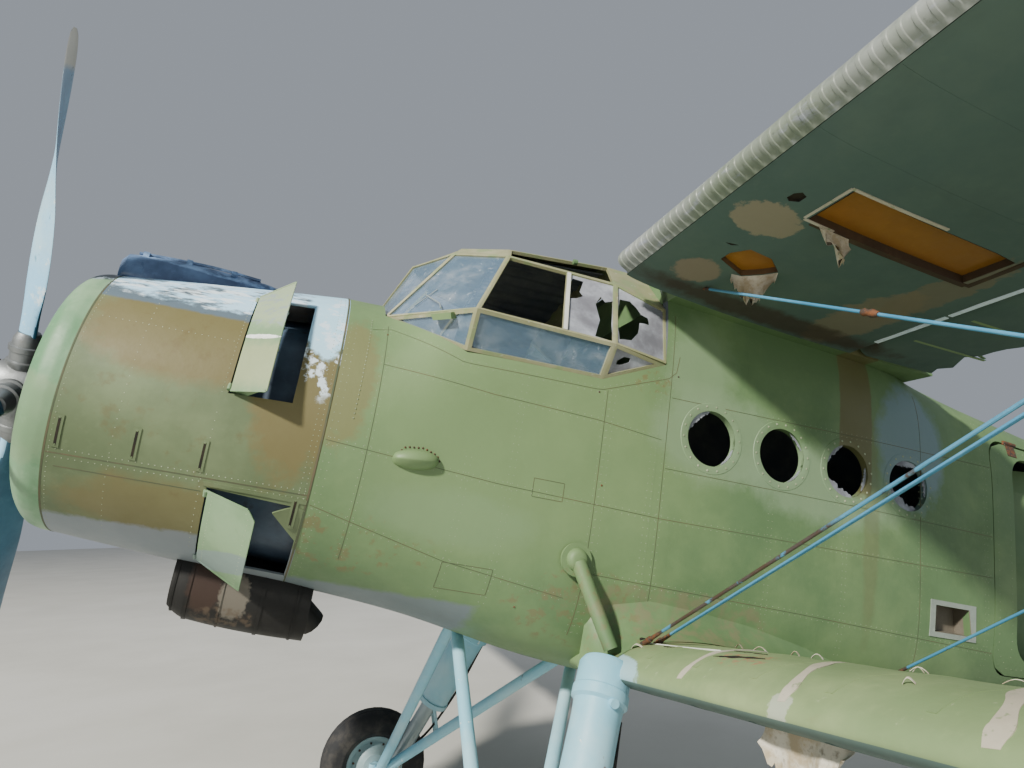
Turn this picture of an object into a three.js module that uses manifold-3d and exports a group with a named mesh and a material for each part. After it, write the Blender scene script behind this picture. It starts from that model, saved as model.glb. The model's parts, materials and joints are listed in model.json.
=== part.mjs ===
// Light utility biplane with a radial engine, standing on its main wheels and tail wheel.
// Everything is drawn in the level airframe frame, in millimetres: X runs aft from the propeller
// plane, Y to starboard and Z up from the thrust line. The whole airframe is then tipped nose up
// to the attitude in which it parks, with the wheels on Z = 0.
import * as THREE from 'three';
import { mergeVertices } from 'three/addons/utils/BufferGeometryUtils.js';
import Module from 'manifold-3d';

const wasm = await Module();
wasm.setup();

// Attitude and seats
const PARK_ANGLE = THREE.MathUtils.degToRad(11);
const GAP = 0.3;
const RUNNING_GAP = 5;

// Fuselage: frames where the skin is split, wall thickness and ring resolution
const FIREWALL_X = 1512;
const COCKPIT_REAR_X = 3270;
const CABIN_REAR_X = 7450;
const STERN_X = 11440;
const WALL = 45;
const RING_POINTS = 28;
// Fuselage sections, columns: x, half width, top, bottom, squareness of the corners
const FUSELAGE = [
  [1512, 815, 882, -790, 2.0],
  [1700, 825, 886, -805, 2.1],
  [2120, 845, 1130, -850, 2.7],
  [2900, 866, 1400, -985, 4.0],
  [3270, 870, 1455, -1020, 4.6],
  [3700, 870, 1480, -1030, 5.0],
  [4300, 870, 1450, -1030, 5.0],
  [4900, 870, 1330, -1000, 4.8],
  [5350, 866, 1200, -980, 4.6],
  [6000, 855, 1105, -940, 4.6],
  [7450, 745, 985, -800, 4.2],
  [9500, 430, 800, -470, 2.7],
  [11000, 200, 665, -240, 2.1],
  [11440, 116, 624, -176, 2.0],
];

// Cockpit glazing: named corners of the port half, mirrored to starboard
const CANOPY_BAR = 24;
const CANOPY_SKIN = 24;
// Canopy stations from the windscreen foot aft. Each row of points runs sill, bulge rail, eave
// rail, crown rail and ridge, as [x, distance from the centreline, z]
const CANOPY = [
  [[1703, 506, 694], [1703, 499, 702], [1703, 490, 712], [1703, 262, 840], [1703, 0, 888]],
  [[2118, 826, 535], [2105, 950, 731], [2045, 350, 1262], [2110, 210, 1370], [2160, 0, 1440]],
  [[2350, 838, 540], [2345, 952, 737], [2340, 520, 1268], [2372, 400, 1368], [2372, 0, 1480]],
  [[2890, 862, 556], [2905, 940, 747], [2975, 700, 1207], [3045, 420, 1440], [3045, 0, 1500]],
  [[3270, 866, 729], [3270, 872, 738], [3270, 800, 1090], [3270, 470, 1420], [3270, 0, 1500]],
];

// Windows and door openings of the cabin
const PORTHOLE = { firstX: 3614, pitch: 494, count: 4, z: 369, radius: 160 };
const CARGO_DOOR = {
  x0: 5850, x1: 7240, z0: -700, z1: 850, corner: 150,
};
const ENTRY_DOOR = { x0: 6060, x1: 6870, z0: -605, z1: 755, corner: 160, hingeY: 590, ajar: 32 };
// Door hinges: gap at the slanting rear edge, knuckle and socket radius, places along the upper edge,
// lean of the straps with the skin, heights of the entry door's hinges
const REAR_GAP = 12;
const ENTRY_FRONT_GAP = 18;
const KNUCKLE = 13;
const SOCKET = 13.9;
const HINGE_XS = [6100, 6990];
const STRAP_LEAN = 30;
const ENTRY_HINGE_Z = [-300, 400];
const FLOOR_TOP = -740;
const FLOOR_THICKNESS = 30;

// Cockpit: floor height, doorway in the bulkhead behind it and the two seats
const COCKPIT_FLOOR = -300;
const DOORWAY = { half: 310, top: 900 };
const SEAT = { x0: 2480, x1: 2900, y: 400, width: 440, panZ: 0, topZ: 620 };

// Engine: cylinders in one row, and the rear end of the propeller hub
const CYLINDERS = { count: 9, x: 740, reach: 650 };
const SHAFT_END = 120;

// Engine cowl
const COWL_SPLIT_Z = -330;
const COWL_WALL = 12;
// Cowl sections, columns: x, half width, top, bottom
const COWL = [
  [347, 690, 690, -690],
  [700, 738, 752, -725],
  [1100, 782, 818, -760],
  [1511.7, 815, 882, -790],
];
// Intake scoop on top, columns: x, half width, top, bottom
const SCOOP = [
  [296, 140, 800, 620],
  [330, 155, 832, 620],
  [720, 150, 868, 620],
  [1020, 110, 868, 620],
  [1180, 60, 848, 620],
];
// Oil cooler under the cowl, columns: x, half width, top, bottom
const COOLER = [
  [965, 180, -640, -985],
  [1060, 196, -640, -1030],
  [1480, 200, -640, -1070],
  [1670, 190, -690, -1075],
];
// Cowl flaps, columns: name, hinge x, length of the opening, length of the flap, low z, high z,
// opening angle, share of the flap's length that is left at its high end
const COWL_FLAPS = [
  ['upper', 1045, 290, 216, 66, 636, 40, 1],
  ['lower', 1052, 442, 273, -705, -369, 29, 0.85],
];
// The exhaust pipe's radius, and the height above it where the starboard flaps end
const EXHAUST_RADIUS = 85;
const EXHAUST_FLAP_Z = -600;
// Each flap is a plate that flares as it opens, on a pin with a lug at either end of its front edge
const FLAP = {
  edge: 8, start: 12, thickness: 7, pin: 10, socket: 10.8, lug: 34, lugInset: 12, lugLength: 26,
};

// Wings, measured from the root's leading edge. The dihedral turns each wing about its root
const ROOT_Y = 905;
const UPPER_WING = {
  name: 'upper', x: 2860, z: 1245, incidence: 2.5, dihedral: 3, chord: 2400, span: 8190, thickness: 1,
};
const LOWER_WING = {
  name: 'lower', x: 3030, z: -930, incidence: 1, dihedral: 4.3, chord: 2000, span: 6232, thickness: 0.95,
};
// Aerofoil as shares of the chord, columns: x, top, bottom
const FOIL = [
  [0.000, 0.000, 0.000],
  [0.015, 0.032, -0.018],
  [0.050, 0.060, -0.028],
  [0.130, 0.090, -0.034],
  [0.300, 0.106, -0.036],
  [0.500, 0.094, -0.032],
  [0.720, 0.058, -0.022],
  [0.860, 0.030, -0.012],
  [1.000, 0.003, -0.003],
];
// Rounded wing tip, columns: distance from the tip, chord share, thickness share
const TIP = [
  [760, 1.00, 1.00],
  [420, 0.95, 0.92],
  [170, 0.82, 0.70],
  [0, 0.55, 0.25],
];
// Surfaces behind the rear spar, columns: name, inner y, outer y, hinge share, front wall share
const UPPER_SURFACES = [
  ['flap', 20, 3390, 0.7575, 0.706],
  ['aileron', 3420, 7380, 0.7575, 0.706],
];
const LOWER_SURFACES = [
  ['flap', 60, 5440, 0.815, 0.768],
];
const HINGE_PLATE = { width: 24, radius: 18, notch: 30 };

// Interplane strut and wires
const STRUT_UPPER_Y = 5250;
const STRUT_LOWER_Y = 4950;
const WIRE_RADIUS = 9;

// Tail
const FIN = { rootX: 9450, tipX: 10900, hingeX: 11500, tipZ: 2700, rootZ: 560, half: 70 };
const RUDDER = { rootX: 12450, z0: -190, z1: 2760, nose: 42 };
const TAILPLANE = { rootX: 9760, hingeX: 10870, trailX: 11470, z: 330, half: 3600, thickness: 150,
  elevatorNose: 55, elevatorRoot: 255 };

// Landing gear
const TYRE = { radius: 400, width: 260, rimRadius: 215, y: 1680, x: 2550, z: -2140 };
const AXLE = 43.3;
// Main leg: radii of its sleeve, of the collar round its top and of its piston, and where they end
const LEG = { sleeve: 115, collar: 128, piston: 58, sleeveShare: 0.56, collarShare: 0.15 };
const TAIL_TYRE = { radius: 235, width: 200, rimRadius: 120, x: 10650, trail: 130 };

// Propeller
const BLADE_COUNT = 4;
const BLADE_START = THREE.MathUtils.degToRad(28.2);
// Blade sections, columns: radius, chord, thickness, blade angle in degrees
const BLADE = [
  [150, 110, 110, 40],
  [330, 120, 90, 40],
  [560, 205, 48, 36],
  [900, 250, 30, 29],
  [1300, 240, 20, 22],
  [1760, 150, 9, 16],
  [1800, 70, 6, 16],
];

const PAINT = {
  green: { color: 0x66704a, roughness: 0.6, metalness: 0.0 },
  paleGreen: { color: 0x8aa06a, roughness: 0.55, metalness: 0.0 },
  blue: { color: 0x7fa5b4, roughness: 0.5, metalness: 0.0 },
  black: { color: 0x22211f, roughness: 0.6, metalness: 0.2 },
  metal: { color: 0x9aa0a2, roughness: 0.4, metalness: 0.9 },
  rubber: { color: 0x24252a, roughness: 0.9, metalness: 0.0 },
  glass: { color: 0xbfd0d6, roughness: 0.1, metalness: 0.0 },
  cloth: { color: 0x55503f, roughness: 0.9, metalness: 0.0 },
};

// Geometry helpers

const V = (x, y, z) => new THREE.Vector3(x, y, z);

function positionsOnly(geometry) {
  const bare = geometry.clone();
  bare.deleteAttribute('normal');
  bare.deleteAttribute('uv');
  return mergeVertices(bare, 1e-3);
}

// The same closed mesh with its faces pointing outwards.
function outward(geometry) {
  const merged = positionsOnly(geometry);
  const { array } = merged.attributes.position;
  const index = merged.index.array;
  const corner = (i) => V(array[3 * i], array[3 * i + 1], array[3 * i + 2]);
  let volume = 0;
  for (let i = 0; i < index.length; i += 3) {
    volume += corner(index[i]).dot(corner(index[i + 1]).cross(corner(index[i + 2])));
  }
  if (volume < 0) {
    for (let i = 0; i < index.length; i += 3) [index[i], index[i + 1]] = [index[i + 1], index[i]];
  }
  return merged;
}

function solid(geometry) {
  const merged = outward(geometry);
  return new wasm.Manifold(new wasm.Mesh({
    numProp: 3,
    vertProperties: Float32Array.from(merged.attributes.position.array),
    triVerts: Uint32Array.from(merged.index.array),
  }));
}

function geometryOf(body) {
  const mesh = body.getMesh();
  const geometry = new THREE.BufferGeometry();
  geometry.setAttribute('position', new THREE.BufferAttribute(new Float32Array(mesh.vertProperties), 3));
  geometry.setIndex(new THREE.BufferAttribute(new Uint32Array(mesh.triVerts), 1));
  return geometry;
}

function join(...geometries) {
  return geometryOf(geometries.map(solid).reduce((a, b) => a.add(b)));
}

function cut(geometry, ...tools) {
  return geometryOf(tools.map(solid).reduce((a, b) => a.subtract(b), solid(geometry)));
}

function common(a, b) {
  return geometryOf(solid(a).intersect(solid(b)));
}

// Cuts a piece back from a neighbour so that GAP is left between them along a direction.
function seat(geometry, neighbour, direction) {
  const shift = direction.clone().normalize().multiplyScalar(GAP);
  return cut(geometry, neighbour.clone().translate(shift.x, shift.y, shift.z));
}

// Cuts a piece back from neighbours all round, leaving about GAP between them.
function clearOf(geometry, ...neighbours) {
  const shifts = [[1, 0, 1], [1, 0, -1], [-1, 0, 1], [-1, 0, -1], [0, 1, 0], [0, -1, 0]];
  const tools = neighbours.flatMap((n) => shifts.map((s) => n.clone()
    .translate(...s.map((v) => v * GAP))));
  return cut(geometry, ...tools);
}

function signedVolume(points, faces) {
  let volume = 0;
  for (const [a, b, c] of faces) volume += points[a].dot(V(0, 0, 0).crossVectors(points[b], points[c]));
  return volume;
}

// Skin over rings that have the same number of points, closed by a flat fan at each end.
function loft(rings) {
  const n = rings[0].length;
  const points = rings.flat();
  const faces = [];
  for (let r = 0; r + 1 < rings.length; r += 1) {
    for (let i = 0; i < n; i += 1) {
      const a = r * n + i;
      const b = r * n + ((i + 1) % n);
      faces.push([a, b, b + n], [a, b + n, a + n]);
    }
  }
  for (const [offset, flip] of [[0, true], [(rings.length - 1) * n, false]]) {
    const ring = rings[offset / n];
    const normal = V(0, 0, 0);
    ring.forEach((p, i) => normal.add(V(0, 0, 0).crossVectors(p, ring[(i + 1) % n])));
    const axis = normal.normalize();
    const side = Math.abs(axis.x) > 0.7 ? V(0, 1, 0) : V(1, 0, 0);
    const u = V(0, 0, 0).crossVectors(axis, side).normalize();
    const v = V(0, 0, 0).crossVectors(axis, u);
    const flat = ring.map((p) => new THREE.Vector2(p.dot(u), p.dot(v)));
    for (const [a, b, c] of THREE.ShapeUtils.triangulateShape(flat, [])) {
      faces.push(flip ? [offset + a, offset + c, offset + b] : [offset + a, offset + b, offset + c]);
    }
  }
  const outward = signedVolume(points, faces) > 0;
  const geometry = new THREE.BufferGeometry();
  geometry.setFromPoints(points);
  geometry.setIndex(faces.flatMap(([a, b, c]) => (outward ? [a, b, c] : [a, c, b])));
  return geometry;
}

function box(x0, x1, y0, y1, z0, z1) {
  const geometry = new THREE.BoxGeometry(x1 - x0, y1 - y0, z1 - z0);
  return geometry.translate((x0 + x1) / 2, (y0 + y1) / 2, (z0 + z1) / 2);
}

// Round bar between two points, straight or tapered.
function bar(from, to, radius, endRadius = radius, sides = 14) {
  const along = to.clone().sub(from);
  const geometry = new THREE.CylinderGeometry(endRadius, radius, along.length(), sides);
  geometry.applyQuaternion(new THREE.Quaternion().setFromUnitVectors(V(0, 1, 0), along.clone().normalize()));
  const middle = from.clone().add(to).multiplyScalar(0.5);
  return geometry.translate(middle.x, middle.y, middle.z);
}

// Streamlined strut between two points: a lens with its long side along X.
function faired(from, to, chord, thickness) {
  const profile = [[-0.5, 0], [-0.38, 0.32], [-0.15, 0.5], [0.2, 0.4], [0.5, 0.04],
    [0.5, -0.04], [0.2, -0.4], [-0.15, -0.5], [-0.38, -0.32]];
  const along = to.clone().sub(from).normalize();
  const side = V(0, 0, 0).crossVectors(along, V(1, 0, 0)).normalize();
  const fore = V(0, 0, 0).crossVectors(side, along).normalize();
  const ring = (p) => profile.map(([u, v]) => p.clone()
    .addScaledVector(fore, u * chord).addScaledVector(side, v * thickness));
  return loft([ring(from), ring(to)]);
}

// Plate whose outline lies in the XZ plane, between two distances along Y.
function plateXZ(outline, y0, y1) {
  const shape = new THREE.Shape(outline.map(([x, z]) => new THREE.Vector2(x, z)));
  const geometry = new THREE.ExtrudeGeometry(shape, { depth: y1 - y0, bevelEnabled: false });
  return geometry.rotateX(Math.PI / 2).translate(0, y1, 0);
}

function roundedOutline(x0, x1, z0, z1, r, steps = 5) {
  const corners = [[x1 - r, z0 + r, -90], [x1 - r, z1 - r, 0], [x0 + r, z1 - r, 90], [x0 + r, z0 + r, 180]];
  const outline = [];
  for (const [cx, cz, start] of corners) {
    for (let i = 0; i <= steps; i += 1) {
      const a = THREE.MathUtils.degToRad(start + 90 * i / steps);
      outline.push([cx + r * Math.cos(a), cz + r * Math.sin(a)]);
    }
  }
  return outline;
}

function lerpRow(table, x) {
  const rows = table.length;
  let i = 0;
  while (i < rows - 2 && x > table[i + 1][0]) i += 1;
  const t = (x - table[i][0]) / (table[i + 1][0] - table[i][0]);
  return table[i].map((value, k) => value + t * (table[i + 1][k] - value));
}

function roundRing(x, halfWidth, top, bottom, power, inset) {
  const middle = (top + bottom) / 2;
  const halfHeight = (top - bottom) / 2 - inset;
  const ring = [];
  for (let i = 0; i < RING_POINTS; i += 1) {
    const a = 2 * Math.PI * i / RING_POINTS;
    const c = Math.cos(a);
    const s = Math.sin(a);
    ring.push(V(x, (halfWidth - inset) * Math.sign(c) * Math.abs(c) ** (2 / power),
      middle + halfHeight * Math.sign(s) * Math.abs(s) ** (2 / power)));
  }
  return ring;
}

// Half width of a ring of points at a height
function ringY(ring, z) {
  const i = ring.findIndex((a, k) => {
    const b = ring[(k + 1) % ring.length];
    return a.y > 0 && b.y > 0 && (a.z - z) * (b.z - z) <= 0;
  });
  const [a, b] = [ring[i], ring[(i + 1) % ring.length]];
  return a.y + (b.y - a.y) * (z - a.z) / (b.z - a.z);
}

// Fuselage skin solid between two frames, drawn in by an inset.
function fuselageSolid(x0, x1, inset = 0) {
  const inside = FUSELAGE.map((row) => row[0]).filter((x) => x > x0 + 1 && x < x1 - 1);
  return loft([x0, ...inside, x1].map((x) => {
    const [, w, top, bottom, power] = lerpRow(FUSELAGE, x);
    return roundRing(x, w, top, bottom, power, inset);
  }));
}

function cowlSolid(x0, x1, inset = 0) {
  const inside = COWL.map((row) => row[0]).filter((x) => x > x0 + 1 && x < x1 - 1);
  return loft([x0, ...inside, x1].map((x) => {
    const [, w, top, bottom] = lerpRow(COWL, x);
    return roundRing(x, w, top, bottom, 2, inset);
  }));
}

// Model assembly

const airframe = new THREE.Group();
const pieces = {};

function add(name, geometry, paint, parent = airframe) {
  const mesh = new THREE.Mesh(outward(geometry), new THREE.MeshStandardMaterial(PAINT[paint]));
  mesh.name = name;
  parent.add(mesh);
  pieces[name] = mesh;
  return mesh;
}

// Pins and tracks of the moving pieces, in the frame of the group that carries them
const hinges = {};
function hinge(name, parent, point, axis) {
  hinges[name] = { parent, point: point.clone(), axis: axis.clone().normalize() };
}

const SIDES = [['port', -1], ['starboard', 1]];

// Wings

function foilPoint(share) {
  return lerpRow(FOIL, Math.min(Math.max(share, 0), 1));
}

// Aerofoil ring at one span station; the root ring leans so that it stands upright once turned.
function foilRing(wing, side, y, chordShare, thicknessShare, lean, from = 0, to = 1) {
  const chord = wing.chord * chordShare;
  const shift = wing.chord * (1 - chordShare) * 0.42;
  const shares = FOIL.map((row) => row[0]).filter((s) => s > from + 1e-6 && s < to - 1e-6);
  const xs = [from, ...shares, to];
  const top = xs.map((s) => [s, foilPoint(s)[1]]);
  const bottom = xs.map((s) => [s, foilPoint(s)[2]]).reverse();
  const outline = from === 0 ? [...top, ...bottom.slice(0, -1)] : [...top, ...bottom];
  return outline.map(([s, h]) => {
    const z = h * wing.thickness * thicknessShare * wing.chord;
    return V(shift + s * chord, side * (y + (lean ? z * Math.tan(wing.dihedralAngle) : 0)), z);
  });
}

function wingSolid(wing, side) {
  const rings = [foilRing(wing, side, 0, 1, 1, true)];
  for (const [fromTip, chordShare, thicknessShare] of TIP) {
    rings.push(foilRing(wing, side, wing.span - fromTip, chordShare, thicknessShare, false));
  }
  return loft(rings);
}

// Slice of the aerofoil between two chord shares and two span stations.
function foilSlice(wing, side, y0, y1, outline) {
  const ring = (y) => outline.map(([x, z]) => V(x, side * y, z));
  return loft([ring(y0), ring(y1)]);
}

function hingeAt(wing, share) {
  const [, top, bottom] = foilPoint(share);
  const scale = wing.chord * wing.thickness;
  return { x: share * wing.chord, z: (top + bottom) / 2 * scale, r: (top - bottom) / 2 * scale };
}

// Section of a flap or aileron: a round nose about its hinge, then straight to the trailing edge.
function surfaceOutline(wing, share) {
  const hinge = hingeAt(wing, share);
  const outline = [];
  const steps = 6;
  for (let i = 0; i <= steps; i += 1) {
    const a = THREE.MathUtils.degToRad(90 + 180 * i / steps);
    outline.push([hinge.x + hinge.r * Math.cos(a), hinge.z + hinge.r * Math.sin(a)]);
  }
  const trail = wing.thickness * wing.chord * 0.003;
  outline.push([wing.chord, -trail], [wing.chord, trail]);
  return outline;
}

function plateStations(y0, y1) {
  const count = Math.max(3, Math.round((y1 - y0) / 1500));
  return Array.from({ length: count }, (_, i) => y0 + (y1 - y0) * (i + 0.5) / count);
}

function buildWing(wing, surfaces, sideName, side) {
  wing.dihedralAngle = THREE.MathUtils.degToRad(wing.dihedral);
  const group = new THREE.Group();
  group.position.set(wing.x, side * (ROOT_Y + GAP), wing.z);
  const turn = new THREE.Euler(
    side * wing.dihedralAngle, THREE.MathUtils.degToRad(wing.incidence), 0, 'XYZ');
  group.rotation.copy(turn);
  airframe.add(group);
  let main = wingSolid(wing, side);
  const deep = wing.chord;
  for (const [kind, y0, y1, hingeShare, wallShare] of surfaces) {
    const wallX = wallShare * wing.chord;
    const pin = hingeAt(wing, hingeShare);
    const open = y0 < 200 ? -100 : y0 - 15;
    main = cut(main, foilSlice(wing, side, open, y1 + 15,
      [[wallX, -deep], [deep * 1.1, -deep], [deep * 1.1, deep], [wallX, deep]]));
    let surface = foilSlice(wing, side, y0, y1, surfaceOutline(wing, hingeShare));
    for (const y of plateStations(y0, y1)) {
      const half = HINGE_PLATE.width / 2;
      const plate = [[wallX - 5, pin.z - HINGE_PLATE.radius], [pin.x, pin.z - HINGE_PLATE.radius],
        [pin.x + 13, pin.z - 13], [pin.x + HINGE_PLATE.radius, pin.z],
        [pin.x + 13, pin.z + 13], [pin.x, pin.z + HINGE_PLATE.radius],
        [wallX - 5, pin.z + HINGE_PLATE.radius]];
      main = join(main, foilSlice(wing, side, y - half, y + half, plate));
      const notchX = pin.x + HINGE_PLATE.notch;
      surface = cut(surface, foilSlice(wing, side, y - half - GAP, y + half + GAP,
        [[0, -deep], [notchX, -deep], [notchX, deep], [0, deep]]));
    }
    const name = kind === 'flap' ? `${wing.name}_flap_${sideName}` : `${kind}_${sideName}`;
    add(name, surface, 'green', group);
    hinge(name, group, V(pin.x, 0, pin.z), V(0, 1, 0));
  }
  if (wing.name === 'upper') {
    const c = wing.chord;
    const noseCut = [[-0.02, -0.2], [0.034, -0.2], [0.036, -0.012], [0.040, 0.018], [0.065, 0.045],
      [0.1325, 0.082], [0.1325, 0.2], [-0.02, 0.2]];
    const slatSpan = [25, 7380];
    main = cut(main, foilSlice(wing, side, -100, slatSpan[1] + 20, noseCut.map(([u, v]) => [u * c, v * c])));
    const slat = [[0, 0], [0.015, 0.032], [0.05, 0.06], [0.13, 0.09], [0.13, 0.084], [0.06, 0.048],
      [0.031, 0.018], [0.031, -0.0225], [0.015, -0.018]];
    add(`slat_${sideName}`, foilSlice(wing, side, ...slatSpan, slat.map(([u, v]) => [u * c, v * c])),
      'green', group);
    hinge(`slat_${sideName}`, group, V(0, 0, 0), V(-1, 0, -0.1));
    for (const y of [900, 2900, 4900, 6800]) {
      main = join(main, foilSlice(wing, side, y - 40, y + 40, [[0.031 * c + GAP, -30], [120, -30],
        [120, 30], [0.031 * c + GAP, 30]]));
    }
  }
  add(`${wing.name}_wing_${sideName}`, main, 'green', group);
  return group;
}

const wingGroups = {};
for (const [sideName, side] of SIDES) {
  wingGroups[`upper_${sideName}`] = buildWing(UPPER_WING, UPPER_SURFACES, sideName, side);
  wingGroups[`lower_${sideName}`] = buildWing(LOWER_WING, LOWER_SURFACES, sideName, side);
}

// Centre sections: the root aerofoil carried straight through the fuselage
function centreSection(wing, clearance = 0) {
  const c = wing.chord;
  const ring = (y) => [...FOIL.map(([s, t]) => [s, t]), ...FOIL.slice(1).reverse().map(([s, , b]) => [s, b])]
    .map(([s, h]) => {
      const p = V(s * c, 0, h * wing.thickness * c);
      p.applyAxisAngle(V(0, 1, 0), THREE.MathUtils.degToRad(wing.incidence));
      const grow = clearance ? 1 + 2 * clearance / c : 1;
      const centre = V(0.4 * c, 0, 0.02 * c);
      p.sub(centre).multiply(V(grow, 1, 1)).add(centre);
      if (clearance) p.z += h > 0 ? clearance : -clearance;
      return V(wing.x + p.x, y, wing.z + p.z);
    });
  return loft([ring(-ROOT_Y), ring(ROOT_Y)]);
}

const upperCentre = centreSection(UPPER_WING);
const lowerCentre = centreSection(LOWER_WING);
const lowerCentreClear = centreSection(LOWER_WING, GAP);

// Fuselage shells

function porthole(x) {
  const geometry = new THREE.CylinderGeometry(PORTHOLE.radius, PORTHOLE.radius, 2400, 14);
  return geometry.translate(x, 0, PORTHOLE.z);
}

// Everything above the cockpit sill, raised by a clearance.
function sillPrism(raise) {
  const sill = [[1702 + raise, 705 + raise], [2118, 533 + raise], [2890, 556 + raise], [3275, 732 + raise]];
  return plateXZ([[1702 + raise, 1700], ...sill, [3400, 732 + raise], [3400, 1700]], -1200, 1200);
}
// Room inside the fuselage between two frames, always cut from one skin so that its faces agree.
const hollow = (inset, x0, x1, z1 = 2000) => common(
  fuselageSolid(FIREWALL_X + 58, CABIN_REAR_X - 60, inset), box(x0, x1, -1200, 1200, -1200, z1));
add('forward_fuselage', cut(fuselageSolid(FIREWALL_X, COCKPIT_REAR_X), hollow(WALL, 1500, 3300),
  sillPrism(0), lowerCentreClear), 'green');

// Half width of the faceted skin at a height
function skinY(x, z) {
  const i = FUSELAGE.findIndex((row) => row[0] > x) - 1;
  const [a, b] = [FUSELAGE[i], FUSELAGE[i + 1]].map((row) => roundRing(...row, 0));
  const ring = a.map((p, k) => p.lerp(b[k], (x - FUSELAGE[i][0]) / (FUSELAGE[i + 1][0] - FUSELAGE[i][0])));
  return ringY(ring, z);
}
const hingePoints = HINGE_XS.map((x) => V(x, -skinY(x, CARGO_DOOR.z1 + 2), CARGO_DOOR.z1 + 2));
const pinLine = hingePoints[0].clone().sub(hingePoints[1]).normalize();
const onPinLine = (p, half, radius) => bar(p.clone().addScaledVector(pinLine, -half),
  p.clone().addScaledVector(pinLine, half), radius, radius, 10);

let cabin = fuselageSolid(COCKPIT_REAR_X + GAP, CABIN_REAR_X);
cabin = join(cabin, common(upperCentre, box(COCKPIT_REAR_X + GAP, 6000, -1200, 1200, 900, 2000)));
const cabinRoom = hollow(WALL, COCKPIT_REAR_X + 50, 8000, 1010);
const floorBottom = FLOOR_TOP - FLOOR_THICKNESS;
const bulkheadDoor = box(3200, 3330, -DOORWAY.half, DOORWAY.half, floorBottom - 5, DOORWAY.top);
const portholes = Array.from({ length: PORTHOLE.count },
  (_, i) => porthole(PORTHOLE.firstX + i * PORTHOLE.pitch));
const doorHole = plateXZ(roundedOutline(CARGO_DOOR.x0, CARGO_DOOR.x1, CARGO_DOOR.z0, CARGO_DOOR.z1,
  CARGO_DOOR.corner), -1200, -400);
cabin = cut(cabin, cabinRoom, bulkheadDoor, ...portholes, doorHole, lowerCentreClear,
  ...hingePoints.map((p) => onPinLine(p, 55 + GAP, SOCKET)));
add('cabin_fuselage', cabin, 'green');
add('tail_cone', fuselageSolid(CABIN_REAR_X + GAP, STERN_X), 'green');
add('lower_centre_section', cut(lowerCentre, box(2000, 6000, -800, 800, floorBottom - GAP, 0)), 'green');

// Cabin floor, cockpit floor and the riser between them

const inner = (x0, x1) => hollow(WALL + GAP, x0, x1);
add('cabin_floor', join(
  common(inner(3320.5, CABIN_REAR_X - 61), box(3000, 8000, -1000, 1000, floorBottom, FLOOR_TOP)),
  box(3235, 3330, -DOORWAY.half + GAP, DOORWAY.half - GAP, floorBottom, FLOOR_TOP),
  common(inner(3235, 3269), box(3235, 3269, -1000, 1000, floorBottom, COCKPIT_FLOOR)),
  common(inner(1950, 3269), box(1950, 3269, -1000, 1000, COCKPIT_FLOOR - FLOOR_THICKNESS, COCKPIT_FLOOR)),
), 'metal');

add('instrument_panel', common(inner(1980, 2030), box(1990, 2020, -1000, 1000, 120, 570)), 'black');

for (const [sideName, side] of SIDES) {
  const y = side * SEAT.y;
  const half = SEAT.width / 2;
  add(`pilot_seat_${sideName}`, join(
    box(SEAT.x0 + 60, SEAT.x1 - 60, y - half + 60, y + half - 60, COCKPIT_FLOOR + GAP, SEAT.panZ),
    box(SEAT.x0, SEAT.x1, y - half, y + half, SEAT.panZ - 40, SEAT.panZ + 60),
    plateXZ([[SEAT.x1 - 90, SEAT.panZ], [SEAT.x1, SEAT.panZ], [SEAT.x1 + 110, SEAT.topZ],
      [SEAT.x1 + 40, SEAT.topZ]], y - half, y + half),
  ), 'cloth');
}

// Canopy: a faceted skin with its panes cut out, and the glazing just inside it

function canopySolid(inset) {
  const rows = CANOPY.map((row, r) => {
    const shift = r === 0 ? inset * 1.5 : r === CANOPY.length - 1 && inset > 0 ? 60 : inset * 0.4;
    return row.map(([x, y, z], k) => {
      const [inY, inZ] = [[1, 0], [1, r === 0 ? 0.9 : 0], [0.8, 0.6], [0.4, 1], [0, 1]][k];
      const drop = k === 0 ? (inset > 0 ? 150 : 12) : inset * inZ;
      return V(x + shift, y - inset * inY, z - drop);
    });
  });
  return loft(rows.map((row) => {
    const port = row.map((p) => V(p.x, -p.y, p.z));
    return [...row, ...port.slice(0, -1).reverse()];
  }));
}

// Prism through one pane: the corners drawn in by the bar's half width, swept along the normal.
function paneHole(corners, barWidth = CANOPY_BAR, out = 90, into = 110) {
  const n = corners.length;
  const centre = corners.reduce((sum, p) => sum.add(p), V(0, 0, 0)).divideScalar(n);
  const normal = V(0, 0, 0);
  corners.forEach((p, i) => normal.add(V(0, 0, 0).crossVectors(
    p.clone().sub(centre), corners[(i + 1) % n].clone().sub(centre))));
  normal.normalize();
  const drawn = corners.map((p, i) => {
    const a = corners[(i + n - 1) % n].clone().sub(p).normalize();
    const b = corners[(i + 1) % n].clone().sub(p).normalize();
    const half = Math.sqrt(Math.max((1 - a.dot(b)) / 2, 0.02));
    const inward = a.add(b);
    if (inward.length() < 0.3) inward.copy(centre).sub(p);
    return p.clone().addScaledVector(inward.normalize(), barWidth / half);
  });
  return loft([drawn.map((p) => p.clone().addScaledVector(normal, out)),
    drawn.map((p) => p.clone().addScaledVector(normal, -into))]);
}

const at = ([x, y, z], side) => V(x, side * y, z);
const between = (a, b, x) => a.clone().lerp(b, (x - a.x) / (b.x - a.x));
const [FOOT, FRONT, SECOND, THIRD, REAR] = CANOPY;

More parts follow.
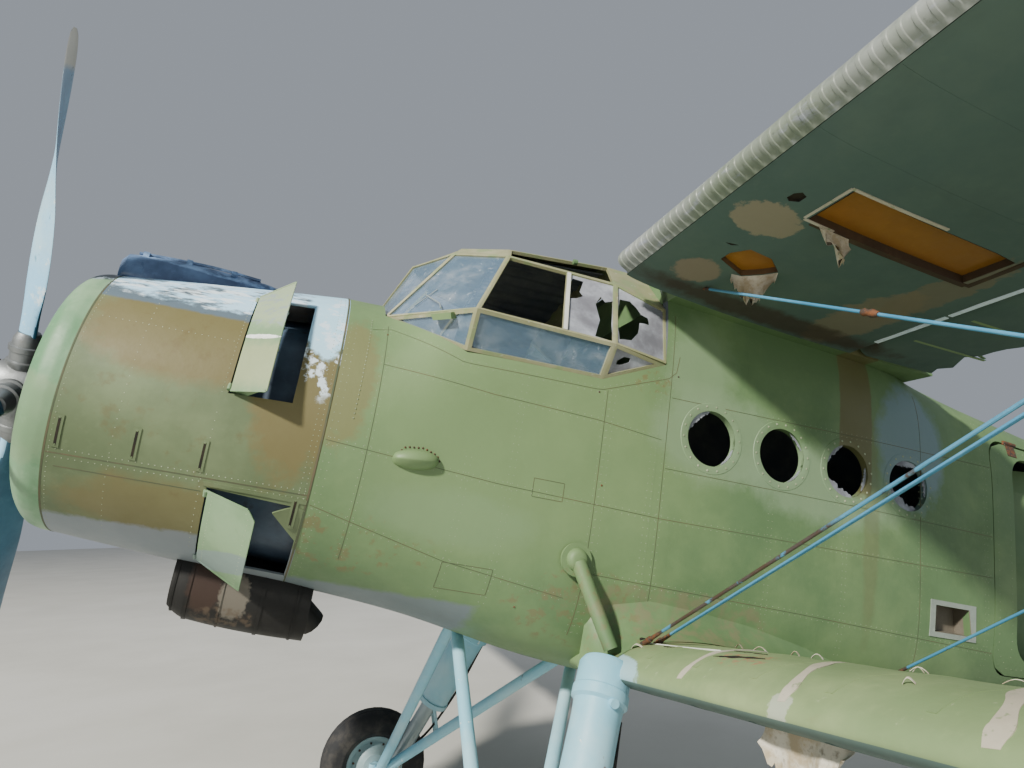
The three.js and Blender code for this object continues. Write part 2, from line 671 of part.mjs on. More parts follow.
function panesOf(side) {
  const p = (row, k) => at(row[k], side);
  const topDivide = between(p(SECOND, 2), p(THIRD, 2), 2700);
  const lowDivide = between(p(FRONT, 1), p(THIRD, 1), 2600);
  return {
    quarter: [p(FOOT, 2), p(FRONT, 2), p(SECOND, 2), p(FRONT, 1)],
    chin: [p(FOOT, 1), p(FRONT, 1), p(FRONT, 0)],
    sliding: [p(FRONT, 1), p(SECOND, 2), topDivide, lowDivide],
    fixed: [lowDivide, topDivide, p(THIRD, 2), p(THIRD, 1)],
    rear: [p(THIRD, 1), p(THIRD, 2), p(REAR, 2), p(REAR, 1)],
    lower: [p(FRONT, 0), p(FRONT, 1), p(THIRD, 1), p(THIRD, 0)],
    lowerRear: [p(THIRD, 0), p(THIRD, 1), p(REAR, 0)],
    roof: [p(SECOND, 2), p(SECOND, 3), p(THIRD, 3), p(THIRD, 2)],
  };
}

const screen = [at(FOOT[2], -1), at(FOOT[3], -1), at(FOOT[4], 1), at(FOOT[3], 1), at(FOOT[2], 1),
  at(FRONT[2], 1), at(FRONT[2], -1)];
const panes = [screen, ...Object.values(panesOf(-1)), ...Object.values(panesOf(1))];
const paneHoles = panes.map((corners) => paneHole(corners));
const aboveSill = sillPrism(GAP);
add('canopy_frame', common(cut(canopySolid(0), canopySolid(CANOPY_SKIN), ...paneHoles), aboveSill), 'green');
const missing = [panesOf(-1).sliding, panesOf(-1).roof].map((c) => paneHole(c, CANOPY_BAR - 8));
const glazing = cut(canopySolid(CANOPY_SKIN + 2 * GAP), canopySolid(CANOPY_SKIN + 9), ...missing);
add('canopy_glass', common(common(glazing, aboveSill), box(1000, REAR[0][0], -1200, 1200, 0, 2000)), 'glass');

// Engine: crankcase, nine cylinders and the shaft that carries the propeller

function turned(profile, sides = 28) {
  const points = profile.map(([x, r]) => new THREE.Vector2(Math.max(r, 0), x));
  return new THREE.LatheGeometry(points, sides).rotateZ(-Math.PI / 2);
}

let engine = turned([[SHAFT_END, 0], [SHAFT_END, 58], [400, 58], [420, 150], [520, 235], [620, 300],
  [640, 330], [860, 330], [900, 290], [FIREWALL_X - GAP, 270], [FIREWALL_X - GAP, 0]], 14);
for (let i = 0; i < CYLINDERS.count; i += 1) {
  const a = 2 * Math.PI * i / CYLINDERS.count;
  const out = V(0, Math.sin(a), Math.cos(a));
  const foot = V(CYLINDERS.x, 0, 0).addScaledVector(out, 280);
  const neck = V(CYLINDERS.x, 0, 0).addScaledVector(out, 520);
  const head = V(CYLINDERS.x, 0, 0).addScaledVector(out, CYLINDERS.reach);
  const barrel = bar(foot, neck, 78, 78, 8);
  engine = join(engine, barrel, bar(neck.clone().addScaledVector(out, -40), head, 92, 70, 8));
}
add('engine', engine, 'metal');

// Propeller

function blade(index) {
  const a = BLADE_START + 2 * Math.PI * index / BLADE_COUNT;
  const radial = V(0, -Math.sin(a), Math.cos(a));
  const tangent = V(0, Math.cos(a), Math.sin(a));
  const section = [[-0.5, 0], [-0.25, 0.46], [0.25, 0.42], [0.5, 0], [0.25, -0.42], [-0.25, -0.46]];
  return loft(BLADE.map(([r, chord, thickness, degrees]) => {
    const pitch = THREE.MathUtils.degToRad(degrees);
    const along = tangent.clone().multiplyScalar(Math.cos(pitch)).add(V(-Math.sin(pitch), 0, 0));
    const across = V(0, 0, 0).crossVectors(radial, along).normalize();
    return section.map(([u, v]) => radial.clone().multiplyScalar(r)
      .addScaledVector(along, u * chord).addScaledVector(across, v * thickness));
  }));
}

const hubFront = -125;
const hubRear = SHAFT_END - GAP;
let propeller = turned([[hubFront, 0], [hubFront, 100], [-105, 135], [85, 135], [hubRear, 95], [hubRear, 0]], 20);
for (let i = 0; i < BLADE_COUNT; i += 1) {
  const a = BLADE_START + 2 * Math.PI * i / BLADE_COUNT;
  const radial = V(0, -Math.sin(a), Math.cos(a));
  const root = bar(radial.clone().multiplyScalar(60), radial.clone().multiplyScalar(300), 78, 66, 8);
  propeller = join(propeller, blade(i), root);
}
add('propeller', propeller, 'blue');
add('propeller_dome', turned([[-280, 0], [-280, 40], [-262, 78], [-225, 92], [hubFront - GAP, 92],
  [hubFront - GAP, 0]], 20), 'metal');

// Cowl: nose ring, upper and lower panels with their flaps, intake scoop, oil cooler and exhaust

const ringRear = COWL[0][0] - GAP;
add('cowl_nose_ring', turned([[ringRear, 690], [300, 686], [250, 668], [212, 630], [192, 590], [190, 566],
  [204, 551], [ringRear, 548], [ringRear, 690]], 32), 'paleGreen');

const cowlRear = COWL[COWL.length - 1][0];
const cowlShell = cut(cowlSolid(COWL[0][0], cowlRear), cowlSolid(COWL[0][0] - 5, cowlRear + 2, COWL_WALL));

// Adds a piece drawn in its closed place, then turned about its hinge to where it rests.
function addTurned(name, geometry, paint, parent, point, axis, degrees) {
  const pivot = new THREE.Group();
  pivot.position.copy(point);
  pivot.quaternion.setFromAxisAngle(axis.clone().normalize(), THREE.MathUtils.degToRad(degrees));
  parent.add(pivot);
  add(name, geometry.clone().translate(-point.x, -point.y, -point.z), paint, pivot);
}

// Points and outward normals along the cowl's skin on one side, from a low to a high place
function cowlArc(x, side, z0, z1) {
  const [, w, top, bottom] = lerpRow(COWL, x);
  const ring = roundRing(x, w, top, bottom, 2, 0);
  const corners = ring.filter((p) => p.y > 0 && p.z > z0 + FLAP.lugInset && p.z < z1 - FLAP.lugInset);
  return [z0, ...corners.map((p) => p.z).sort((a, b) => a - b), z1].map((z) => {
    const y = ringY(ring, z);
    const rise = (z - (top + bottom) / 2) * (2 / (top - bottom)) ** 2;
    return { point: V(x, side * y, z), normal: V(0, side * y / w ** 2, rise).normalize() };
  });
}

const flapHoles = [];
for (const [sideName, side] of SIDES) {
  for (const [name, hingeX, length, flapLength, lowZ, z1, openAngle, highShare] of COWL_FLAPS) {
    const z0 = side > 0 ? Math.max(lowZ, EXHAUST_FLAP_Z) : lowZ;
    const [low, high] = [z0, z1].map((z) => cowlArc(hingeX, side, z, z + 1)[0].point);
    const along = high.clone().sub(low).normalize();
    const outward = V(0, side * along.z, -side * along.y);
    const wall = (x) => [[low, -1], [high, -1], [high, 1], [low, 1]].map(([p, s]) => V(x, p.y, p.z)
      .addScaledVector(outward, s * 150));
    flapHoles.push(loft([wall(hingeX), wall(hingeX + length)]));

    const lift = outward.clone().multiplyScalar(FLAP.pin + GAP);
    const open = THREE.MathUtils.degToRad(openAngle);
    const towards = (normal) => V(Math.cos(open), 0, 0).addScaledVector(normal, Math.sin(open));
    const arc = cowlArc(hingeX, side, z0 + FLAP.edge, z1 - FLAP.edge);
    const section = (distance, lastShare = 1) => {
      const outer = arc.map(({ point, normal }, i) => point.clone().add(lift)
        .addScaledVector(towards(normal), distance * (i === arc.length - 1 ? lastShare : 1)));
      const inner = outer.map((p, i) => p.clone().addScaledVector(arc[i].normal, -FLAP.thickness));
      return [...outer, ...inner.reverse()];
    };
    let flap = loft([section(FLAP.start), section(flapLength, highShare)]);
    const aft = towards(outward);
    const up = outward.clone().multiplyScalar(Math.cos(open)).add(V(-Math.sin(open), 0, 0));
    for (const [corner, s] of [[low, 1], [high, -1]]) {
      const pin = (distance) => corner.clone().add(lift).addScaledVector(along, s * distance);
      const ends = [FLAP.lugInset, FLAP.lugInset + FLAP.lug];
      const lug = loft(ends.map((distance) => [[0, -5], [FLAP.lugLength, -5], [FLAP.lugLength, 14], [0, 14]]
        .map(([a, h]) => pin(distance).addScaledVector(aft, a).addScaledVector(up, h))));
      flap = join(flap, lug, bar(pin(ends[0]), pin(ends[1]), FLAP.pin, FLAP.pin, 12));
      flapHoles.push(bar(pin(ends[0] - 4), pin(ends[1] + 4), FLAP.socket, FLAP.socket, 12));
    }
    const node = `cowl_flap_${name}_${sideName}`;
    add(node, flap, 'green');
    hinge(node, airframe, low.clone().lerp(high, 0.5).add(lift), along.clone().multiplyScalar(side));
  }
}

const forwardClear = fuselageSolid(FIREWALL_X - GAP, COCKPIT_REAR_X, -GAP);
const exhaust = (radius) => bar(V(1180, 230, -560), V(1760, 520, -1040), radius, radius, 12);
const all = 2000;
const upperShell = common(cowlShell, box(0, all, -all, all, COWL_SPLIT_Z + GAP / 2, all));
const lowerShell = common(cowlShell, box(0, all, -all, all, -all, COWL_SPLIT_Z - GAP / 2));
add('cowl_upper', cut(upperShell, ...flapHoles), 'green');
add('cowl_lower', cut(lowerShell, ...flapHoles, exhaust(EXHAUST_RADIUS + GAP)), 'green');
const exhaustBore = bar(V(1650, 465, -949), V(1800, 540, -1073.1), EXHAUST_RADIUS - 8, EXHAUST_RADIUS - 8, 12);
add('exhaust_pipe', cut(exhaust(EXHAUST_RADIUS), forwardClear, exhaustBore), 'metal');

function bulge(table, shape) {
  return loft(table.map(([x, half, top, bottom]) => shape.map(([u, v]) => V(x, u * half,
    (top + bottom) / 2 + v * (top - bottom) / 2))));
}
const SOFT_BOX = [[1, -0.6], [1, 0.4], [0.8, 0.82], [0.45, 1], [-0.45, 1], [-0.8, 0.82], [-1, 0.4],
  [-1, -0.6],
  [-0.75, -0.95], [0.75, -0.95]];
const cowlClear = cowlSolid(COWL[0][0] - GAP, COWL[3][0] + GAP, -GAP);
const ringClear = turned([[180, 0], [180, 690 + GAP], [348, 690 + GAP], [348, 0]], 32);
add('intake_scoop', cut(bulge(SCOOP, SOFT_BOX), cowlClear, ringClear,
  box(280, 400, -115, 115, 712, 790)), 'black');

const coolerBody = bulge(COOLER, SOFT_BOX.map(([u, v]) => [u, -v]));
add('oil_cooler', cut(coolerBody, cowlClear, forwardClear,
  box(900, 1030, -150, 150, -970, -820), box(1600, 1700, -160, 160, -1040, -850)), 'black');

// Struts and wires between the wings

const placed = {};
for (const [sideName, side] of SIDES) {
  for (const wing of [UPPER_WING, LOWER_WING]) {
    const group = wingGroups[`${wing.name}_${sideName}`];
    group.updateMatrix();
    placed[`${wing.name}_${sideName}`] = wingSolid(wing, side).applyMatrix4(group.matrix);
  }
}

for (const [sideName, side] of SIDES) {
  const foot = V(3560, side * STRUT_LOWER_Y, -470);
  const head = V(3700, side * STRUT_UPPER_Y, 1440);
  const beam = (p, x0, x1, z) => faired(V(x0, p.y, z), V(x1, p.y, z), 60, 60);
  let strut = faired(foot, head, 190, 72);
  strut = join(strut, bar(V(3210, side * STRUT_LOWER_Y, -500), V(3560, side * 4985, -180), 26, 34, 6),
    bar(V(3960, side * STRUT_LOWER_Y, -470), V(3585, side * 4985, -180), 26, 34, 6),
    bar(V(3290, side * STRUT_UPPER_Y, 1440), V(3680, side * 5215, 1150), 26, 34, 6),
    bar(V(4130, side * STRUT_UPPER_Y, 1420), V(3700, side * 5215, 1150), 26, 34, 6));
  strut = seat(strut, placed[`lower_${sideName}`], V(0, 0, 1));
  strut = seat(strut, placed[`upper_${sideName}`], V(0, 0, -1));
  add(`interplane_strut_${sideName}`, strut, 'green');

  const wires = [];
  const lowRoot = V(3240, side * 960, -800);
  const highOut = V(3400, side * 5160, 1400);
  for (const dx of [-34, 34]) {
    wires.push(bar(V(lowRoot.x + dx, lowRoot.y, lowRoot.z), V(highOut.x + dx, highOut.y, highOut.z),
      WIRE_RADIUS, WIRE_RADIUS, 6));
  }
  wires.push(bar(V(3340, side * 935, 1215), V(3340, side * 4860, -500), WIRE_RADIUS, WIRE_RADIUS, 6));
  wires.push(box(3255, 3385, side * 2990 - 40, side * 2990 + 40, 285, 360));
  let bracing = wires.slice(1).reduce((a, b) => join(a, b), wires[0]);
  bracing = clearOf(bracing, placed[`lower_${sideName}`], placed[`upper_${sideName}`]);
  add(`bracing_wires_${sideName}`, bracing, 'blue');
}

// Tail: fin, rudder, tailplane and elevators

const sternClear = fuselageSolid(CABIN_REAR_X + GAP, STERN_X, -GAP);
const lens = (x0, x1, half, y, z, axis) => [[x0, 0], [x0 + (x1 - x0) * 0.08, 0.62], [x0 + (x1 - x0) * 0.3, 1],
  [x1, 0.55], [x1, -0.55], [x0 + (x1 - x0) * 0.3, -1], [x0 + (x1 - x0) * 0.08, -0.62]]
  .map(([x, v]) => (axis === 'y' ? V(x, v * half, z) : V(x, y, z + v * half)));
// Hinge plates on the fixed surface, and the notches that clear them in the moving one
const plateBox = (wallX, hingeX, s, grow, thick, place) => place(
  [wallX - 8, hingeX + (grow ? HINGE_PLATE.notch : HINGE_PLATE.radius)],
  [s - HINGE_PLATE.width / 2 - grow, s + HINGE_PLATE.width / 2 + grow], thick);
const onFin = (xs, zs, thick) => box(...xs, -thick, thick, ...zs);
const onTail = (xs, ys, thick) => box(...xs, ...ys, TAILPLANE.z - thick, TAILPLANE.z + thick);
const RUDDER_PLATES = [820, 1600, 2300];
const finWall = FIN.hingeX - 60;
let fin = cut(loft([
  lens(FIN.rootX, FIN.hingeX - 60, FIN.half, 0, FIN.rootZ, 'y'),
  lens(FIN.rootX + 560, FIN.hingeX - 60, FIN.half, 0, 1200, 'y'),
  lens(FIN.tipX - 150, FIN.hingeX - 60, FIN.half * 0.75, 0, 2350, 'y'),
  lens(FIN.tipX + 60, FIN.hingeX - 60, FIN.half * 0.6, 0, 2600, 'y'),
  lens(FIN.tipX + 330, FIN.hingeX - 60, FIN.half * 0.3, 0, FIN.tipZ, 'y'),
]), sternClear);
fin = join(fin, ...RUDDER_PLATES.map((z) => plateBox(finWall, FIN.hingeX, z, 0, 15, onFin)));
add('fin', fin, 'green');

function tailSurface(rows) {
  return loft(rows.map(([nose, trail, thickness, s, axis]) => {
    const r = thickness / 2;
    const section = [[nose + r, r], [nose + r * 0.3, r * 0.7], [nose, 0], [nose + r * 0.3, -r * 0.7],
      [nose + r, -r], [trail, -4], [trail, 4]];
    return section.map(([x, v]) => (axis === 'z' ? V(x, v, s) : V(x, s, TAILPLANE.z + v)));
  }));
}

const rudderNose = FIN.hingeX - RUDDER.nose;
const rudder = tailSurface([
  [rudderNose, 12150, 2 * RUDDER.nose, RUDDER.z0, 'z'],
  [rudderNose, RUDDER.rootX, 2 * RUDDER.nose, 150, 'z'],
  [rudderNose, RUDDER.rootX, 2 * RUDDER.nose, 1500, 'z'],
  [rudderNose, 12300, 2 * RUDDER.nose, 2350, 'z'],
  [rudderNose, 12050, 1.5 * RUDDER.nose, 2660, 'z'],
  [rudderNose, 11700, RUDDER.nose, RUDDER.z1, 'z'],
]);
const rudderNotches = RUDDER_PLATES.map((z) => plateBox(finWall - 100, FIN.hingeX, z, GAP, 300, onFin));
add('rudder', cut(rudder, ...rudderNotches), 'green');
hinge('rudder', airframe, V(FIN.hingeX, 0, 0), V(0, 0, 1));

const HALF_ROWS = [[80, 0, 1], [TAILPLANE.half - 1500, 0, 1], [TAILPLANE.half - 420, 0, 0.9],
  [TAILPLANE.half - 90, 0.3, 0.6], [TAILPLANE.half, 0.6, 0.3]];
const tailNose = (y, sweep) => TAILPLANE.rootX + 170 * y / TAILPLANE.half + sweep * 450;
for (const [sideName, side] of SIDES) {
  const stabiliser = loft(HALF_ROWS.map(([y, sweep, t]) => lens(tailNose(y, sweep), TAILPLANE.hingeX - 60,
    TAILPLANE.thickness / 2 * t, side * y, TAILPLANE.z, 'z')));
  const plates = [600, 1700, 2800].map((y) => side * y);
  const tailWall = TAILPLANE.hingeX - 60;
  add(`tailplane_${sideName}`, join(cut(stabiliser, sternClear),
    ...plates.map((y) => plateBox(tailWall, TAILPLANE.hingeX, y, 0, 15, onTail))), 'green');
  const noseX = TAILPLANE.hingeX - TAILPLANE.elevatorNose;
  const thick = 2 * TAILPLANE.elevatorNose;
  const elevator = tailSurface([
    [noseX, TAILPLANE.trailX, thick, side * TAILPLANE.elevatorRoot, 'y'],
    [noseX, TAILPLANE.trailX, thick, side * (TAILPLANE.half - 900), 'y'],
    [noseX, TAILPLANE.trailX - 60, thick, side * (TAILPLANE.half - 350), 'y'],
    [noseX, TAILPLANE.trailX - 300, thick * 0.7, side * (TAILPLANE.half - 60), 'y'],
  ]);
  add(`elevator_${sideName}`, cut(elevator,
    ...plates.map((y) => plateBox(tailWall - 100, TAILPLANE.hingeX, y, GAP, 300, onTail))), 'green');
  const strutFoot = V(10250, side * 150, -260);
  const strutHead = V(10420, side * 1750, TAILPLANE.z - 10);
  const strut = faired(strutFoot, strutHead, 110, 45);
  add(`tailplane_strut_${sideName}`, seat(cut(strut, sternClear), stabiliser, V(0, 0, -1)), 'blue');
}
hinge('elevator', airframe, V(TAILPLANE.hingeX, 0, TAILPLANE.z), V(0, 1, 0));

// Main landing gear: on each side a leg from the lower centre section and two braces from the belly

for (const [sideName, side] of SIDES) {
  const hub = V(TYRE.x, side * TYRE.y, TYRE.z);
  const legTop = V(3035, side * 1000, -880);
  const legFoot = V(TYRE.x + 110, side * (TYRE.y - 215), TYRE.z + 60);
  const along = (share) => legTop.clone().lerp(legFoot, share);
  const axle = V(TYRE.x, side * (TYRE.y - 290), TYRE.z);
  const axleEnd = V(TYRE.x, side * (TYRE.y + 118), TYRE.z);
  const leg = join(bar(along(0), along(LEG.sleeveShare), LEG.sleeve, LEG.sleeve, 14),
    bar(along(0), along(LEG.collarShare), LEG.collar, LEG.collar, 14),
    bar(along(LEG.sleeveShare - 0.02), legFoot, LEG.piston, LEG.piston, 12),
    bar(legFoot, V(TYRE.x, side * (TYRE.y - 215), TYRE.z), LEG.piston, LEG.piston, 12),
    bar(axle, axleEnd, AXLE, AXLE, 12));
  add(`main_leg_${sideName}`, clearOf(leg, lowerCentre, placed[`lower_${sideName}`]), 'blue');
  const frontTop = V(2530, side * 60, -900);
  const rearTop = V(3300, side * 60, -985);
  const braceFoot = V(TYRE.x, side * (TYRE.y - 262), TYRE.z + 10);
  const braces = join(bar(frontTop, braceFoot, 36, 36, 8), bar(rearTop, braceFoot, 36, 36, 8),
    box(TYRE.x - 50, TYRE.x + 50, ...(side > 0 ? [TYRE.y - 300, TYRE.y - 235] : [235 - TYRE.y, 300 - TYRE.y]),
      TYRE.z - 60, TYRE.z + 70));
  const clear = LEG.piston + 2 * GAP;
  const legClear = join(bar(legTop, legFoot, clear, clear, 12),
    bar(legFoot, V(TYRE.x, side * (TYRE.y - 215), TYRE.z), clear, clear, 12),
    bar(axle.clone().add(V(0, -side, 0)), axleEnd, AXLE + GAP, AXLE + GAP, 12));
  add(`leg_braces_${sideName}`, cut(braces, legClear, fuselageSolid(FIREWALL_X, CABIN_REAR_X, -GAP)), 'blue');

  const halfTyre = TYRE.width / 2;
  const tyreProfile = [[TYRE.rimRadius, -halfTyre + 40], [TYRE.rimRadius + 60, -halfTyre],
    [TYRE.rimRadius + 120, -halfTyre], [TYRE.radius - 25, -halfTyre + 32], [TYRE.radius, -halfTyre + 90],
    [TYRE.radius, halfTyre - 90], [TYRE.radius - 25, halfTyre - 32], [TYRE.rimRadius + 120, halfTyre],
    [TYRE.rimRadius + 60, halfTyre], [TYRE.rimRadius, halfTyre - 40], [TYRE.rimRadius, -halfTyre + 40]];
  const lathe = (profile, sides) => new THREE.LatheGeometry(
    profile.map(([r, y]) => new THREE.Vector2(r, y)), sides);
  const wheel = new THREE.Group();
  wheel.position.copy(hub);
  wheel.rotation.y = Math.PI / 2 - PARK_ANGLE;
  airframe.add(wheel);
  add(`main_tyre_${sideName}`, lathe(tyreProfile, 24), 'rubber', wheel);
  const rim = TYRE.rimRadius - GAP;
  add(`main_rim_${sideName}`, lathe([[AXLE + 0.7, -105], [95, -105], [rim - 45, -30], [rim, -halfTyre + 42],
    [rim, halfTyre - 42], [rim - 45, 20], [95, 105], [AXLE + 0.7, 105],
    [AXLE + 0.7, -105]], 24), 'metal', wheel);
  hinge(`main_wheel_${sideName}`, airframe, hub, V(0, 1, 0));
}

// Tail wheel: an oleo leg, a fork that swivels about it and the wheel

const groundNormal = V(-Math.sin(PARK_ANGLE), 0, Math.cos(PARK_ANGLE));
const groundLevel = V(TYRE.x, 0, TYRE.z).dot(groundNormal) - TYRE.radius;
TAIL_TYRE.z = (groundLevel + TAIL_TYRE.radius - TAIL_TYRE.x * groundNormal.x) / groundNormal.z;
const tailHub = V(TAIL_TYRE.x, 0, TAIL_TYRE.z);
// The swivel is upright on the parked aircraft and passes ahead of the hub by the trail
const swivel = tailHub.clone().add(V(-groundNormal.z, 0, groundNormal.x).multiplyScalar(TAIL_TYRE.trail));
const bearing = swivel.clone().addScaledVector(groundNormal, 300);
const tailLeg = join(bar(bearing, swivel.clone().addScaledVector(groundNormal, 760), 48, 48, 14),
  bar(bearing.clone().addScaledVector(groundNormal, 40), V(10150, 0, -180), 26, 26, 10));
add('tail_leg', cut(tailLeg, sternClear), 'blue');
const fork = new THREE.Group();
fork.position.copy(tailHub);
fork.rotation.y = -PARK_ANGLE;
airframe.add(fork);
const trail = TAIL_TYRE.trail;
const crownZ = 262;
add('tail_fork', join(
  bar(V(-trail, 0, crownZ), V(-trail, 0, 300 - GAP), 48, 48, 14),
  box(-trail - 55, 45, -142, 142, crownZ - 22, crownZ + 12),
  box(-32, 32, -142, -118, -40, crownZ), box(-32, 32, 118, 142, -40, crownZ),
  bar(V(0, -120, 0), V(0, 120, 0), 20, 20, 12)), 'metal', fork);
const tr = TAIL_TYRE.rimRadius;
const tw = TAIL_TYRE.width / 2;
add('tail_wheel', new THREE.LatheGeometry([[21, -tw + 5], [tr - 30, -tw + 25], [tr + 40, -tw],
  [TAIL_TYRE.radius, -45], [TAIL_TYRE.radius, 45], [tr + 40, tw], [tr - 30, tw - 25], [21, tw - 5],
  [21, -tw + 5]].map(([r, y]) => new THREE.Vector2(r, y)), 24).rotateY(Math.PI / 2), 'rubber', fork);
hinge('tail_swivel', airframe, swivel, groundNormal);
hinge('tail_wheel', airframe, tailHub, V(0, 1, 0));

// Cargo door, hinged along its top edge, and the entry door in it, which rests ajar inward

const doorShell = cut(fuselageSolid(COCKPIT_REAR_X + GAP, CABIN_REAR_X), hollow(WALL, 3000, 8000));
const cargoOutline = roundedOutline(CARGO_DOOR.x0 + RUNNING_GAP, CARGO_DOOR.x1 - REAR_GAP,
  CARGO_DOOR.z0 + RUNNING_GAP, CARGO_DOOR.z1 - RUNNING_GAP, CARGO_DOOR.corner - RUNNING_GAP);
const { x0: entryX0, x1: entryX1, z0: entryZ0, z1: entryZ1, corner: entryCorner } = ENTRY_DOOR;
const entryHole = roundedOutline(entryX0, entryX1, entryZ0, entryZ1, entryCorner);
const entryOutline = roundedOutline(entryX0 + ENTRY_FRONT_GAP, entryX1 - RUNNING_GAP, entryZ0 + RUNNING_GAP,
  entryZ1 - RUNNING_GAP, entryCorner - RUNNING_GAP);
const portSide = (outline) => plateXZ(outline, -1200, -400);
// The cargo door's knuckles on its upper edge, and the arms that carry the entry door's pin
const knuckles = hingePoints.map((p) => onPinLine(p, 55, KNUCKLE));
const straps = hingePoints.map((p) => {
  const drop = [[4, -6], [4, 6], [70, 6 + STRAP_LEAN], [70, -6 + STRAP_LEAN]];
  return loft([-40, 40].map((along) => drop.map(([dz, dy]) => V(p.x, p.y - dy, p.z - dz)
    .addScaledVector(pinLine, along))));
});
const entryPin = V(ENTRY_DOOR.x1 - RUNNING_GAP, -ENTRY_DOOR.hingeY, 0);
const pinArm = (z, dx, dy) => join(
  bar(entryPin.clone().setZ(z + 25), entryPin.clone().setZ(z - 25), 16, 16, 10),
  bar(entryPin.clone().setZ(z), V(entryPin.x + dx, entryPin.y + dy, z), 13, 13, 6),
);
const cargoPanel = cut(common(doorShell, portSide(cargoOutline)), portSide(entryHole));
const cargoArms = ENTRY_HINGE_Z.map((z) => pinArm(z - 25 - GAP / 2, 95, -168));
add('cargo_door', join(cargoPanel, ...knuckles, ...straps, ...cargoArms), 'green');
hinge('cargo_door', airframe, hingePoints[0].clone().lerp(hingePoints[1], 0.5), pinLine);
addTurned('entry_door', join(common(doorShell, portSide(entryOutline)),
  ...ENTRY_HINGE_Z.map((z) => pinArm(z + 25 + GAP / 2, -85, -180))), 'green', airframe, entryPin, V(0, 0, 1),
-ENTRY_DOOR.ajar);
hinge('entry_door', airframe, entryPin, V(0, 0, 1));

hinge('propeller', airframe, V(0, 0, 0), V(1, 0, 0));

airframe.rotation.y = PARK_ANGLE;
const part = new THREE.Group();
part.add(airframe);
part.updateMatrixWorld(true);
const extent = new THREE.Box3().setFromObject(part);
airframe.position.set(-(extent.min.x + extent.max.x) / 2, 0, -extent.min.z);
part.updateMatrixWorld(true);
part.userData.hinges = hinges;

export default part;
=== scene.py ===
"""Looks of a weathered utility biplane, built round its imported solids.

Shapes are worked out in the level airframe frame, in metres: X aft from the propeller plane, Y to
starboard, Z up from the thrust line. to_row turns them nose up into the frame of the solids.
"""
import json
import math

import bmesh
import bpy
import numpy as np
from mathutils import Matrix, Vector

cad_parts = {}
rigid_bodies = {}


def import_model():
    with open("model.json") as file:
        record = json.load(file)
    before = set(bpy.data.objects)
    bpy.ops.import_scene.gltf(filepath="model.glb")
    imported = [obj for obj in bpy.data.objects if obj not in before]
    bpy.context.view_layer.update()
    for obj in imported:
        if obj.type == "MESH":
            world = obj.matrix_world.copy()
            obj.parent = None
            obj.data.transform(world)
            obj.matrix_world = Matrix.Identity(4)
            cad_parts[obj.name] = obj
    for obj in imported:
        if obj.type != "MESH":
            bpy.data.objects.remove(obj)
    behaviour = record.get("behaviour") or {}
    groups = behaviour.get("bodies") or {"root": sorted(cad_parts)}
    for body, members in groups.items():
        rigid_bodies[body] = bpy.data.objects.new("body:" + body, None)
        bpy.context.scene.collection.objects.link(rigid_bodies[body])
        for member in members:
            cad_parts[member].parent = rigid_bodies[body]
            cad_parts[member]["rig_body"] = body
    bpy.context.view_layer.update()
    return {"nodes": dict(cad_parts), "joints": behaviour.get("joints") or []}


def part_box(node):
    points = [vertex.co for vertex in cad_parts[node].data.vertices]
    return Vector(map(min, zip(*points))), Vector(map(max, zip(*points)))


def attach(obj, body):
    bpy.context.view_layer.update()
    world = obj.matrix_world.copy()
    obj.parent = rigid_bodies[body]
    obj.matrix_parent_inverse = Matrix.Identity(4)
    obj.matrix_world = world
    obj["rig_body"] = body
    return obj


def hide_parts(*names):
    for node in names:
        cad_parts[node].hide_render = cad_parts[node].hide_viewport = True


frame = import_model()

bl_info = {
    "name": "Weathered biplane",
    "version": (1, 0, 0),
    "blender": (4, 5, 0),
    "location": "3D View > Sidebar > Biplane",
    "description": "Dresses the packed biplane with its skins, fittings and worn paint",
    "category": "Add Mesh",
}

JOINTS = {joint["name"]: joint for joint in frame["joints"]}
SIDES = {"port": -1, "starboard": 1}

# The level airframe frame, set by its parking angle and the port wheel's hub
PARK_ANGLE = math.radians(11)
PORT_HUB = np.array([2.550, -1.680, -2.140])
TURN = np.array([[math.cos(PARK_ANGLE), 0, math.sin(PARK_ANGLE)], [0, 1, 0],
                 [-math.sin(PARK_ANGLE), 0, math.cos(PARK_ANGLE)]])
SHIFT = np.array(JOINTS["main_wheel_spin_port"]["pos_m"]) - TURN @ PORT_HUB

# Fuselage sections, columns: x, half width, top, bottom, squareness of the corners
FUSELAGE = np.array([
    [1.512, 0.815, 0.882, -0.790, 2.0], [1.700, 0.825, 0.886, -0.805, 2.1],
    [2.120, 0.845, 1.130, -0.850, 2.7], [2.900, 0.866, 1.400, -0.985, 4.0],
    [3.270, 0.870, 1.455, -1.020, 4.6], [3.700, 0.870, 1.480, -1.030, 5.0],
    [4.300, 0.870, 1.450, -1.030, 5.0], [4.900, 0.870, 1.330, -1.000, 4.8],
    [5.350, 0.866, 1.200, -0.980, 4.6], [6.000, 0.855, 1.105, -0.940, 4.6],
    [7.450, 0.745, 0.985, -0.800, 4.2], [9.500, 0.430, 0.800, -0.470, 2.7],
    [11.000, 0.200, 0.665, -0.240, 2.1], [11.440, 0.116, 0.624, -0.176, 2.0]])
# Cowl sections, columns: x, half width, top, bottom, squareness
COWL = np.array([
    [0.347, 0.690, 0.690, -0.690, 2.0], [0.700, 0.738, 0.752, -0.725, 2.0],
    [1.100, 0.782, 0.818, -0.760, 2.0], [1.5117, 0.815, 0.882, -0.790, 2.0]])
COWL_SEAM_Z = -0.330
WALL = 0.045
FIREWALL_X, BULKHEAD_X, CABIN_REAR_X, STERN_X = 1.512, 3.270, 7.450, 11.440
SEAT_GAP = 0.0003
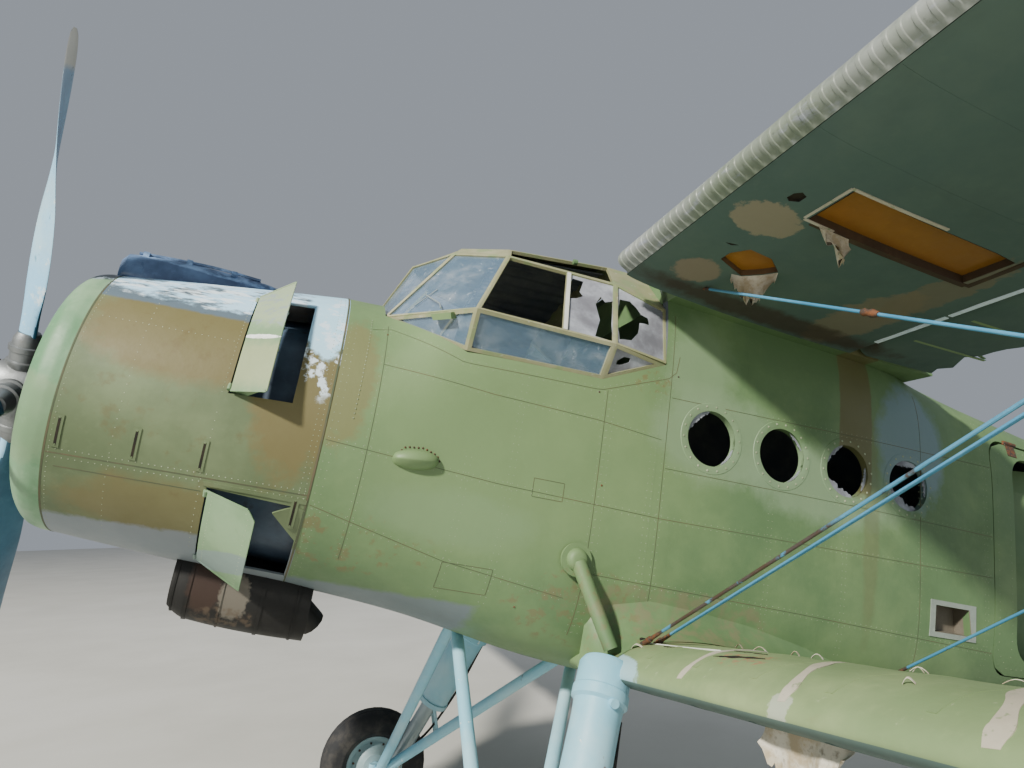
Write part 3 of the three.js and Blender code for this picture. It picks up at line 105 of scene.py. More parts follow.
# Cockpit sill: the line along which the glazing stands, as x and z
SILL = [(1.702, 0.705), (2.118, 0.533), (2.890, 0.556), (3.275, 0.732)]
# Cabin windows
WINDOW_XS = [3.614 + 0.494 * i for i in range(4)]
WINDOW_Z, WINDOW_RADIUS = 0.369, 0.160
# Cargo doorway: x and z limits and corner radius
DOORWAY = (5.850, 7.240, -0.700, 0.850, 0.150)
# Aerofoil as shares of the chord, columns: x, top, bottom
FOIL = np.array([[0, 0, 0], [0.015, 0.032, -0.018], [0.05, 0.06, -0.028], [0.13, 0.09, -0.034],
                 [0.3, 0.106, -0.036], [0.5, 0.094, -0.032], [0.72, 0.058, -0.022],
                 [0.86, 0.03, -0.012], [1, 0.003, -0.003]])
ROOT_Y = 0.9053
UPPER_WING = {"name": "upper", "x": 2.860, "z": 1.245, "incidence": 2.5, "dihedral": 3.0,
              "chord": 2.4, "span": 8.19, "thickness": 1.0, "hinge": 0.7575, "wall": 0.706,
              "last_y": 7.395}
LOWER_WING = {"name": "lower", "x": 3.030, "z": -0.930, "incidence": 1.0, "dihedral": 4.3,
              "chord": 2.0, "span": 6.232, "thickness": 0.95, "hinge": 0.815, "wall": 0.768,
              "last_y": 5.455}
# Moving surfaces of the wings, columns: wing, name, inner y, outer y
WING_SURFACES = [(UPPER_WING, "upper_flap", 0.020, 3.390), (UPPER_WING, "aileron", 3.420, 7.380),
                 (LOWER_WING, "lower_flap", 0.060, 5.440)]
# Rounded wing tip, columns: distance from the tip, chord share, thickness share
TIP = np.array([[0, 0.55, 0.25], [0.17, 0.82, 0.70], [0.42, 0.95, 0.92], [0.76, 1, 1]])
SLAT_Y = (0.025, 7.380)
RIB_PITCH = 0.36
# Cowl flaps, columns: name, hinge x, length of the opening, length of the flap, low z, high z,
# opening angle, share of the flap's length that is left at its high end
COWL_FLAPS = [("upper", 1.045, 0.290, 0.216, 0.066, 0.636, 40, 1.0),
              ("lower", 1.052, 0.442, 0.273, -0.705, -0.369, 29, 0.85)]
EXHAUST_FLAP_Z = -0.600
DOUBLE_DISTANCE = 1e-5  # points nearer than this are one point


# Frame and mesh tools

def to_row(points):
    """Level airframe points turned nose up and shifted into the frame of the solids."""
    return np.asarray(points, float) @ TURN.T + SHIFT


def linear(colour):
    """An sRGB hex colour such as "6b7f4a" as a linear RGBA value."""
    rgb = np.array([int(colour[i:i + 2], 16) for i in (0, 2, 4)]) / 255
    rgb = np.where(rgb <= 0.04045, rgb / 12.92, ((rgb + 0.055) / 1.055) ** 2.4)
    return (*rgb.tolist(), 1.0)


def placed(name, data):
    """A new object in the scene."""
    obj = bpy.data.objects.new(name, data)
    bpy.context.scene.collection.objects.link(obj)
    return obj


def unit(vectors):
    """Vectors divided by their lengths."""
    return vectors / np.linalg.norm(vectors, axis=-1, keepdims=True)


def between(start, end, shares):
    """Points at shares of the way from one point to another."""
    return start + (end - start) * np.asarray(shares, float)[:, None]


def circle(count):
    """Angles of equal steps round one turn."""
    return np.linspace(0, 2 * math.pi, count, endpoint=False)


def spokes(u, v, angles):
    """For each pair of square directions, the directions at some angles between them."""
    return (np.cos(angles)[None, :, None] * u[:, None]
            + np.sin(angles)[None, :, None] * v[:, None])


def hoop(x, y, z, radius, angles):
    """Points round a centre, in the plane across X, at some angles."""
    return np.stack([np.full(len(angles), x), y + radius * np.cos(angles),
                     z + radius * np.sin(angles)], -1)


def squared(wave, power):
    """A sine or cosine drawn outwards, so that a circle becomes a superellipse."""
    return np.sign(wave) * np.abs(wave) ** (2 / power)


def mirrored(profile):
    """A (radius, y) profile up to y = 0, carried on by its mirror image."""
    return [*profile, *[(r, -y) for r, y in profile[::-1] if y]]


def closed_sheet(outer, inner, flip=False):
    """The skin round two grids of the same size: over one, round the edge and back by the
    other."""
    return lofted(np.concatenate([outer, inner[:, ::-1]], axis=1), flip=flip)


def stacked(lines):
    """Points and normals of several lines, each as one array."""
    return tuple(np.vstack([line[k] for line in lines]) for k in (0, 1))


def smooth_rows(table, x):
    """Rows of a table at positions x, by a monotone cubic through each column."""
    table, x = np.asarray(table, float), np.atleast_1d(np.asarray(x, float))
    xs, ys = table[:, 0], table[:, 1:]
    step = np.diff(xs)[:, None]
    slope = np.diff(ys, axis=0) / step
    tangent = np.zeros_like(ys)
    tangent[0], tangent[-1] = slope[0], slope[-1]
    a, b = slope[:-1], slope[1:]
    same = a * b > 0
    tangent[1:-1] = np.where(same, 2 * a * b / np.where(same, a + b, 1), 0)
    i = np.clip(np.searchsorted(xs, x, side="right") - 1, 0, len(xs) - 2)
    h = step[i]
    t = ((x - xs[i])[:, None]) / h
    return ((2 * t**3 - 3 * t**2 + 1) * ys[i] + (t**3 - 2 * t**2 + t) * h * tangent[i]
            + (3 * t**2 - 2 * t**3) * ys[i + 1] + (t**3 - t**2) * h * tangent[i + 1])


def piece(name, shape, finish, node="", like="cabin_fuselage", angle=35, inside=None, fix=False):
    """A mesh object at the origin, in the row frame, from level (points, faces). It stands for a
    CAD node, or only rides with one; its finish goes in its first material slot. inside is (finish,
    face from which it starts), and fix merges doubled points and turns the faces outwards."""
    verts, faces = shape
    mesh = bpy.data.meshes.new(name)
    points = to_row(verts)
    if not np.isfinite(points).all():
        raise ValueError(name + " has a point that is no number")
    mesh.from_pydata(points.tolist(), [], [list(map(int, face)) for face in faces])
    mesh.materials.append(finish_of(finish))
    if inside:
        mesh.materials.append(finish_of(inside[0]))
        share = np.zeros(len(mesh.polygons), np.int32)
        share[inside[1]:] = 1
        mesh.polygons.foreach_set("material_index", share)
    obj = placed(name, mesh)
    shade(mesh, angle)
    if fix:
        bm_fix(mesh)
    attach(obj, body_of(node or like))
    if node:
        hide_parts(node)
    return obj


def body_of(node):
    """The body that a CAD node moves with."""
    return frame["nodes"][node]["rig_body"]


def shade(mesh, angle):
    """Smooth shading, kept sharp at edges that turn by more than an angle in degrees."""
    mesh.validate()
    mesh.update()
    mesh.shade_smooth()
    mesh.set_sharp_from_angle(angle=math.radians(angle))


def second_finish(obj, finish, axis, sign=1, least=0.3):
    """Gives a second finish to the faces that look one way along an axis of the level frame."""
    obj.data.materials.append(finish_of(finish))
    normals = np.zeros(len(obj.data.polygons) * 3)
    obj.data.polygons.foreach_get("normal", normals)
    facing = (normals.reshape(-1, 3) @ TURN)[:, axis] * sign > least
    obj.data.polygons.foreach_set("material_index", facing.astype(np.int32))


def quads(rows, columns, start=0, wrap=False, flip=False):
    """Quads of a grid of points stored row by row; wrap joins the last column to the first."""
    index = np.arange(rows * columns).reshape(rows, columns) + start
    if wrap:
        index = np.hstack([index, index[:, :1]])
    a, b, c, d = index[:-1, :-1], index[:-1, 1:], index[1:, 1:], index[1:, :-1]
    faces = np.stack([a, b, c, d], axis=-1).reshape(-1, 4)
    return faces[:, ::-1] if flip else faces


def lofted(rings, flip=False):
    """Skin over equal rings of points, shape (rings, points, 3), capped at both ends."""
    rings = np.asarray(rings, float)
    n, m = rings.shape[:2]
    faces = [list(f) for f in quads(n, m, wrap=True, flip=flip)]
    first, last = list(range(m)), list(range((n - 1) * m, n * m))
    faces += [first if flip else first[::-1], last[::-1] if flip else last]
    return rings.reshape(-1, 3), faces


def looped(rings):
    """Skin over equal rings of points, the last joined to the first."""
    rings = np.asarray(rings, float)
    n, m = rings.shape[:2]
    return rings.reshape(-1, 3), (quads(n + 1, m, wrap=True) % (n * m)).tolist()


def two_sided(outer, inner, rows, columns):
    """A grid of points and its inner copy, joined by a rim round their edges."""
    n = rows * columns
    edge = np.concatenate([np.arange(columns), np.arange(1, rows) * columns + columns - 1,
                           (n - 2) - np.arange(columns - 1), np.arange(rows - 2, 0, -1) * columns])
    after = np.roll(edge, -1)
    rim_faces = np.stack([after, edge, edge + n, after + n], -1)
    faces = np.vstack([quads(rows, columns), quads(rows, columns, start=n, flip=True), rim_faces])
    return np.vstack([outer, inner]), faces.tolist()


def tube(path, radius, sides=10):
    """A round bar along a path: circles of a radius in planes square to the path's direction."""
    path = np.asarray(path, float)
    radii = np.broadcast_to(np.asarray(radius, float), len(path))
    ahead = unit(np.gradient(path, axis=0))
    guide = [0.06, 0.04, 1] if abs(ahead[:, 2]).mean() < 0.9 else [1, 0.06, 0.04]
    side = unit(np.cross(ahead, guide))
    up = np.cross(side, ahead)
    return lofted(path[:, None] + radii[:, None, None] * spokes(side, up, circle(sides)))


def joined(*parts):
    """Several (points, faces) pairs as one."""
    verts, faces, start = [], [], 0
    for points, part_faces in parts:
        verts.append(np.asarray(points, float))
        faces += [[int(i) + start for i in face] for face in part_faces]
        start += len(points)
    return np.vstack(verts), faces


def slab(outline, offset):
    """A flat outline of points carried along one offset vector and closed at both ends."""
    outline = np.asarray(outline, float)
    return lofted([outline, outline + np.asarray(offset, float)])


def carve(obj, *tools, angle=35):
    """Cuts (points, faces) bodies, in the level frame, out of a piece and keeps the result."""
    bm_fix(obj.data, split=True)
    for points, faces in tools:
        mesh = bpy.data.meshes.new("tool")
        mesh.from_pydata(to_row(points).tolist(), [], [list(map(int, face)) for face in faces])
        bm_fix(mesh, split=True)
        tool = placed("tool", mesh)
        cut = obj.modifiers.new("cut", "BOOLEAN")
        cut.operation, cut.solver, cut.object = "DIFFERENCE", "EXACT", tool
        result = bpy.data.meshes.new_from_object(obj.evaluated_get(
            bpy.context.evaluated_depsgraph_get()))
        obj.modifiers.clear()
        obj.data = result
        bpy.data.objects.remove(tool)
    shade(obj.data, angle)


def bm_fix(mesh, split=False):
    """Merges doubles, turns every face outwards, and splits faces to triangles if asked."""
    bm = bmesh.new()
    bm.from_mesh(mesh)
    bmesh.ops.remove_doubles(bm, verts=bm.verts, dist=DOUBLE_DISTANCE)
    bmesh.ops.recalc_face_normals(bm, faces=bm.faces)
    if split:
        bmesh.ops.triangulate(bm, faces=bm.faces)
    bm.to_mesh(mesh)
    bm.free()


# Surfaces of the airframe

def ring_points(rows, x, inset, angles):
    """Superellipse rings: half width, top, bottom and squareness give each ring's outline."""
    half, top, bottom, power = (rows[:, i, None] for i in range(4))
    c, s = np.cos(angles)[None], np.sin(angles)[None]
    y = (half - inset) * squared(c, power)
    z = (top + bottom) / 2 + ((top - bottom) / 2 - inset) * squared(s, power)
    return np.stack([np.broadcast_to(np.asarray(x)[:, None], y.shape), y, z], axis=-1)


def skin_shell(table, x0, x1, wall, stations, points=144):
    """A closed shell between two frames: an outer skin, an inner one and flat rims. Its inner
    faces come last, and the count of the outer ones is given with it."""
    x = np.linspace(x0, x1, stations)
    rows = smooth_rows(table, x)
    angles = circle(points)
    outer = ring_points(rows, x, 0, angles)
    inner = ring_points(rows, x, wall, angles)[::-1]
    return looped(np.concatenate([outer, inner])), stations * points


def half_width(table, x, z):
    """Half width of a superellipse skin at a place along and up."""
    half, top, bottom, power = smooth_rows(table, x).T
    share = np.clip(np.abs((z - (top + bottom) / 2) / ((top - bottom) / 2)), 0, 0.9999)
    return half * (1 - share ** power) ** (1 / power)


def on_skin(table, x, z, side=-1):
    """Points on one side of a skin at x and z, and the skin's normals from its slopes there."""
    x, z = (np.atleast_1d(a) for a in np.broadcast_arrays(np.asarray(x, float), z))
    step = 0.004
    y = half_width(table, x, z)
    dx = (half_width(table, x + step, z) - half_width(table, x - step, z)) / (2 * step)
    dz = (half_width(table, x, z + step) - half_width(table, x, z - step)) / (2 * step)
    normal = np.stack([-dx, np.full_like(y, side), -dz], axis=-1)
    return np.stack([x, side * y, z], axis=-1), unit(normal)


def round_skin(table, x, low=-90.0, high=270.0, count=120):
    """Points round a skin at one x between two angles in degrees, and the normals across them."""
    angles = np.radians(np.linspace(low, high, count))
    points = ring_points(smooth_rows(table, [x]), [x], 0, angles)[0]
    along = np.gradient(points, axis=0)
    normal = np.cross(along, [1, 0, 0])
    normal *= np.sign((normal * (points - [x, 0, points[:, 2].mean()])).sum(1).mean())
    return points, unit(normal)


def line_on(table, places, side=-1, count=80):
    """A line on a skin through (x, z) places, with its normals."""
    places = np.asarray(places, float)
    t = np.linspace(0, len(places) - 1, count)
    index = np.arange(len(places))
    x, z = (np.interp(t, index, places[:, k]) for k in (0, 1))
    return on_skin(table, x, z, side)


def spaced(line, pitch, shift=0.0):
    """Places one pitch apart along a line and its normals, moved sideways by a shift."""
    points, normals = line
    run = np.concatenate([[0], np.cumsum(np.linalg.norm(np.diff(points, axis=0), axis=1))])
    where = np.arange(pitch / 2, run[-1], pitch)
    spread = [np.stack([np.interp(where, run, a[:, k]) for k in range(3)], -1)
              for a in (points, normals)]
    if shift:
        ahead = np.gradient(spread[0], axis=0) if len(where) > 1 else spread[0] * 0 + [1, 0, 0]
        side = np.cross(spread[1], ahead)
        side /= np.linalg.norm(side, axis=1, keepdims=True) + 1e-9
        spread[0] = spread[0] + side * shift
    return spread


def strip(line, width, top=0.0008, bottom=-0.003):
    """A flat band along a line: its four corners stand to either side and above and below it."""
    points, normals = line
    side = unit(np.cross(normals, np.gradient(points, axis=0)))
    width = np.broadcast_to(width, len(points))[:, None] / 2
    return lofted(np.stack([points + side * width + normals * top,
                            points - side * width + normals * top,
                            points - side * width + normals * bottom,
                            points + side * width + normals * bottom], axis=1), flip=True)


def domes(places, normals, radius=0.004, height=0.0022, sides=6):
    """Rivet heads: rings of points round each place, closed by a raised point and a base."""
    places, normals = np.asarray(places, float), np.asarray(normals, float)
    guide = np.where(np.abs(normals[:, :1]) < 0.8, [[1.0, 0, 0]], [[0, 0, 1.0]])
    u = unit(np.cross(normals, guide))
    v = np.cross(normals, u)
    ring = places[:, None] + radius * spokes(u, v, circle(sides)) - normals[:, None] * 0.001
    tops = (places + normals * height)[:, None]
    verts = np.concatenate([ring, tops], axis=1).reshape(-1, 3)
    base = np.arange(len(places))[:, None, None] * (sides + 1)
    i = np.arange(sides)
    fans = base + np.stack([i, (i + 1) % sides, np.full(sides, sides)], -1)[None]
    bases = (base[:, 0] + i[::-1][None]).tolist()
    return verts, fans.reshape(-1, 3).tolist() + bases


def foil(shares):
    """Top and bottom of the aerofoil, by a cubic over the square root of the chord share."""
    table = FOIL.copy()
    table[:, 0] = np.sqrt(table[:, 0])
    rows = smooth_rows(table, np.sqrt(np.asarray(shares, float)))
    return rows[:, 0], rows[:, 1]


def wing_place(wing, side):
    """Rotation and position of a wing's own frame in the level frame."""
    d, i = side * math.radians(wing["dihedral"]), math.radians(wing["incidence"])
    rx = np.array([[1, 0, 0], [0, math.cos(d), -math.sin(d)], [0, math.sin(d), math.cos(d)]])
    ry = np.array([[math.cos(i), 0, math.sin(i)], [0, 1, 0], [-math.sin(i), 0, math.cos(i)]])
    return rx @ ry, np.array([wing["x"], side * ROOT_Y, wing["z"]])


def on_wing(wing, side, points):
    """Points in a wing's own frame (x aft, y outboard, z up) as level airframe points."""
    points = np.asarray(points, float) * np.array([1, side, 1])
    turn, place = wing_place(wing, side)
    return points @ turn.T + place


def wing_grid(wing, ys, shares, surface):
    """Points of the wing's skin at span stations ys and chord shares. surface is 1 on top and
    -1 below, or one of these for each share. Near the tip the chord and the thickness shrink."""
    ys, shares = np.atleast_1d(np.asarray(ys, float)), np.atleast_1d(np.asarray(shares, float))
    tip = smooth_rows(TIP, np.clip(wing["span"] - ys, 0, TIP[-1, 0]))
    top, bottom = foil(np.clip(shares, 0, 1))
    height = np.where(np.broadcast_to(surface, shares.shape) > 0, top, bottom)
    chord = wing["chord"]
    x = (1 - tip[:, :1]) * 0.42 * chord + shares[None] * chord * tip[:, :1]
    z = height[None] * wing["thickness"] * chord * tip[:, 1:]
    lean = math.tan(math.radians(wing["dihedral"])) * np.clip(1 - ys / 0.2, 0, 1)[:, None]
    y = ys[:, None] + z * lean
    return np.stack(np.broadcast_arrays(x, y, z), axis=-1)


def wing_points(wing, side, ys, shares, surface, lift=0.0):
    """Level points of the wing's skin at pairs of station and share, moved up by a lift."""
    pick = np.arange(len(ys))
    points = wing_grid(wing, ys, shares, surface)[pick, pick]
    return on_wing(wing, side, points + [0, 0, lift])


def wing_line(wing, side, ys, shares, surface):
    """A line on the wing's skin through equal numbers of stations and shares, with its normals."""
    count = 60
    t, index = np.linspace(0, 1, count), np.linspace(0, 1, len(ys))
    y, s = np.interp(t, index, ys), np.interp(t, index, shares)

    def places(dy, ds):
        """The line's points, moved along the span and the chord."""
        return wing_points(wing, side, y + dy, np.clip(s + ds, 0, 1), surface)

    here = places(0, 0)
    normal = np.cross(places(0, 0.002) - places(0, -0.002), places(0.01, 0) - places(-0.01, 0))
    normal *= side * surface / np.linalg.norm(normal, axis=1, keepdims=True)
    return here, normal


def ellipse_prism(x, z, radius, y0, y1, sides=48):
    """A round prism along Y."""
    a = circle(sides)
    ring = np.stack([x + radius * np.cos(a), np.full(sides, y0), z + radius * np.sin(a)], -1)
    return slab(ring, (0, y1 - y0, 0))


def rounded_outline(x0, x1, z0, z1, radius, y, steps=6):
    """A rectangle with round corners, in a plane across Y."""
    a = np.radians(np.linspace(0, 90, steps + 1))
    corners = [(x1 - radius, z0 + radius, -90), (x1 - radius, z1 - radius, 0),
               (x0 + radius, z1 - radius, 90), (x0 + radius, z0 + radius, 180)]
    parts = [np.stack([cx + radius * np.cos(a + math.radians(start)), np.full_like(a, y),
                       cz + radius * np.sin(a + math.radians(start))], -1)
             for cx, cz, start in corners]
    return np.vstack(parts)


# Materials

def add(tree, kind, links=None, **settings):
    """Adds one shader node. settings are its properties, links its inputs as values or sockets."""
    node = tree.nodes.new("ShaderNode" + kind)
    for key, value in settings.items():
        setattr(node, key, value)
    for key, value in (links or {}).items():
        if isinstance(value, bpy.types.NodeSocket):
            tree.links.new(value, node.inputs[key])
        else:
            node.inputs[key].default_value = value
    return node


def airframe_coords(tree):
    """Object coordinates turned back into the level airframe frame."""
    offset = -(SHIFT @ TURN)
    return add(tree, "Mapping", {
        "Vector": add(tree, "TexCoord").outputs["Object"], "Location": offset.tolist(),
        "Rotation": (0, -PARK_ANGLE, 0)}).outputs[0]


def clouds(tree, where, size, low, high, seed=0.0, detail=5.0, stretch=(1, 1, 1)):
    """Mask of cloudy patches of about one size in metres: noise between two thresholds."""
    scaled = add(tree, "VectorMath", {0: where, 1: stretch}, operation="MULTIPLY").outputs[0]
    noise = add(tree, "TexNoise", {"Vector": scaled, "Scale": 1 / size, "Detail": detail,
                                   "Roughness": 0.62, "W": seed}, noise_dimensions="4D")
    return add(tree, "MapRange", {0: noise.outputs[0], 1: low, 2: high},
               interpolation_type="SMOOTHSTEP").outputs[0]


def patch(tree, where, centre, reach, ragged=0.35, grain=0.12, soft=0.15, square=False):
    """Mask of one ragged patch: the distance from a centre, over its reach, disturbed by noise."""
    offset = add(tree, "VectorMath", {0: where, 1: centre}, operation="SUBTRACT").outputs[0]
    share = add(tree, "VectorMath", {0: offset, 1: [1 / r for r in reach]},
                operation="MULTIPLY").outputs[0]
    if square:
        sizes = add(tree, "SeparateXYZ", {0: add(tree, "VectorMath", {0: share},
                                                 operation="ABSOLUTE").outputs[0]})
        most = add(tree, "Math", {0: sizes.outputs[0], 1: sizes.outputs[1]}, operation="MAXIMUM")
        distance = add(tree, "Math", {0: most.outputs[0], 1: sizes.outputs[2]},
                       operation="MAXIMUM").outputs[0]
    else:
        distance = add(tree, "VectorMath", {0: share}, operation="LENGTH").outputs["Value"]
    noise = add(tree, "TexNoise", {"Vector": where, "Scale": 1 / grain, "Detail": 6.0,
                                   "Roughness": 0.65, "W": 0.0}, noise_dimensions="4D")
    ragged_distance = add(tree, "Math", {0: noise.outputs[0], 1: -2 * ragged, 2: distance},
                          operation="MULTIPLY_ADD").outputs[0]
    return add(tree, "MapRange", {0: ragged_distance, 1: 1 - ragged + soft / 2,
                                  2: 1 - ragged - soft / 2}).outputs[0]


def times(tree, *masks):
    """Product of masks or numbers."""
    product = masks[0]
    for mask in masks[1:]:
        product = add(tree, "Math", {0: product, 1: mask}, operation="MULTIPLY").outputs[0]
    return product


def colour_of(colour):
    """A linear RGBA value from a hex text or from a colour already linear."""
    return linear(colour) if isinstance(colour, str) else (*tuple(colour)[:3], 1.0)


def coat(tree, below, colour, mask):
    """A colour laid over another where a mask is 1."""
    return add(tree, "Mix", {0: mask, 6: below, 7: colour_of(colour)}, data_type="RGBA").outputs[2]


def solid_colour(tree, colour):
    """An RGBA socket of one colour, to lay coats over."""
    return coat(tree, colour_of(colour), colour, 0.0)


def new_material(name):
    """An empty material: its tree, its Principled shader and the airframe coordinates."""
    material = bpy.data.materials.new(name)
    material.use_nodes = True
    tree = material.node_tree
    tree.nodes.clear()
    shader = add(tree, "BsdfPrincipled")
    add(tree, "OutputMaterial", {"Surface": shader.outputs[0]})
    return material, tree, shader, airframe_coords(tree)


def finish_material(tree, shader, where, colour, roughness, bump_height=0.0, bump_size=0.02,
                    metallic=0.0):
    """Joins colour, roughness and a fine bump to the shader."""
    for name, value in (("Base Color", colour), ("Roughness", roughness), ("Metallic", metallic)):
        if isinstance(value, bpy.types.NodeSocket):
            tree.links.new(value, shader.inputs[name])
        else:
            shader.inputs[name].default_value = value
    if bump_height:
        grain = add(tree, "TexNoise", {"Vector": where, "Scale": 1 / bump_size, "Detail": 5.0})
        bump = add(tree, "Bump", {"Strength": 1.0, "Distance": bump_height,
                                  "Height": grain.outputs[0]})
        tree.links.new(bump.outputs[0], shader.inputs["Normal"])


def coated(name, base, coats, roughness, bump_height=0.0, bump_size=0.02, metallic=0.0):
    """A material of one colour with coats, each (colour, mask function), laid over it in turn."""
    material, tree, shader, where = new_material(name)
    colour = solid_colour(tree, base)
    for coat_colour, make_mask in coats:
        colour = coat(tree, colour, coat_colour, make_mask(tree, where))
    finish_material(tree, shader, where, colour, roughness, bump_height, bump_size, metallic)
    return material


def worn_paint(name, base, pale, dark, extras=(), roughness=0.55, streaks=0.35, grime=0.4,
               dents=0.0, chalk=0.75, metallic=0.0):
    """Sprayed paint on sheet metal, years outdoors: chalky clouds, darker oily clouds, streaks
    that run down, and fine speckle. extras are (colour, mask function) coats laid on top. dents
    is the depth in metres of the shallow dents between the frames."""
    material, tree, shader, where = new_material(name)
    colour = solid_colour(tree, base)
    colour = coat(tree, colour, pale, times(tree, clouds(tree, where, 0.7, 0.42, 0.7, 1.0), chalk))
    colour = coat(tree, colour, dark, times(tree, clouds(tree, where, 0.45, 0.5, 0.8, 2.0), grime))
    colour = coat(tree, colour, pale, times(tree, clouds(tree, where, 0.05, 0.52, 0.8, 3.0), 0.3))
    colour = coat(tree, colour, dark, times(tree, clouds(
        tree, where, 0.05, 0.55, 0.85, 4.0, stretch=(1, 1, 0.12)), streaks))
    gloss = add(tree, "MapRange", {0: clouds(tree, where, 0.3, 0.3, 0.75, 5.0),
                                   3: roughness - 0.1, 4: roughness + 0.15}).outputs[0]
    for extra_colour, make_mask in extras:
        colour = coat(tree, colour, extra_colour, make_mask(tree, where))
    finish_material(tree, shader, where, colour, gloss, 0.0008, 0.03, metallic=metallic)
    if dents:
        fine = shader.inputs["Normal"].links[0].from_node
        wave = add(tree, "TexNoise", {"Vector": where, "Scale": 1 / 0.35, "Detail": 1.5})
        waves = add(tree, "Bump", {"Strength": 1.0, "Distance": dents, "Height": wave.outputs[0]})
        tree.links.new(waves.outputs[0], fine.inputs["Normal"])
    return material


def patch_coat(colour, centre, reach, strength=1.0, **shape):
    """An extra coat for worn_paint: one ragged patch of a colour."""
    return colour, lambda tree, where: times(
        tree, patch(tree, where, centre, reach, **shape), strength)


def cloud_coat(colour, size, low, high, strength=1.0, **shape):
    """An extra coat for worn_paint: clouds of a colour all over."""
    return colour, lambda tree, where: times(
        tree, clouds(tree, where, size, low, high, **shape), strength)


def worn_patch_coat(colour, centre, reach, size, low, high, strength=1.0, stretch=(1, 1, 1),
                    **shape):
    """An extra coat for worn_paint: clouds of a colour, kept to one ragged patch."""
    return colour, lambda tree, where: times(
        tree, patch(tree, where, centre, reach, **shape),
        clouds(tree, where, size, low, high, 11.0, stretch=stretch), strength)


MATERIALS = {}


def finish_of(name):
    """The named finish, made once."""
    if name not in MATERIALS:
        MATERIALS[name] = FINISHES[name]()
    return MATERIALS[name]


def paints():
    """The paint colours of the sidebar."""
    return bpy.context.scene.biplane_paints


def olive_paint():
    """Olive enamel sprayed on riveted sheet, chalked, dusty and patched with other greens."""
    return worn_paint("olive_enamel", paints().fuselage, "768f60", "455e3c", dents=0.008, extras=[
        patch_coat("7a9162", (2.5, 0, 0.2), (1.1, 9, 0.8), 0.6, ragged=0.5, grain=0.5, soft=0.7),
        cloud_coat("666742", 0.16, 0.66, 0.82, 0.3, seed=7.0),
        patch_coat("7e9574", (3.66, 0, 0.38), (0.42, 9, 0.27), 0.7, ragged=0.4, soft=0.4),
        patch_coat("7f9677", (4.45, 0, 0.24), (0.62, 9, 0.22), 0.7, ragged=0.5, soft=0.4),
        patch_coat("7d9473", (3.5, 0, 0.75), (0.22, 9, 0.30), 0.6, ragged=0.5, soft=0.5),
        patch_coat("64603e", (4.66, 0, 0.86), (0.13, 9, 0.62), 0.9, ragged=0.12, soft=0.1,
                   square=True),
        patch_coat("696a47", (4.80, 0, 0.05), (0.06, 9, 0.62), 0.4, ragged=0.4, soft=0.4),
        # Grey-blue patch above the fourth window: partly paint, partly the blue of shade painted in
        patch_coat("6f8691", (5.12, 0, 0.62), (0.27, 9, 0.40), 0.8, ragged=0.4, soft=0.3),
        patch_coat("747149", (1.56, 0, 0.26), (0.14, 9, 0.34), 0.75, ragged=0.6, grain=0.07,
                   soft=0.3),
        worn_patch_coat("74623e", (3.20, 0, 0.60), (0.12, 9, 0.08), 0.05, 0.5, 0.62, 0.6),
        worn_patch_coat("716140", (1.75, 0, -0.52), (0.42, 9, 0.14), 0.06, 0.52, 0.64, 0.6),
        worn_patch_coat("74674a", (2.95, 0, -0.66), (0.42, 9, 0.20), 0.06, 0.52, 0.64, 0.6),
        patch_coat("768f6a", (2.20, 0, -0.32), (0.42, 9, 0.13), 0.45, ragged=0.5, soft=0.5),
        patch_coat("6c7680", (1.93, 0, -0.92), (0.50, 9, 0.19), 0.85, ragged=0.12, grain=0.08,
                   soft=0.10, square=True),
        worn_patch_coat("787559", (3.5, 0, -0.62), (0.62, 9, 0.13), 0.08, 0.42, 0.6, 0.7),
        cloud_coat("3d3727", 0.03, 0.74, 0.80, 0.7, seed=13.0),
    ])


def cowl_paint():
    """Olive enamel on the cowl panels, worn through to brown primer and to bare sheet; the pale sky
    blue and near white along the top and on the bare panel behind the upper flap is a painted sky
    reflection.
    """
    return worn_paint("worn_cowl_enamel", paints().cowl, "768561", "445138", dents=0.004, extras=[
        patch_coat("6e653f", (0.82, 0, 0.34), (0.50, 9, 0.26), 0.9, ragged=0.4, grain=0.16,
                   soft=0.3),
        patch_coat("6e623b", (1.36, 0, 0.14), (0.20, 9, 0.42), 0.8, ragged=0.6, soft=0.3),
        patch_coat("6e643c", (0.85, 0, -0.50), (0.42, 9, 0.13), 0.7, ragged=0.6, soft=0.5),
        worn_patch_coat("61512e", (0.80, 0, 0.05), (0.5, 9, 0.5), 0.08, 0.55, 0.7, 0.4),
        patch_coat("586a78", (0.75, 0, 0.68), (0.64, 9, 0.225), 0.95, ragged=0.06, grain=0.05,
                   soft=0.06, square=True),
        # Pale sky-blue and near-white streaks along the top: painted sky reflection
        worn_patch_coat("b8e0fa", (0.80, 0, 0.70), (0.62, 9, 0.20), 0.10, 0.38, 0.52, 1.0,
                        stretch=(0.55, 1, 1.8)),
        worn_patch_coat("e6f6ff", (0.80, 0, 0.63), (0.62, 9, 0.14), 0.06, 0.50, 0.60, 0.9,
                        stretch=(0.5, 1, 2.2)),
        worn_patch_coat("39474f", (0.85, 0, 0.63), (0.66, 9, 0.17), 0.07, 0.56, 0.66, 0.75,
                        stretch=(0.5, 1, 2.0)),
        # Bare panel behind the upper flap, painted pale sky blue and whitish: bare sheet with a
        # painted sky reflection
        patch_coat("b4e2fa", (1.43, 0, 0.60), (0.14, 9, 0.26), 0.95, ragged=0.35, grain=0.06),
        worn_patch_coat("dceefa", (1.43, 0, 0.44), (0.13, 9, 0.32), 0.07, 0.50, 0.58, 0.85),
        patch_coat("7c858f", (0.80, 0, -0.79), (0.88, 9, 0.20), 0.85, ragged=0.10, grain=0.06,
                   soft=0.08, square=True),
        cloud_coat("30261a", 0.025, 0.72, 0.78, 0.8, seed=17.0),
    ])


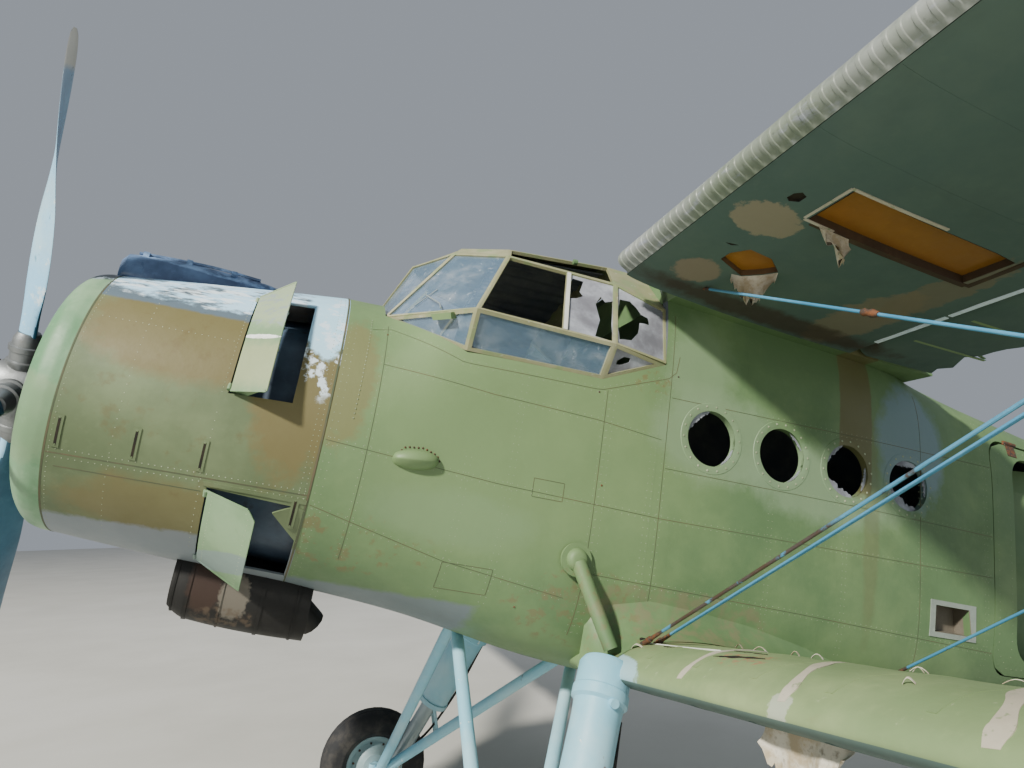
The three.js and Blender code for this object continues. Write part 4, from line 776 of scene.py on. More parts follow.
def cowl_flap_paint():
    """Green enamel on the cowl flaps. Pale patches on the upper ones are partly rubbed primer and
    partly painted light where they face the light, and a white line across them is a painted
    highlight on a crease.
    """
    return worn_paint("cowl_flap_enamel", "6a8a65", "8eaa85", "516b4d", roughness=0.5, grime=0.3,
                      extras=[
        # Pale patches over the upper flaps: partly rubbed primer, partly painted light
        patch_coat("a3b193", (1.14, 0, 0.60), (0.16, 9, 0.16), 0.7, ragged=0.5, grain=0.07,
                   soft=0.4),
        worn_patch_coat("8b9a9c", (1.14, 0, 0.54), (0.2, 9, 0.12), 0.05, 0.48, 0.6, 0.8,
                        stretch=(0.5, 1, 1.6)),
        # White line across the upper flaps: painted highlight on a crease
        patch_coat("f0f3f2", (1.12, 0, 0.365), (0.09, 9, 0.012), 0.9, ragged=0.7, grain=0.03),
        patch_coat("99a278", (1.14, 0, 0.22), (0.18, 9, 0.12), 0.75, ragged=0.5, grain=0.06,
                   soft=0.5),
        patch_coat("78898a", (1.2, 0, -0.70), (0.2, 9, 0.05), 0.8, ragged=0.3)])


def pale_green_paint():
    """Fresher, paler enamel on the spun nose ring, with dark bare metal along its crown."""
    return worn_paint("pale_green_enamel", paints().nose, "9db897", "5f7d5c", roughness=0.42,
                      streaks=0.2, grime=0.35, extras=[
        patch_coat("333b45", (0.27, 0, 0.80), (0.24, 0.95, 0.26), 0.95, ragged=0.15, soft=0.08),
        worn_patch_coat("a9bac6", (0.30, 0, 0.76), (0.2, 0.9, 0.22), 0.05, 0.54, 0.62, 0.7),
        patch_coat("8b9a78", (0.2, -0.62, -0.2), (0.3, 0.2, 0.2), 0.4, ragged=0.5)])


def wing_under_paint():
    """Doped fabric seen from below: dull, dark grey green, darker than the tops as painted shade,
    with bare patches.
    """
    return worn_paint("doped_fabric_under", paints().wing_under, "5c6e63", "394842",
                      roughness=0.75, streaks=0.0, grime=0.5, chalk=0.5, extras=[
        patch_coat("8a816d", (3.17, -1.80, 1.24), (0.17, 0.13, 0.2), 0.9, ragged=0.5, grain=0.07,
                   soft=0.1),
        patch_coat("857867", (3.19, -1.22, 1.22), (0.13, 0.13, 0.2), 0.9, ragged=0.4, grain=0.06),
        patch_coat("786f5c", (4.22, -1.30, 1.18), (0.17, 0.42, 0.2), 0.8, ragged=0.5, grain=0.07),
        patch_coat("726955", (4.28, -1.75, 1.2), (0.12, 0.40, 0.2), 0.7, ragged=0.6, grain=0.07),
        # Dark brown strip along the root, where the wing meets the fuselage: painted shade
        patch_coat("3b3026", (3.9, -1.02, 1.22), (0.95, 0.11, 0.2), 0.85, ragged=0.5, grain=0.1,
                   soft=0.4),
        cloud_coat("696451", 0.12, 0.70, 0.80, 0.35, seed=19.0)])


def wing_top_paint():
    """Doped fabric on the upper side of the lower wing: green, chalky and faded."""
    return worn_paint("doped_fabric_top", paints().wing_top, "95a577", "5f734f", roughness=0.6,
                      streaks=0.0, extras=[
        cloud_coat("807b5a", 0.14, 0.62, 0.78, 0.4, seed=23.0),
        cloud_coat("a8b190", 0.05, 0.64, 0.72, 0.5, seed=29.0, stretch=(0.3, 1, 1)),
        patch_coat("81785b", (3.42, 0, -0.76), (0.40, 1.12, 0.2), 0.75, ragged=0.45, grain=0.09,
                   soft=0.4),
        patch_coat("9fc2cd", (3.04, -1.09, -0.90), (0.09, 0.20, 0.09), 0.9, ragged=0.35,
                   grain=0.05),
        worn_patch_coat("a4745d", (3.27, -1.75, -0.72), (0.12, 0.14, 0.1), 0.03, 0.5, 0.6, 0.8),
        patch_coat("b3b8ac", (3.045, -2.19, -0.82), (0.03, 0.05, 0.12), 0.7, ragged=0.6,
                   grain=0.03)])


def rib_tape():
    """Doped cotton tape over the ribs, faded to tan."""
    return worn_paint("doped_rib_tape", "b0a998", "cbc5b8", "8d8770", roughness=0.75, streaks=0.0,
                      extras=[cloud_coat("84916f", 0.035, 0.58, 0.66, 0.85, seed=71.0)])


def slat_paint():
    """Green enamel on the slat's ribbed sheet, chalky; pale blue-grey streaks along the span are a
    painted highlight, and dark clouds are painted shade for the gaps between the ribs.
    """
    return worn_paint("slat_enamel", "6f796a", "979b9a", "454e45", roughness=0.5, streaks=0.0,
                      grime=0.5, chalk=0.9, extras=[
        # Pale streaks along the span: painted highlight; the dark clouds below: painted shade
        cloud_coat("999db2", 0.05, 0.54, 0.70, 0.5, seed=67.0, stretch=(1, 0.4, 1)),
        cloud_coat("404340", 0.04, 0.60, 0.70, 0.5, seed=68.0)])


def rusty_wire():
    """A streamlined wire whose blue paint is half rusted away, most of all in its lower part."""
    return worn_paint("rusted_wire", "3f7d9e", "6fa4bc", "2f5468", streaks=0.0,
                      chalk=0.4, extras=[cloud_coat("3d2d24", 0.16, 0.50, 0.56, 0.95, seed=61.0),
                              worn_patch_coat("43342a", (3.3, 0, -0.55), (0.5, 9, 0.40), 0.08,
                                              0.40, 0.48, 0.95)])


def piston_metal():
    """The leg's sliding tube: dull plated steel with blue overspray."""
    return worn_paint("plated_piston", "8f9ca0", "b6c2c5", "5f6a6d", roughness=0.35, metallic=0.5)


def rim_paint():
    """Teal-grey enamel on the cast wheels, dusty."""
    return worn_paint("wheel_enamel", "7f9aa0", "a9bcbe", "56696d", roughness=0.5, grime=0.5)


def blue_paint():
    """Light blue enamel on steel struts, chipped to brown rust and white primer."""
    return worn_paint("light_blue_enamel", paints().struts, "b9d6de", "638fa0", roughness=0.45,
                      grime=0.3, extras=[
        cloud_coat("7a4a2c", 0.09, 0.68, 0.73, 0.9, seed=3.0, stretch=(1, 1, 0.6)),
        cloud_coat("e4e9e6", 0.06, 0.66, 0.70, 0.8, seed=5.0)])


def wire_paint():
    """Blue enamel on streamlined steel wires, with small rust spots."""
    return worn_paint("blue_wire_enamel", "3f82a8", "74abc6", "2f617d", roughness=0.4, grime=0.3,
                      chalk=0.4, extras=[cloud_coat("5b3a26", 0.05, 0.66, 0.72, 0.9, seed=31.0)])


# Tip bands on the blades: everything farther than 1.62 m from the thrust line, in a yellow-grey
# darkened as painted shade
TIP_COAT = ("8f8a76", lambda tree, where: add(tree, "Math", {0: 1.0, 1: patch(
    tree, where, (0, 0, 0), (9, 1.62, 1.62), ragged=0.01, soft=0.02)},
    operation="SUBTRACT").outputs[0])


def blade_paint():
    """Worn blue-grey enamel over forged aluminium blades, rubbed to metal along their edges."""
    return worn_paint("blade_enamel", paints().propeller, "c6dedf", "5f93ae", roughness=0.4,
                      grime=0.45, extras=[
        cloud_coat("eaf0ec", 0.10, 0.58, 0.66, 0.6, seed=37.0),
        cloud_coat("2f7d90", 0.12, 0.60, 0.68, 0.7, seed=41.0), TIP_COAT])


def blade_back_shade():
    """Deep blue on the blades' rear faces: painted shade, a darker copy of the blade enamel for the
    side turned away from the light.
    """
    return worn_paint("deep_blue_blade_shade", "2a5f7c", "5f93ae", "17455e", roughness=0.35, grime=0.4,
                      extras=[TIP_COAT])


def black_paint():
    """Heat-proof black paint, rubbed brown and bare in front and dusty along its edges."""
    return worn_paint("heatproof_black", "090807", "161311", "050404", roughness=0.6, grime=0.3,
                      extras=[
        cloud_coat("2f251b", 0.14, 0.58, 0.75, 0.5, seed=9.0),
        patch_coat("38251b", (1.13, -0.2, -0.84), (0.085, 0.3, 0.14), 0.75, ragged=0.5, grain=0.05,
                   soft=0.3),
        patch_coat("746e63", (1.28, -0.2, -0.88), (0.075, 0.3, 0.12), 0.75, ragged=0.6,
                   grain=0.035, soft=0.2),
        worn_patch_coat("57493a", (1.25, -0.2, -0.99), (0.16, 0.3, 0.06), 0.05, 0.45, 0.6, 0.7),
        cloud_coat("4d4a44", 0.04, 0.70, 0.78, 0.5, seed=15.0)])


def scoop_paint():
    """Dark blue-grey paint on the intake scoop, with a pale blue painted highlight along its top.
    """
    return worn_paint("dark_scoop_enamel", "3e5171", "8db1dd", "212a39", roughness=0.35,
                      grime=0.3, extras=[
        # Pale blue streaks along the top: painted highlight
        worn_patch_coat("99bbe5", (0.75, 0, 0.86), (0.6, 9, 0.05), 0.08, 0.42, 0.6, 0.7,
                        stretch=(0.5, 1, 1))])


def drum_paint():
    """Dark blue paint on the baffle drum inside the cowl."""
    return worn_paint("dark_drum_enamel", "2a3849", "5a7086", "121820", roughness=0.5, grime=0.5,
                      extras=[cloud_coat("3b2c22", 0.12, 0.58, 0.7, 0.7, seed=43.0)])


def bare_metal():
    """Sheet aluminium left bare: dull, scratched, with brown stains."""
    return coated("bare_aluminium", "8d9193", [
        cloud_coat("5a5c5c", 0.12, 0.4, 0.8, 0.8),
        cloud_coat("6b4f36", 0.06, 0.6, 0.75, 0.6, seed=4)], 0.5, 0.0006, 0.01, metallic=0.85)


def dark_metal():
    """Oily cast aluminium and steel of the engine."""
    return coated("oily_cast_metal", "2b2d31", [cloud_coat("4b463d", 0.08, 0.45, 0.7, 0.7)],
                  0.5, 0.0008, 0.01, metallic=0.35)


def rusty_steel():
    """Steel fittings and bolts: brown rust over dark grey."""
    return coated("rusty_steel", "3f3833", [
        cloud_coat("6e4429", 0.03, 0.42, 0.62), cloud_coat("8b5a34", 0.015, 0.58, 0.7, seed=2.0)],
        0.75, 0.001, 0.006, metallic=0.15)


def tyre_rubber():
    """Dusty tyre rubber, grey on the crown and with brown earth in its grooves."""
    return coated("tyre_rubber", "242528", [cloud_coat("55504a", 0.1, 0.4, 0.75, 0.6)],
                  0.85, 0.0015, 0.008)


def dusty_glazing():
    """Acrylic panes, crazed and dusty: clear with pale grey clouds and runs."""
    material, tree, shader, where = new_material("dusty_acrylic")
    dust = clouds(tree, where, 0.16, 0.45, 0.8)
    runs = clouds(tree, where, 0.03, 0.60, 0.72, 2.0, stretch=(1, 1, 0.4))
    colour = coat(tree, solid_colour(tree, "86a6c4"), "b5bcc2", dust)
    colour = coat(tree, colour, "e3ebf2", times(tree, runs, 0.8))
    finish_material(tree, shader, where, colour, 0.08)
    both = add(tree, "Math", {0: runs, 1: 0.6, 2: dust}, operation="MULTIPLY_ADD").outputs[0]
    alpha = add(tree, "MapRange", {0: both, 2: 1.4, 3: 0.25, 4: 0.7}).outputs[0]
    tree.links.new(alpha, shader.inputs["Alpha"])
    return material


def shard_glazing():
    """Broken edges of acrylic, white where they are crazed."""
    material, tree, shader, where = new_material("crazed_acrylic")
    haze = clouds(tree, where, 0.22, 0.35, 0.75)
    colour = coat(tree, solid_colour(tree, "878892"), "b9bfca", haze)
    finish_material(tree, shader, where, colour, 0.2)
    alpha = add(tree, "MapRange", {0: haze, 3: 0.66, 4: 0.93}).outputs[0]
    tree.links.new(alpha, shader.inputs["Alpha"])
    return material


def frame_paint():
    """Beige-grey paint of the glazing bars, worn to grey metal along their edges."""
    return worn_paint("glazing_bar_enamel", "8a8b68", "b3b095", "66684c", grime=0.3,
                      extras=[cloud_coat("7d8f63", 0.12, 0.50, 0.62, 0.7, seed=50.0),
                              cloud_coat("c3c2b8", 0.04, 0.62, 0.70, 0.6, seed=47.0),
                              cloud_coat("6e4f3a", 0.05, 0.66, 0.74, 0.7, seed=53.0)])


def seam_shadow():
    """Painted shade in the gaps between panels, with dirt gathered there: dark olive brown."""
    return coated("seam_shade_and_dirt", "4b553f", [cloud_coat("685b45", 0.2, 0.4, 0.7)], 0.8)


def rivet_heads():
    """Painted rivet heads, a little paler than the sheet."""
    return worn_paint("painted_rivets", "8a9678", "b3ba9f", "4f5a42")


def cabin_lining():
    """Dark dusty cabin lining."""
    return coated("cabin_lining", "4c535b", [cloud_coat("7c7f78", 0.3, 0.4, 0.75, 0.7)],
                  0.9, 0.001)


def spar_varnish():
    """Yellow-orange varnish and primer inside the wing, seen where the fabric is gone."""
    return worn_paint("orange_varnish", "8a5c22", "a8752c", "5d3f18", roughness=0.5, streaks=0.0,
                      extras=[cloud_coat("4d3a1c", 0.2, 0.60, 0.8, 0.5, seed=59.0)])


def spar_brown():
    """Brown primer on the spars and ribs that edge the openings."""
    return worn_paint("brown_spar_primer", "3a2a1c", "6b5236", "1e160f", roughness=0.7,
                      streaks=0.0)


def slot_lip():
    """A painted highlight along the wing's flap slot: a bright pale blue-white strip for the sky
    light caught there.
    """
    return worn_paint("slot_painted_highlight", "dceafa", "f4faff", "a8bdd6", roughness=0.3, streaks=0.0)


def dark_hollow():
    """Nearly black brown: painted shade for the unlit inside of the wing and its small holes, the
    cowl latch slots and the tears in the lower wing; the wire shoe has it too.
    """
    return coated("dark_hollow", "17140f", [cloud_coat("2f2719", 0.1, 0.4, 0.7)], 0.9)


def torn_cloth():
    """Torn wing fabric hanging loose: tan and whitish cotton with a fine weave."""
    return coated("torn_cotton", "a79a80", [
        cloud_coat("cfcabb", 0.08, 0.4, 0.6), cloud_coat("6f6350", 0.04, 0.55, 0.7, 0.7)],
        0.9, 0.0006, 0.002)


def white_paint():
    """Chalky off-white paint of small fittings, with grey stains."""
    return worn_paint("white_enamel", "c9ccc6", "e6e6df", "8b8b82", roughness=0.6)


def recess_paint():
    """Pale grey-green enamel round the step recess, chipped and stained."""
    return worn_paint("recess_frame_enamel", "87928a", "aeb6ae", "5d6859", roughness=0.6)


def brown_grey_paint():
    """Dusty grey-brown enamel inside recesses and on plates near the exhaust."""
    return worn_paint("stained_grey_enamel", "6f685c", "8f897e", "3d372f", roughness=0.7,
                      grime=0.8)


def seat_leather():
    """Cracked brown leathercloth over seat pads."""
    return coated("seat_leathercloth", "4b4233", [cloud_coat("6d6350", 0.1, 0.4, 0.7, 0.7)],
                  0.7, 0.002, 0.015)


def rubber_seal():
    """Black rubber of seals, hoses and wiper blades, greyed by dust."""
    return coated("black_rubber", "1b1b1d", [cloud_coat("45443f", 0.05, 0.45, 0.7)],
                  0.8, 0.0004, 0.004)


FINISHES = {f.__name__: f for f in (
    olive_paint, cowl_paint, cowl_flap_paint, pale_green_paint, wing_under_paint, wing_top_paint,
    rib_tape, slat_paint, rusty_wire, piston_metal, rim_paint, blue_paint, wire_paint, blade_paint,
    blade_back_shade, black_paint, scoop_paint, drum_paint, spar_brown, slot_lip, recess_paint,
    brown_grey_paint, bare_metal, dark_metal, rusty_steel, tyre_rubber, dusty_glazing,
    shard_glazing, frame_paint, seam_shadow, rivet_heads, cabin_lining, spar_varnish, dark_hollow,
    torn_cloth, white_paint, seat_leather, rubber_seal)}


def smooth_copy(node, finish, angle=40, bevel=0.0):
    """A copy of a CAD node with its doubles merged, smooth shading and an optional small bevel."""
    mesh = frame["nodes"][node].data.copy()
    mesh.name = node + "_skin"
    bm = bmesh.new()
    bm.from_mesh(mesh)
    bmesh.ops.remove_doubles(bm, verts=bm.verts, dist=DOUBLE_DISTANCE)
    bmesh.ops.dissolve_limit(bm, angle_limit=math.radians(1), verts=bm.verts, edges=bm.edges)
    bm.to_mesh(mesh)
    bm.free()
    obj = placed(node + "_skin", mesh)
    shade(mesh, angle)
    mesh.materials.clear()
    mesh.materials.append(finish_of(finish))
    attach(obj, body_of(node))
    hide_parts(node)
    if bevel:
        rounding = obj.modifiers.new("rounding", "BEVEL")
        rounding.width, rounding.segments, rounding.limit_method = bevel, 2, "ANGLE"
        rounding.angle_limit = math.radians(40)
    return obj


# Fuselage

def sill_prism():
    """Everything above the cockpit sill, as a prism right across the fuselage."""
    outline = [(1.702, 1.7), *SILL, (3.4, 0.732), (3.4, 1.7)]
    return slab([(x, -1.2, z) for x, z in outline], (0, 2.4, 0))


def centre_foil(wing, count=40):
    """The aerofoil of a wing's root, as points (x, z) of the level frame, from tail over nose."""
    shares = np.linspace(0, 1, count) ** 2
    top, bottom = foil(shares)
    x = np.concatenate([shares[::-1], shares[1:]]) * wing["chord"]
    z = np.concatenate([top[::-1], bottom[1:]]) * wing["chord"] * wing["thickness"]
    i = math.radians(wing["incidence"])
    return (wing["x"] + x * math.cos(i) + z * math.sin(i),
            wing["z"] - x * math.sin(i) + z * math.cos(i))


def straight_section(wing, half):
    """The root aerofoil carried straight across the fuselage."""
    x, z = centre_foil(wing)
    return slab(np.stack([x, np.full_like(x, -half), z], -1), (0, 2 * half, 0))


def build_fuselage():
    """Smooth skins of the fuselage: superellipse rings through the section table."""
    def skin(name, node, x0, x1, stations):
        """A stretch of outer skin with the cabin's lining as its inner side."""
        shape, outer = skin_shell(FUSELAGE, x0, x1, WALL, stations)
        return piece(name, shape, "olive_paint", node, inside=("cabin_lining", outer))

    carve(skin("forward_skin", "forward_fuselage", FIREWALL_X, BULKHEAD_X, 60), sill_prism())
    holes = [ellipse_prism(x, WINDOW_Z, WINDOW_RADIUS, -1.0, 1.0) for x in WINDOW_XS]
    door = slab(rounded_outline(*DOORWAY, -1.2), (0, 0.8, 0))
    cabin = skin("cabin_skin", "cabin_fuselage", BULKHEAD_X + SEAT_GAP, CABIN_REAR_X, 90)
    carve(cabin, *holes, door)
    roof = piece("roof_centre_section", straight_section(UPPER_WING, ROOT_Y), "olive_paint",
                 "cabin_fuselage")
    carve(roof, slab([(2.5, -1.0, 0.5), (3.2703, -1.0, 0.5), (3.2703, -1.0, 2.0),
                      (2.5, -1.0, 2.0)], (0, 2, 0)))
    x = np.linspace(CABIN_REAR_X + SEAT_GAP, STERN_X, 60)
    rings = ring_points(smooth_rows(FUSELAGE, x), x, 0, circle(96))
    piece("tail_cone_skin", lofted(rings), "olive_paint", "tail_cone")
    piece("root_centre_section", straight_section(LOWER_WING, ROOT_Y), "olive_paint",
          "lower_centre_section")
    seams_and_rivets()


# Seams along the side, each through its (x, z) places, and the rows of rivets beside them
SIDE_SEAMS = [
    [(1.52, -0.06), (2.40, -0.115), (3.33, -0.135), (5.84, -0.10)],
    [(1.52, -0.37), (2.20, -0.53), (2.85, -0.62)],
    [(3.33, 0.548), (4.78, 0.60), (5.84, 0.63)], [(3.33, 0.142), (4.70, 0.165), (5.84, 0.165)],
    [(2.93, -0.48), (4.30, -0.515), (5.84, -0.57)],
    [(1.72, 0.375), (2.30, 0.335), (2.90, 0.325), (3.29, 0.295)],
    [(7.25, 0.30), (9.40, 0.25), (11.2, 0.22)], [(7.25, -0.25), (9.40, -0.10), (11.2, 0.02)],
    [(7.25, 0.72), (9.40, 0.60), (11.2, 0.50)],
    [(1.640, 0.575), (1.74, 0.60), (2.118, 0.470), (2.89, 0.494), (3.30, 0.655), (3.345, 0.70),
     (3.36, 0.80)],
]
# Frames that show as upright rows, columns: x, low z, high z
SIDE_FRAMES = [(1.545, -0.76, 0.62), (1.72, -0.60, 0.62), (2.22, -0.72, 0.02), (2.455, -0.72, 0.46),
               (2.93, -0.80, 0.50), (2.965, -0.80, 0.50), (3.245, -0.90, 0.66),
               (3.318, -0.90, 1.05), (4.05, -0.90, 0.12), (4.60, -0.90, 0.12),
               (5.20, -0.90, 1.0), (5.78, -0.84, 0.95),
               (7.31, -0.66, 0.86), (7.43, -0.64, 0.84)]
TAIL_FRAMES = (7.47, 8.05, 8.65, 9.25, 9.85, 10.4, 10.9, 11.4)
ROOF_FRAMES = (6.25, 6.65, 7.05, 7.40)


def seams_and_rivets():
    """Panel gaps as thin dark bands on the skin and rivet heads one pitch apart beside them."""
    sizes = bpy.context.scene.biplane_sizes
    gaps, heads = [], []

    def seam(line, rows=(-0.014, 0.014), gap=True):
        """A dark gap along a line, and rows of rivets beside it."""
        if gap:
            gaps.append(strip(line, sizes.seam_width))
        for shift in rows:
            heads.append(spaced(line, sizes.rivet_pitch, shift))

    for side in SIDES.values():
        for places in SIDE_SEAMS:
            seam(line_on(FUSELAGE, places, side))
        for x, low, high in SIDE_FRAMES:
            seam(line_on(FUSELAGE, [(x, low), (x, high)], side), gap=x in (1.72, 2.93, 3.318, 5.20))
    for x in TAIL_FRAMES:
        seam(round_skin(FUSELAGE, x), rows=(-0.012,))
    for x in ROOF_FRAMES:
        seam(round_skin(FUSELAGE, x, 50, 130, 40), rows=(-0.012,))
    hatch = [(2.205, -0.535), (2.205, -0.665), (2.46, -0.665), (2.46, -0.535), (2.205, -0.535)]
    marks = [[(2.58, -0.05), (2.75, -0.05), (2.75, -0.145), (2.58, -0.145), (2.58, -0.05)], hatch]
    for places in marks:
        gaps.append(strip(line_on(FUSELAGE, places, -1), sizes.seam_width))
    piece("fuselage_seams", joined(*gaps), "seam_shadow", angle=60)
    points, normals = stacked(heads)
    radius = sizes.rivet_radius
    piece("fuselage_rivets", domes(points, normals, radius, radius * 0.5), "rivet_heads", angle=80)


# Ragged rims of old glass in the portholes, columns: window, start angle, end angle, depth
GLASS_RESTS = [(0, 95, 175, 0.040), (0, 300, 350, 0.020), (1, 20, 70, 0.022), (1, 150, 250, 0.012),
               (1, 290, 340, 0.020), (2, 100, 175, 0.040), (2, 200, 290, 0.060),
               (2, 320, 380, 0.030), (3, 60, 130, 0.050), (3, 175, 300, 0.075), (3, -20, 40, 0.030)]


def build_portholes():
    """Rings, bolts and the broken glass left in the round windows on both sides."""
    a = circle(48)
    rings, bolts, rests = [], [], []
    rng = np.random.default_rng(4)
    for side in SIDES.values():
        for x in WINDOW_XS:
            bands = []
            for radius, lift in ((0.160, -0.02), (0.160, 0.001), (0.163, 0.002), (0.205, 0.002),
                                 (0.210, -0.003)):
                points, normals = on_skin(FUSELAGE, x + radius * np.cos(a),
                                          WINDOW_Z + radius * np.sin(a), side)
                bands.append(points + normals * lift)
            grid = np.stack(bands)
            rings.append((grid.reshape(-1, 3), quads(5, 48, wrap=True, flip=side > 0).tolist()))
            places = circle(18) + 0.1
            bolts.append(on_skin(FUSELAGE, x + 0.187 * np.cos(places),
                                 WINDOW_Z + 0.187 * np.sin(places), side))
        for window, start, end, depth in GLASS_RESTS:
            t = np.radians(np.linspace(start, end, 18))
            fade = np.sin(np.linspace(0, math.pi, 18)) ** 0.5
            inner = 0.163 - depth * fade * (0.55 + 0.45 * rng.random(18))
            both = []
            for radius, lift in ((np.full(18, 0.164), -0.012), (inner, -0.012), (inner, -0.016),
                                 (np.full(18, 0.164), -0.016)):
                points, normals = on_skin(FUSELAGE, WINDOW_XS[window] + radius * np.cos(t),
                                          WINDOW_Z + radius * np.sin(t), side)
                both.append(points + normals * lift)
            rests.append(lofted(np.stack(both, axis=1)))
    piece("porthole_rings", joined(*rings), "olive_paint", like="cabin_fuselage")
    points, normals = stacked(bolts)
    piece("porthole_bolts", domes(points + normals * 0.004, normals, 0.007, 0.004, 8),
          "rivet_heads")
    piece("porthole_glass_rests", joined(*rests), "shard_glazing",
          like="canopy_glass", fix=True)


def bulge_on_skin(table, x0, x1, z0, z1, height, aft=0.6, slope=0.0, count=25):
    """A blister on the port skin. Its height follows an egg-shaped hump over the length and a
    half ellipse across it."""
    u, v = np.meshgrid(np.linspace(0, 1, count), np.linspace(-1, 1, count), indexing="ij")
    span = np.sqrt(np.clip(1 - (2 * u - 1) ** 2, 0, 1)) ** 0.8
    x = x0 + (x1 - x0) * u
    z = (z0 + z1) / 2 + slope * (x - x0) + (z1 - z0) / 2 * v * span
    points, normals = on_skin(table, x.ravel(), z.ravel())
    lift = height * (span * np.sqrt(np.clip(1 - v ** 2, 0, 1)) * (1 - aft * (v < 0) * -v)).ravel()
    return two_sided(points + normals * (lift[:, None] - 0.001), points - normals * 0.004, count,
                     count)


def build_side_fittings():
    """The blister behind the cowl, bolts, the step recess, the brace strut and the fillets."""
    piece("side_blister", bulge_on_skin(FUSELAGE, 1.845, 2.075, -0.135, -0.035, 0.062,
                                        0.45, 0.08), "olive_paint", fix=True)
    rim = line_on(FUSELAGE, [(1.85, -0.085), (1.90, -0.022), (1.99, -0.012), (2.06, -0.035),
                             (2.078, -0.062)], count=40)
    spots = on_skin(FUSELAGE, [2.96, 1.72, 3.36, 2.88, 2.62], [-0.02, 0.56, 0.68, 0.48, -0.7])
    points, normals = stacked([spaced(rim, 0.022), spots])
    piece("side_bolts", domes(points, normals, 0.007, 0.006), "rusty_steel")
    # Step recess: a pale frame round a box sunk into the side
    x0, x1, z0, z1 = 5.33, 5.615, -0.49, -0.33
    hole = [(x0, z0), (x0, z1), (x1, z1), (x1 + 0.03, z0)]
    out = [(x0 - 0.04, z0 - 0.03), (x0 - 0.04, z1 + 0.03), (x1 + 0.06, z1 + 0.03),
           (x1 + 0.07, z0 - 0.03)]
    rows = []
    for corners, lift in ((out, -0.002), (out, 0.006), (hole, 0.006), (hole, -0.110)):
        points, normals = on_skin(FUSELAGE, [c[0] for c in corners], [c[1] for c in corners])
        rows.append(points + normals * lift)
    grid = np.stack(rows)
    faces = quads(4, 4, wrap=True).tolist() + [[12, 13, 14, 15]]
    piece("step_recess", (grid.reshape(-1, 3), faces[:8]), "recess_paint",
          like="cabin_fuselage", fix=True)
    piece("step_recess_inside", (grid.reshape(-1, 3), faces[8:]), "brown_grey_paint",
          like="cabin_fuselage", fix=True)
    skin = bpy.data.objects["cabin_skin"]
    top = np.array([(x, -1.0, z) for x, z in hole])
    carve(skin, slab(top, (0, 0.35, 0)))
    # Brace strut from the fuselage side down to the wing root, with its boss and its web
    head, foot = np.array([2.875, -0.880, -0.430]), np.array([3.045, -1.010, -0.815])
    path = between(head, foot, np.linspace(0, 1, 12))
    strut = tube(path, 0.041 - 0.005 * np.linspace(0, 1, 12), 16)
    a = np.linspace(0, math.pi / 2, 8)
    cap = tube(np.stack([np.full(8, 2.870), -0.860 - 0.050 * np.sin(a), np.full(8, -0.42)], -1),
               0.058 * np.cos(a) ** 0.5 + 0.003, 20)
    plate = tube([[2.868, -0.858, -0.420], [2.868, -0.874, -0.420]], 0.085, 24)
    web = slab([(2.930, -0.868, -0.43), (3.065, -0.868, -0.735), (3.035, -0.985, -0.80),
                (2.910, -0.905, -0.50)], (0.006, 0, 0.002))
    root_fillets()
    piece("root_brace_strut", joined(strut, cap, plate), "olive_paint")
    piece("root_brace_web", web, "seam_shadow", fix=True)


# Upper edge of the fairing between fuselage and lower wing, as x and z
FILLET = np.array([(3.0, -0.74), (3.05, -0.63), (3.33, -0.568), (3.64, -0.588), (3.97, -0.622),
                   (4.35, -0.69), (4.80, -0.80), (5.0, -0.87)])


def root_fillets():
    """Fairings along the lower wing's root: a square curve from the fuselage's side to the top of
    the wing, drawn towards the corner between them."""
    x = np.linspace(3.0, 4.98, 50)
    z = np.interp(x, *FILLET.T)
    share = np.clip((x - LOWER_WING["x"]) / LOWER_WING["chord"], 0.002, 1)
    v = np.linspace(0, 1, 10)[None, :, None]
    fillets = []
    for side in SIDES.values():
        a = on_skin(FUSELAGE, x, z, side)[0]
        b = wing_points(LOWER_WING, side, np.full(50, 0.13), share, 1, 0.002)
        corner = (0.35 * (a + b) / 2 + 0.65 * np.stack([x, a[:, 1], b[:, 2]], -1))[:, None]
        curve = (1 - v) ** 2 * a[:, None] + 2 * v * (1 - v) * corner + v ** 2 * b[:, None]
        base = np.stack([x, side * (np.abs(a[:, 1]) - 0.02), b[:, 2] - 0.05], -1)[:, None]
        fillets.append(lofted(np.concatenate([curve, base], axis=1)))
    piece("root_fillets", joined(*fillets), "olive_paint", like="lower_wing_port", fix=True)


# Doors

def door_panel(x0, x1, z0, z1, radius, wall=WALL, columns=30, rows=40):
    """A rectangle of the port skin with round corners: a grid whose rows shrink at the corners,
    with an inner copy one wall inside."""
    v = np.linspace(0, 1, rows)
    near = np.minimum(v, 1 - v) * (z1 - z0)
    reach = np.sqrt(np.clip(radius**2 - (radius - near)**2, 0, None))
    cut = np.where(near < radius, radius - reach, 0)
    x = (x0 + cut)[:, None] + (x1 - x0 - 2 * cut)[:, None] * np.linspace(0, 1, columns)[None]
    z = np.broadcast_to((z0 + (z1 - z0) * v)[:, None], x.shape)
    points, normals = on_skin(FUSELAGE, x.ravel(), z.ravel())
    return two_sided(points, points - normals * wall, rows, columns)


# Opening for the entry door, in the cargo door: x and z limits and corner radius
ENTRY = (6.060, 6.870, -0.605, 0.755, 0.160)


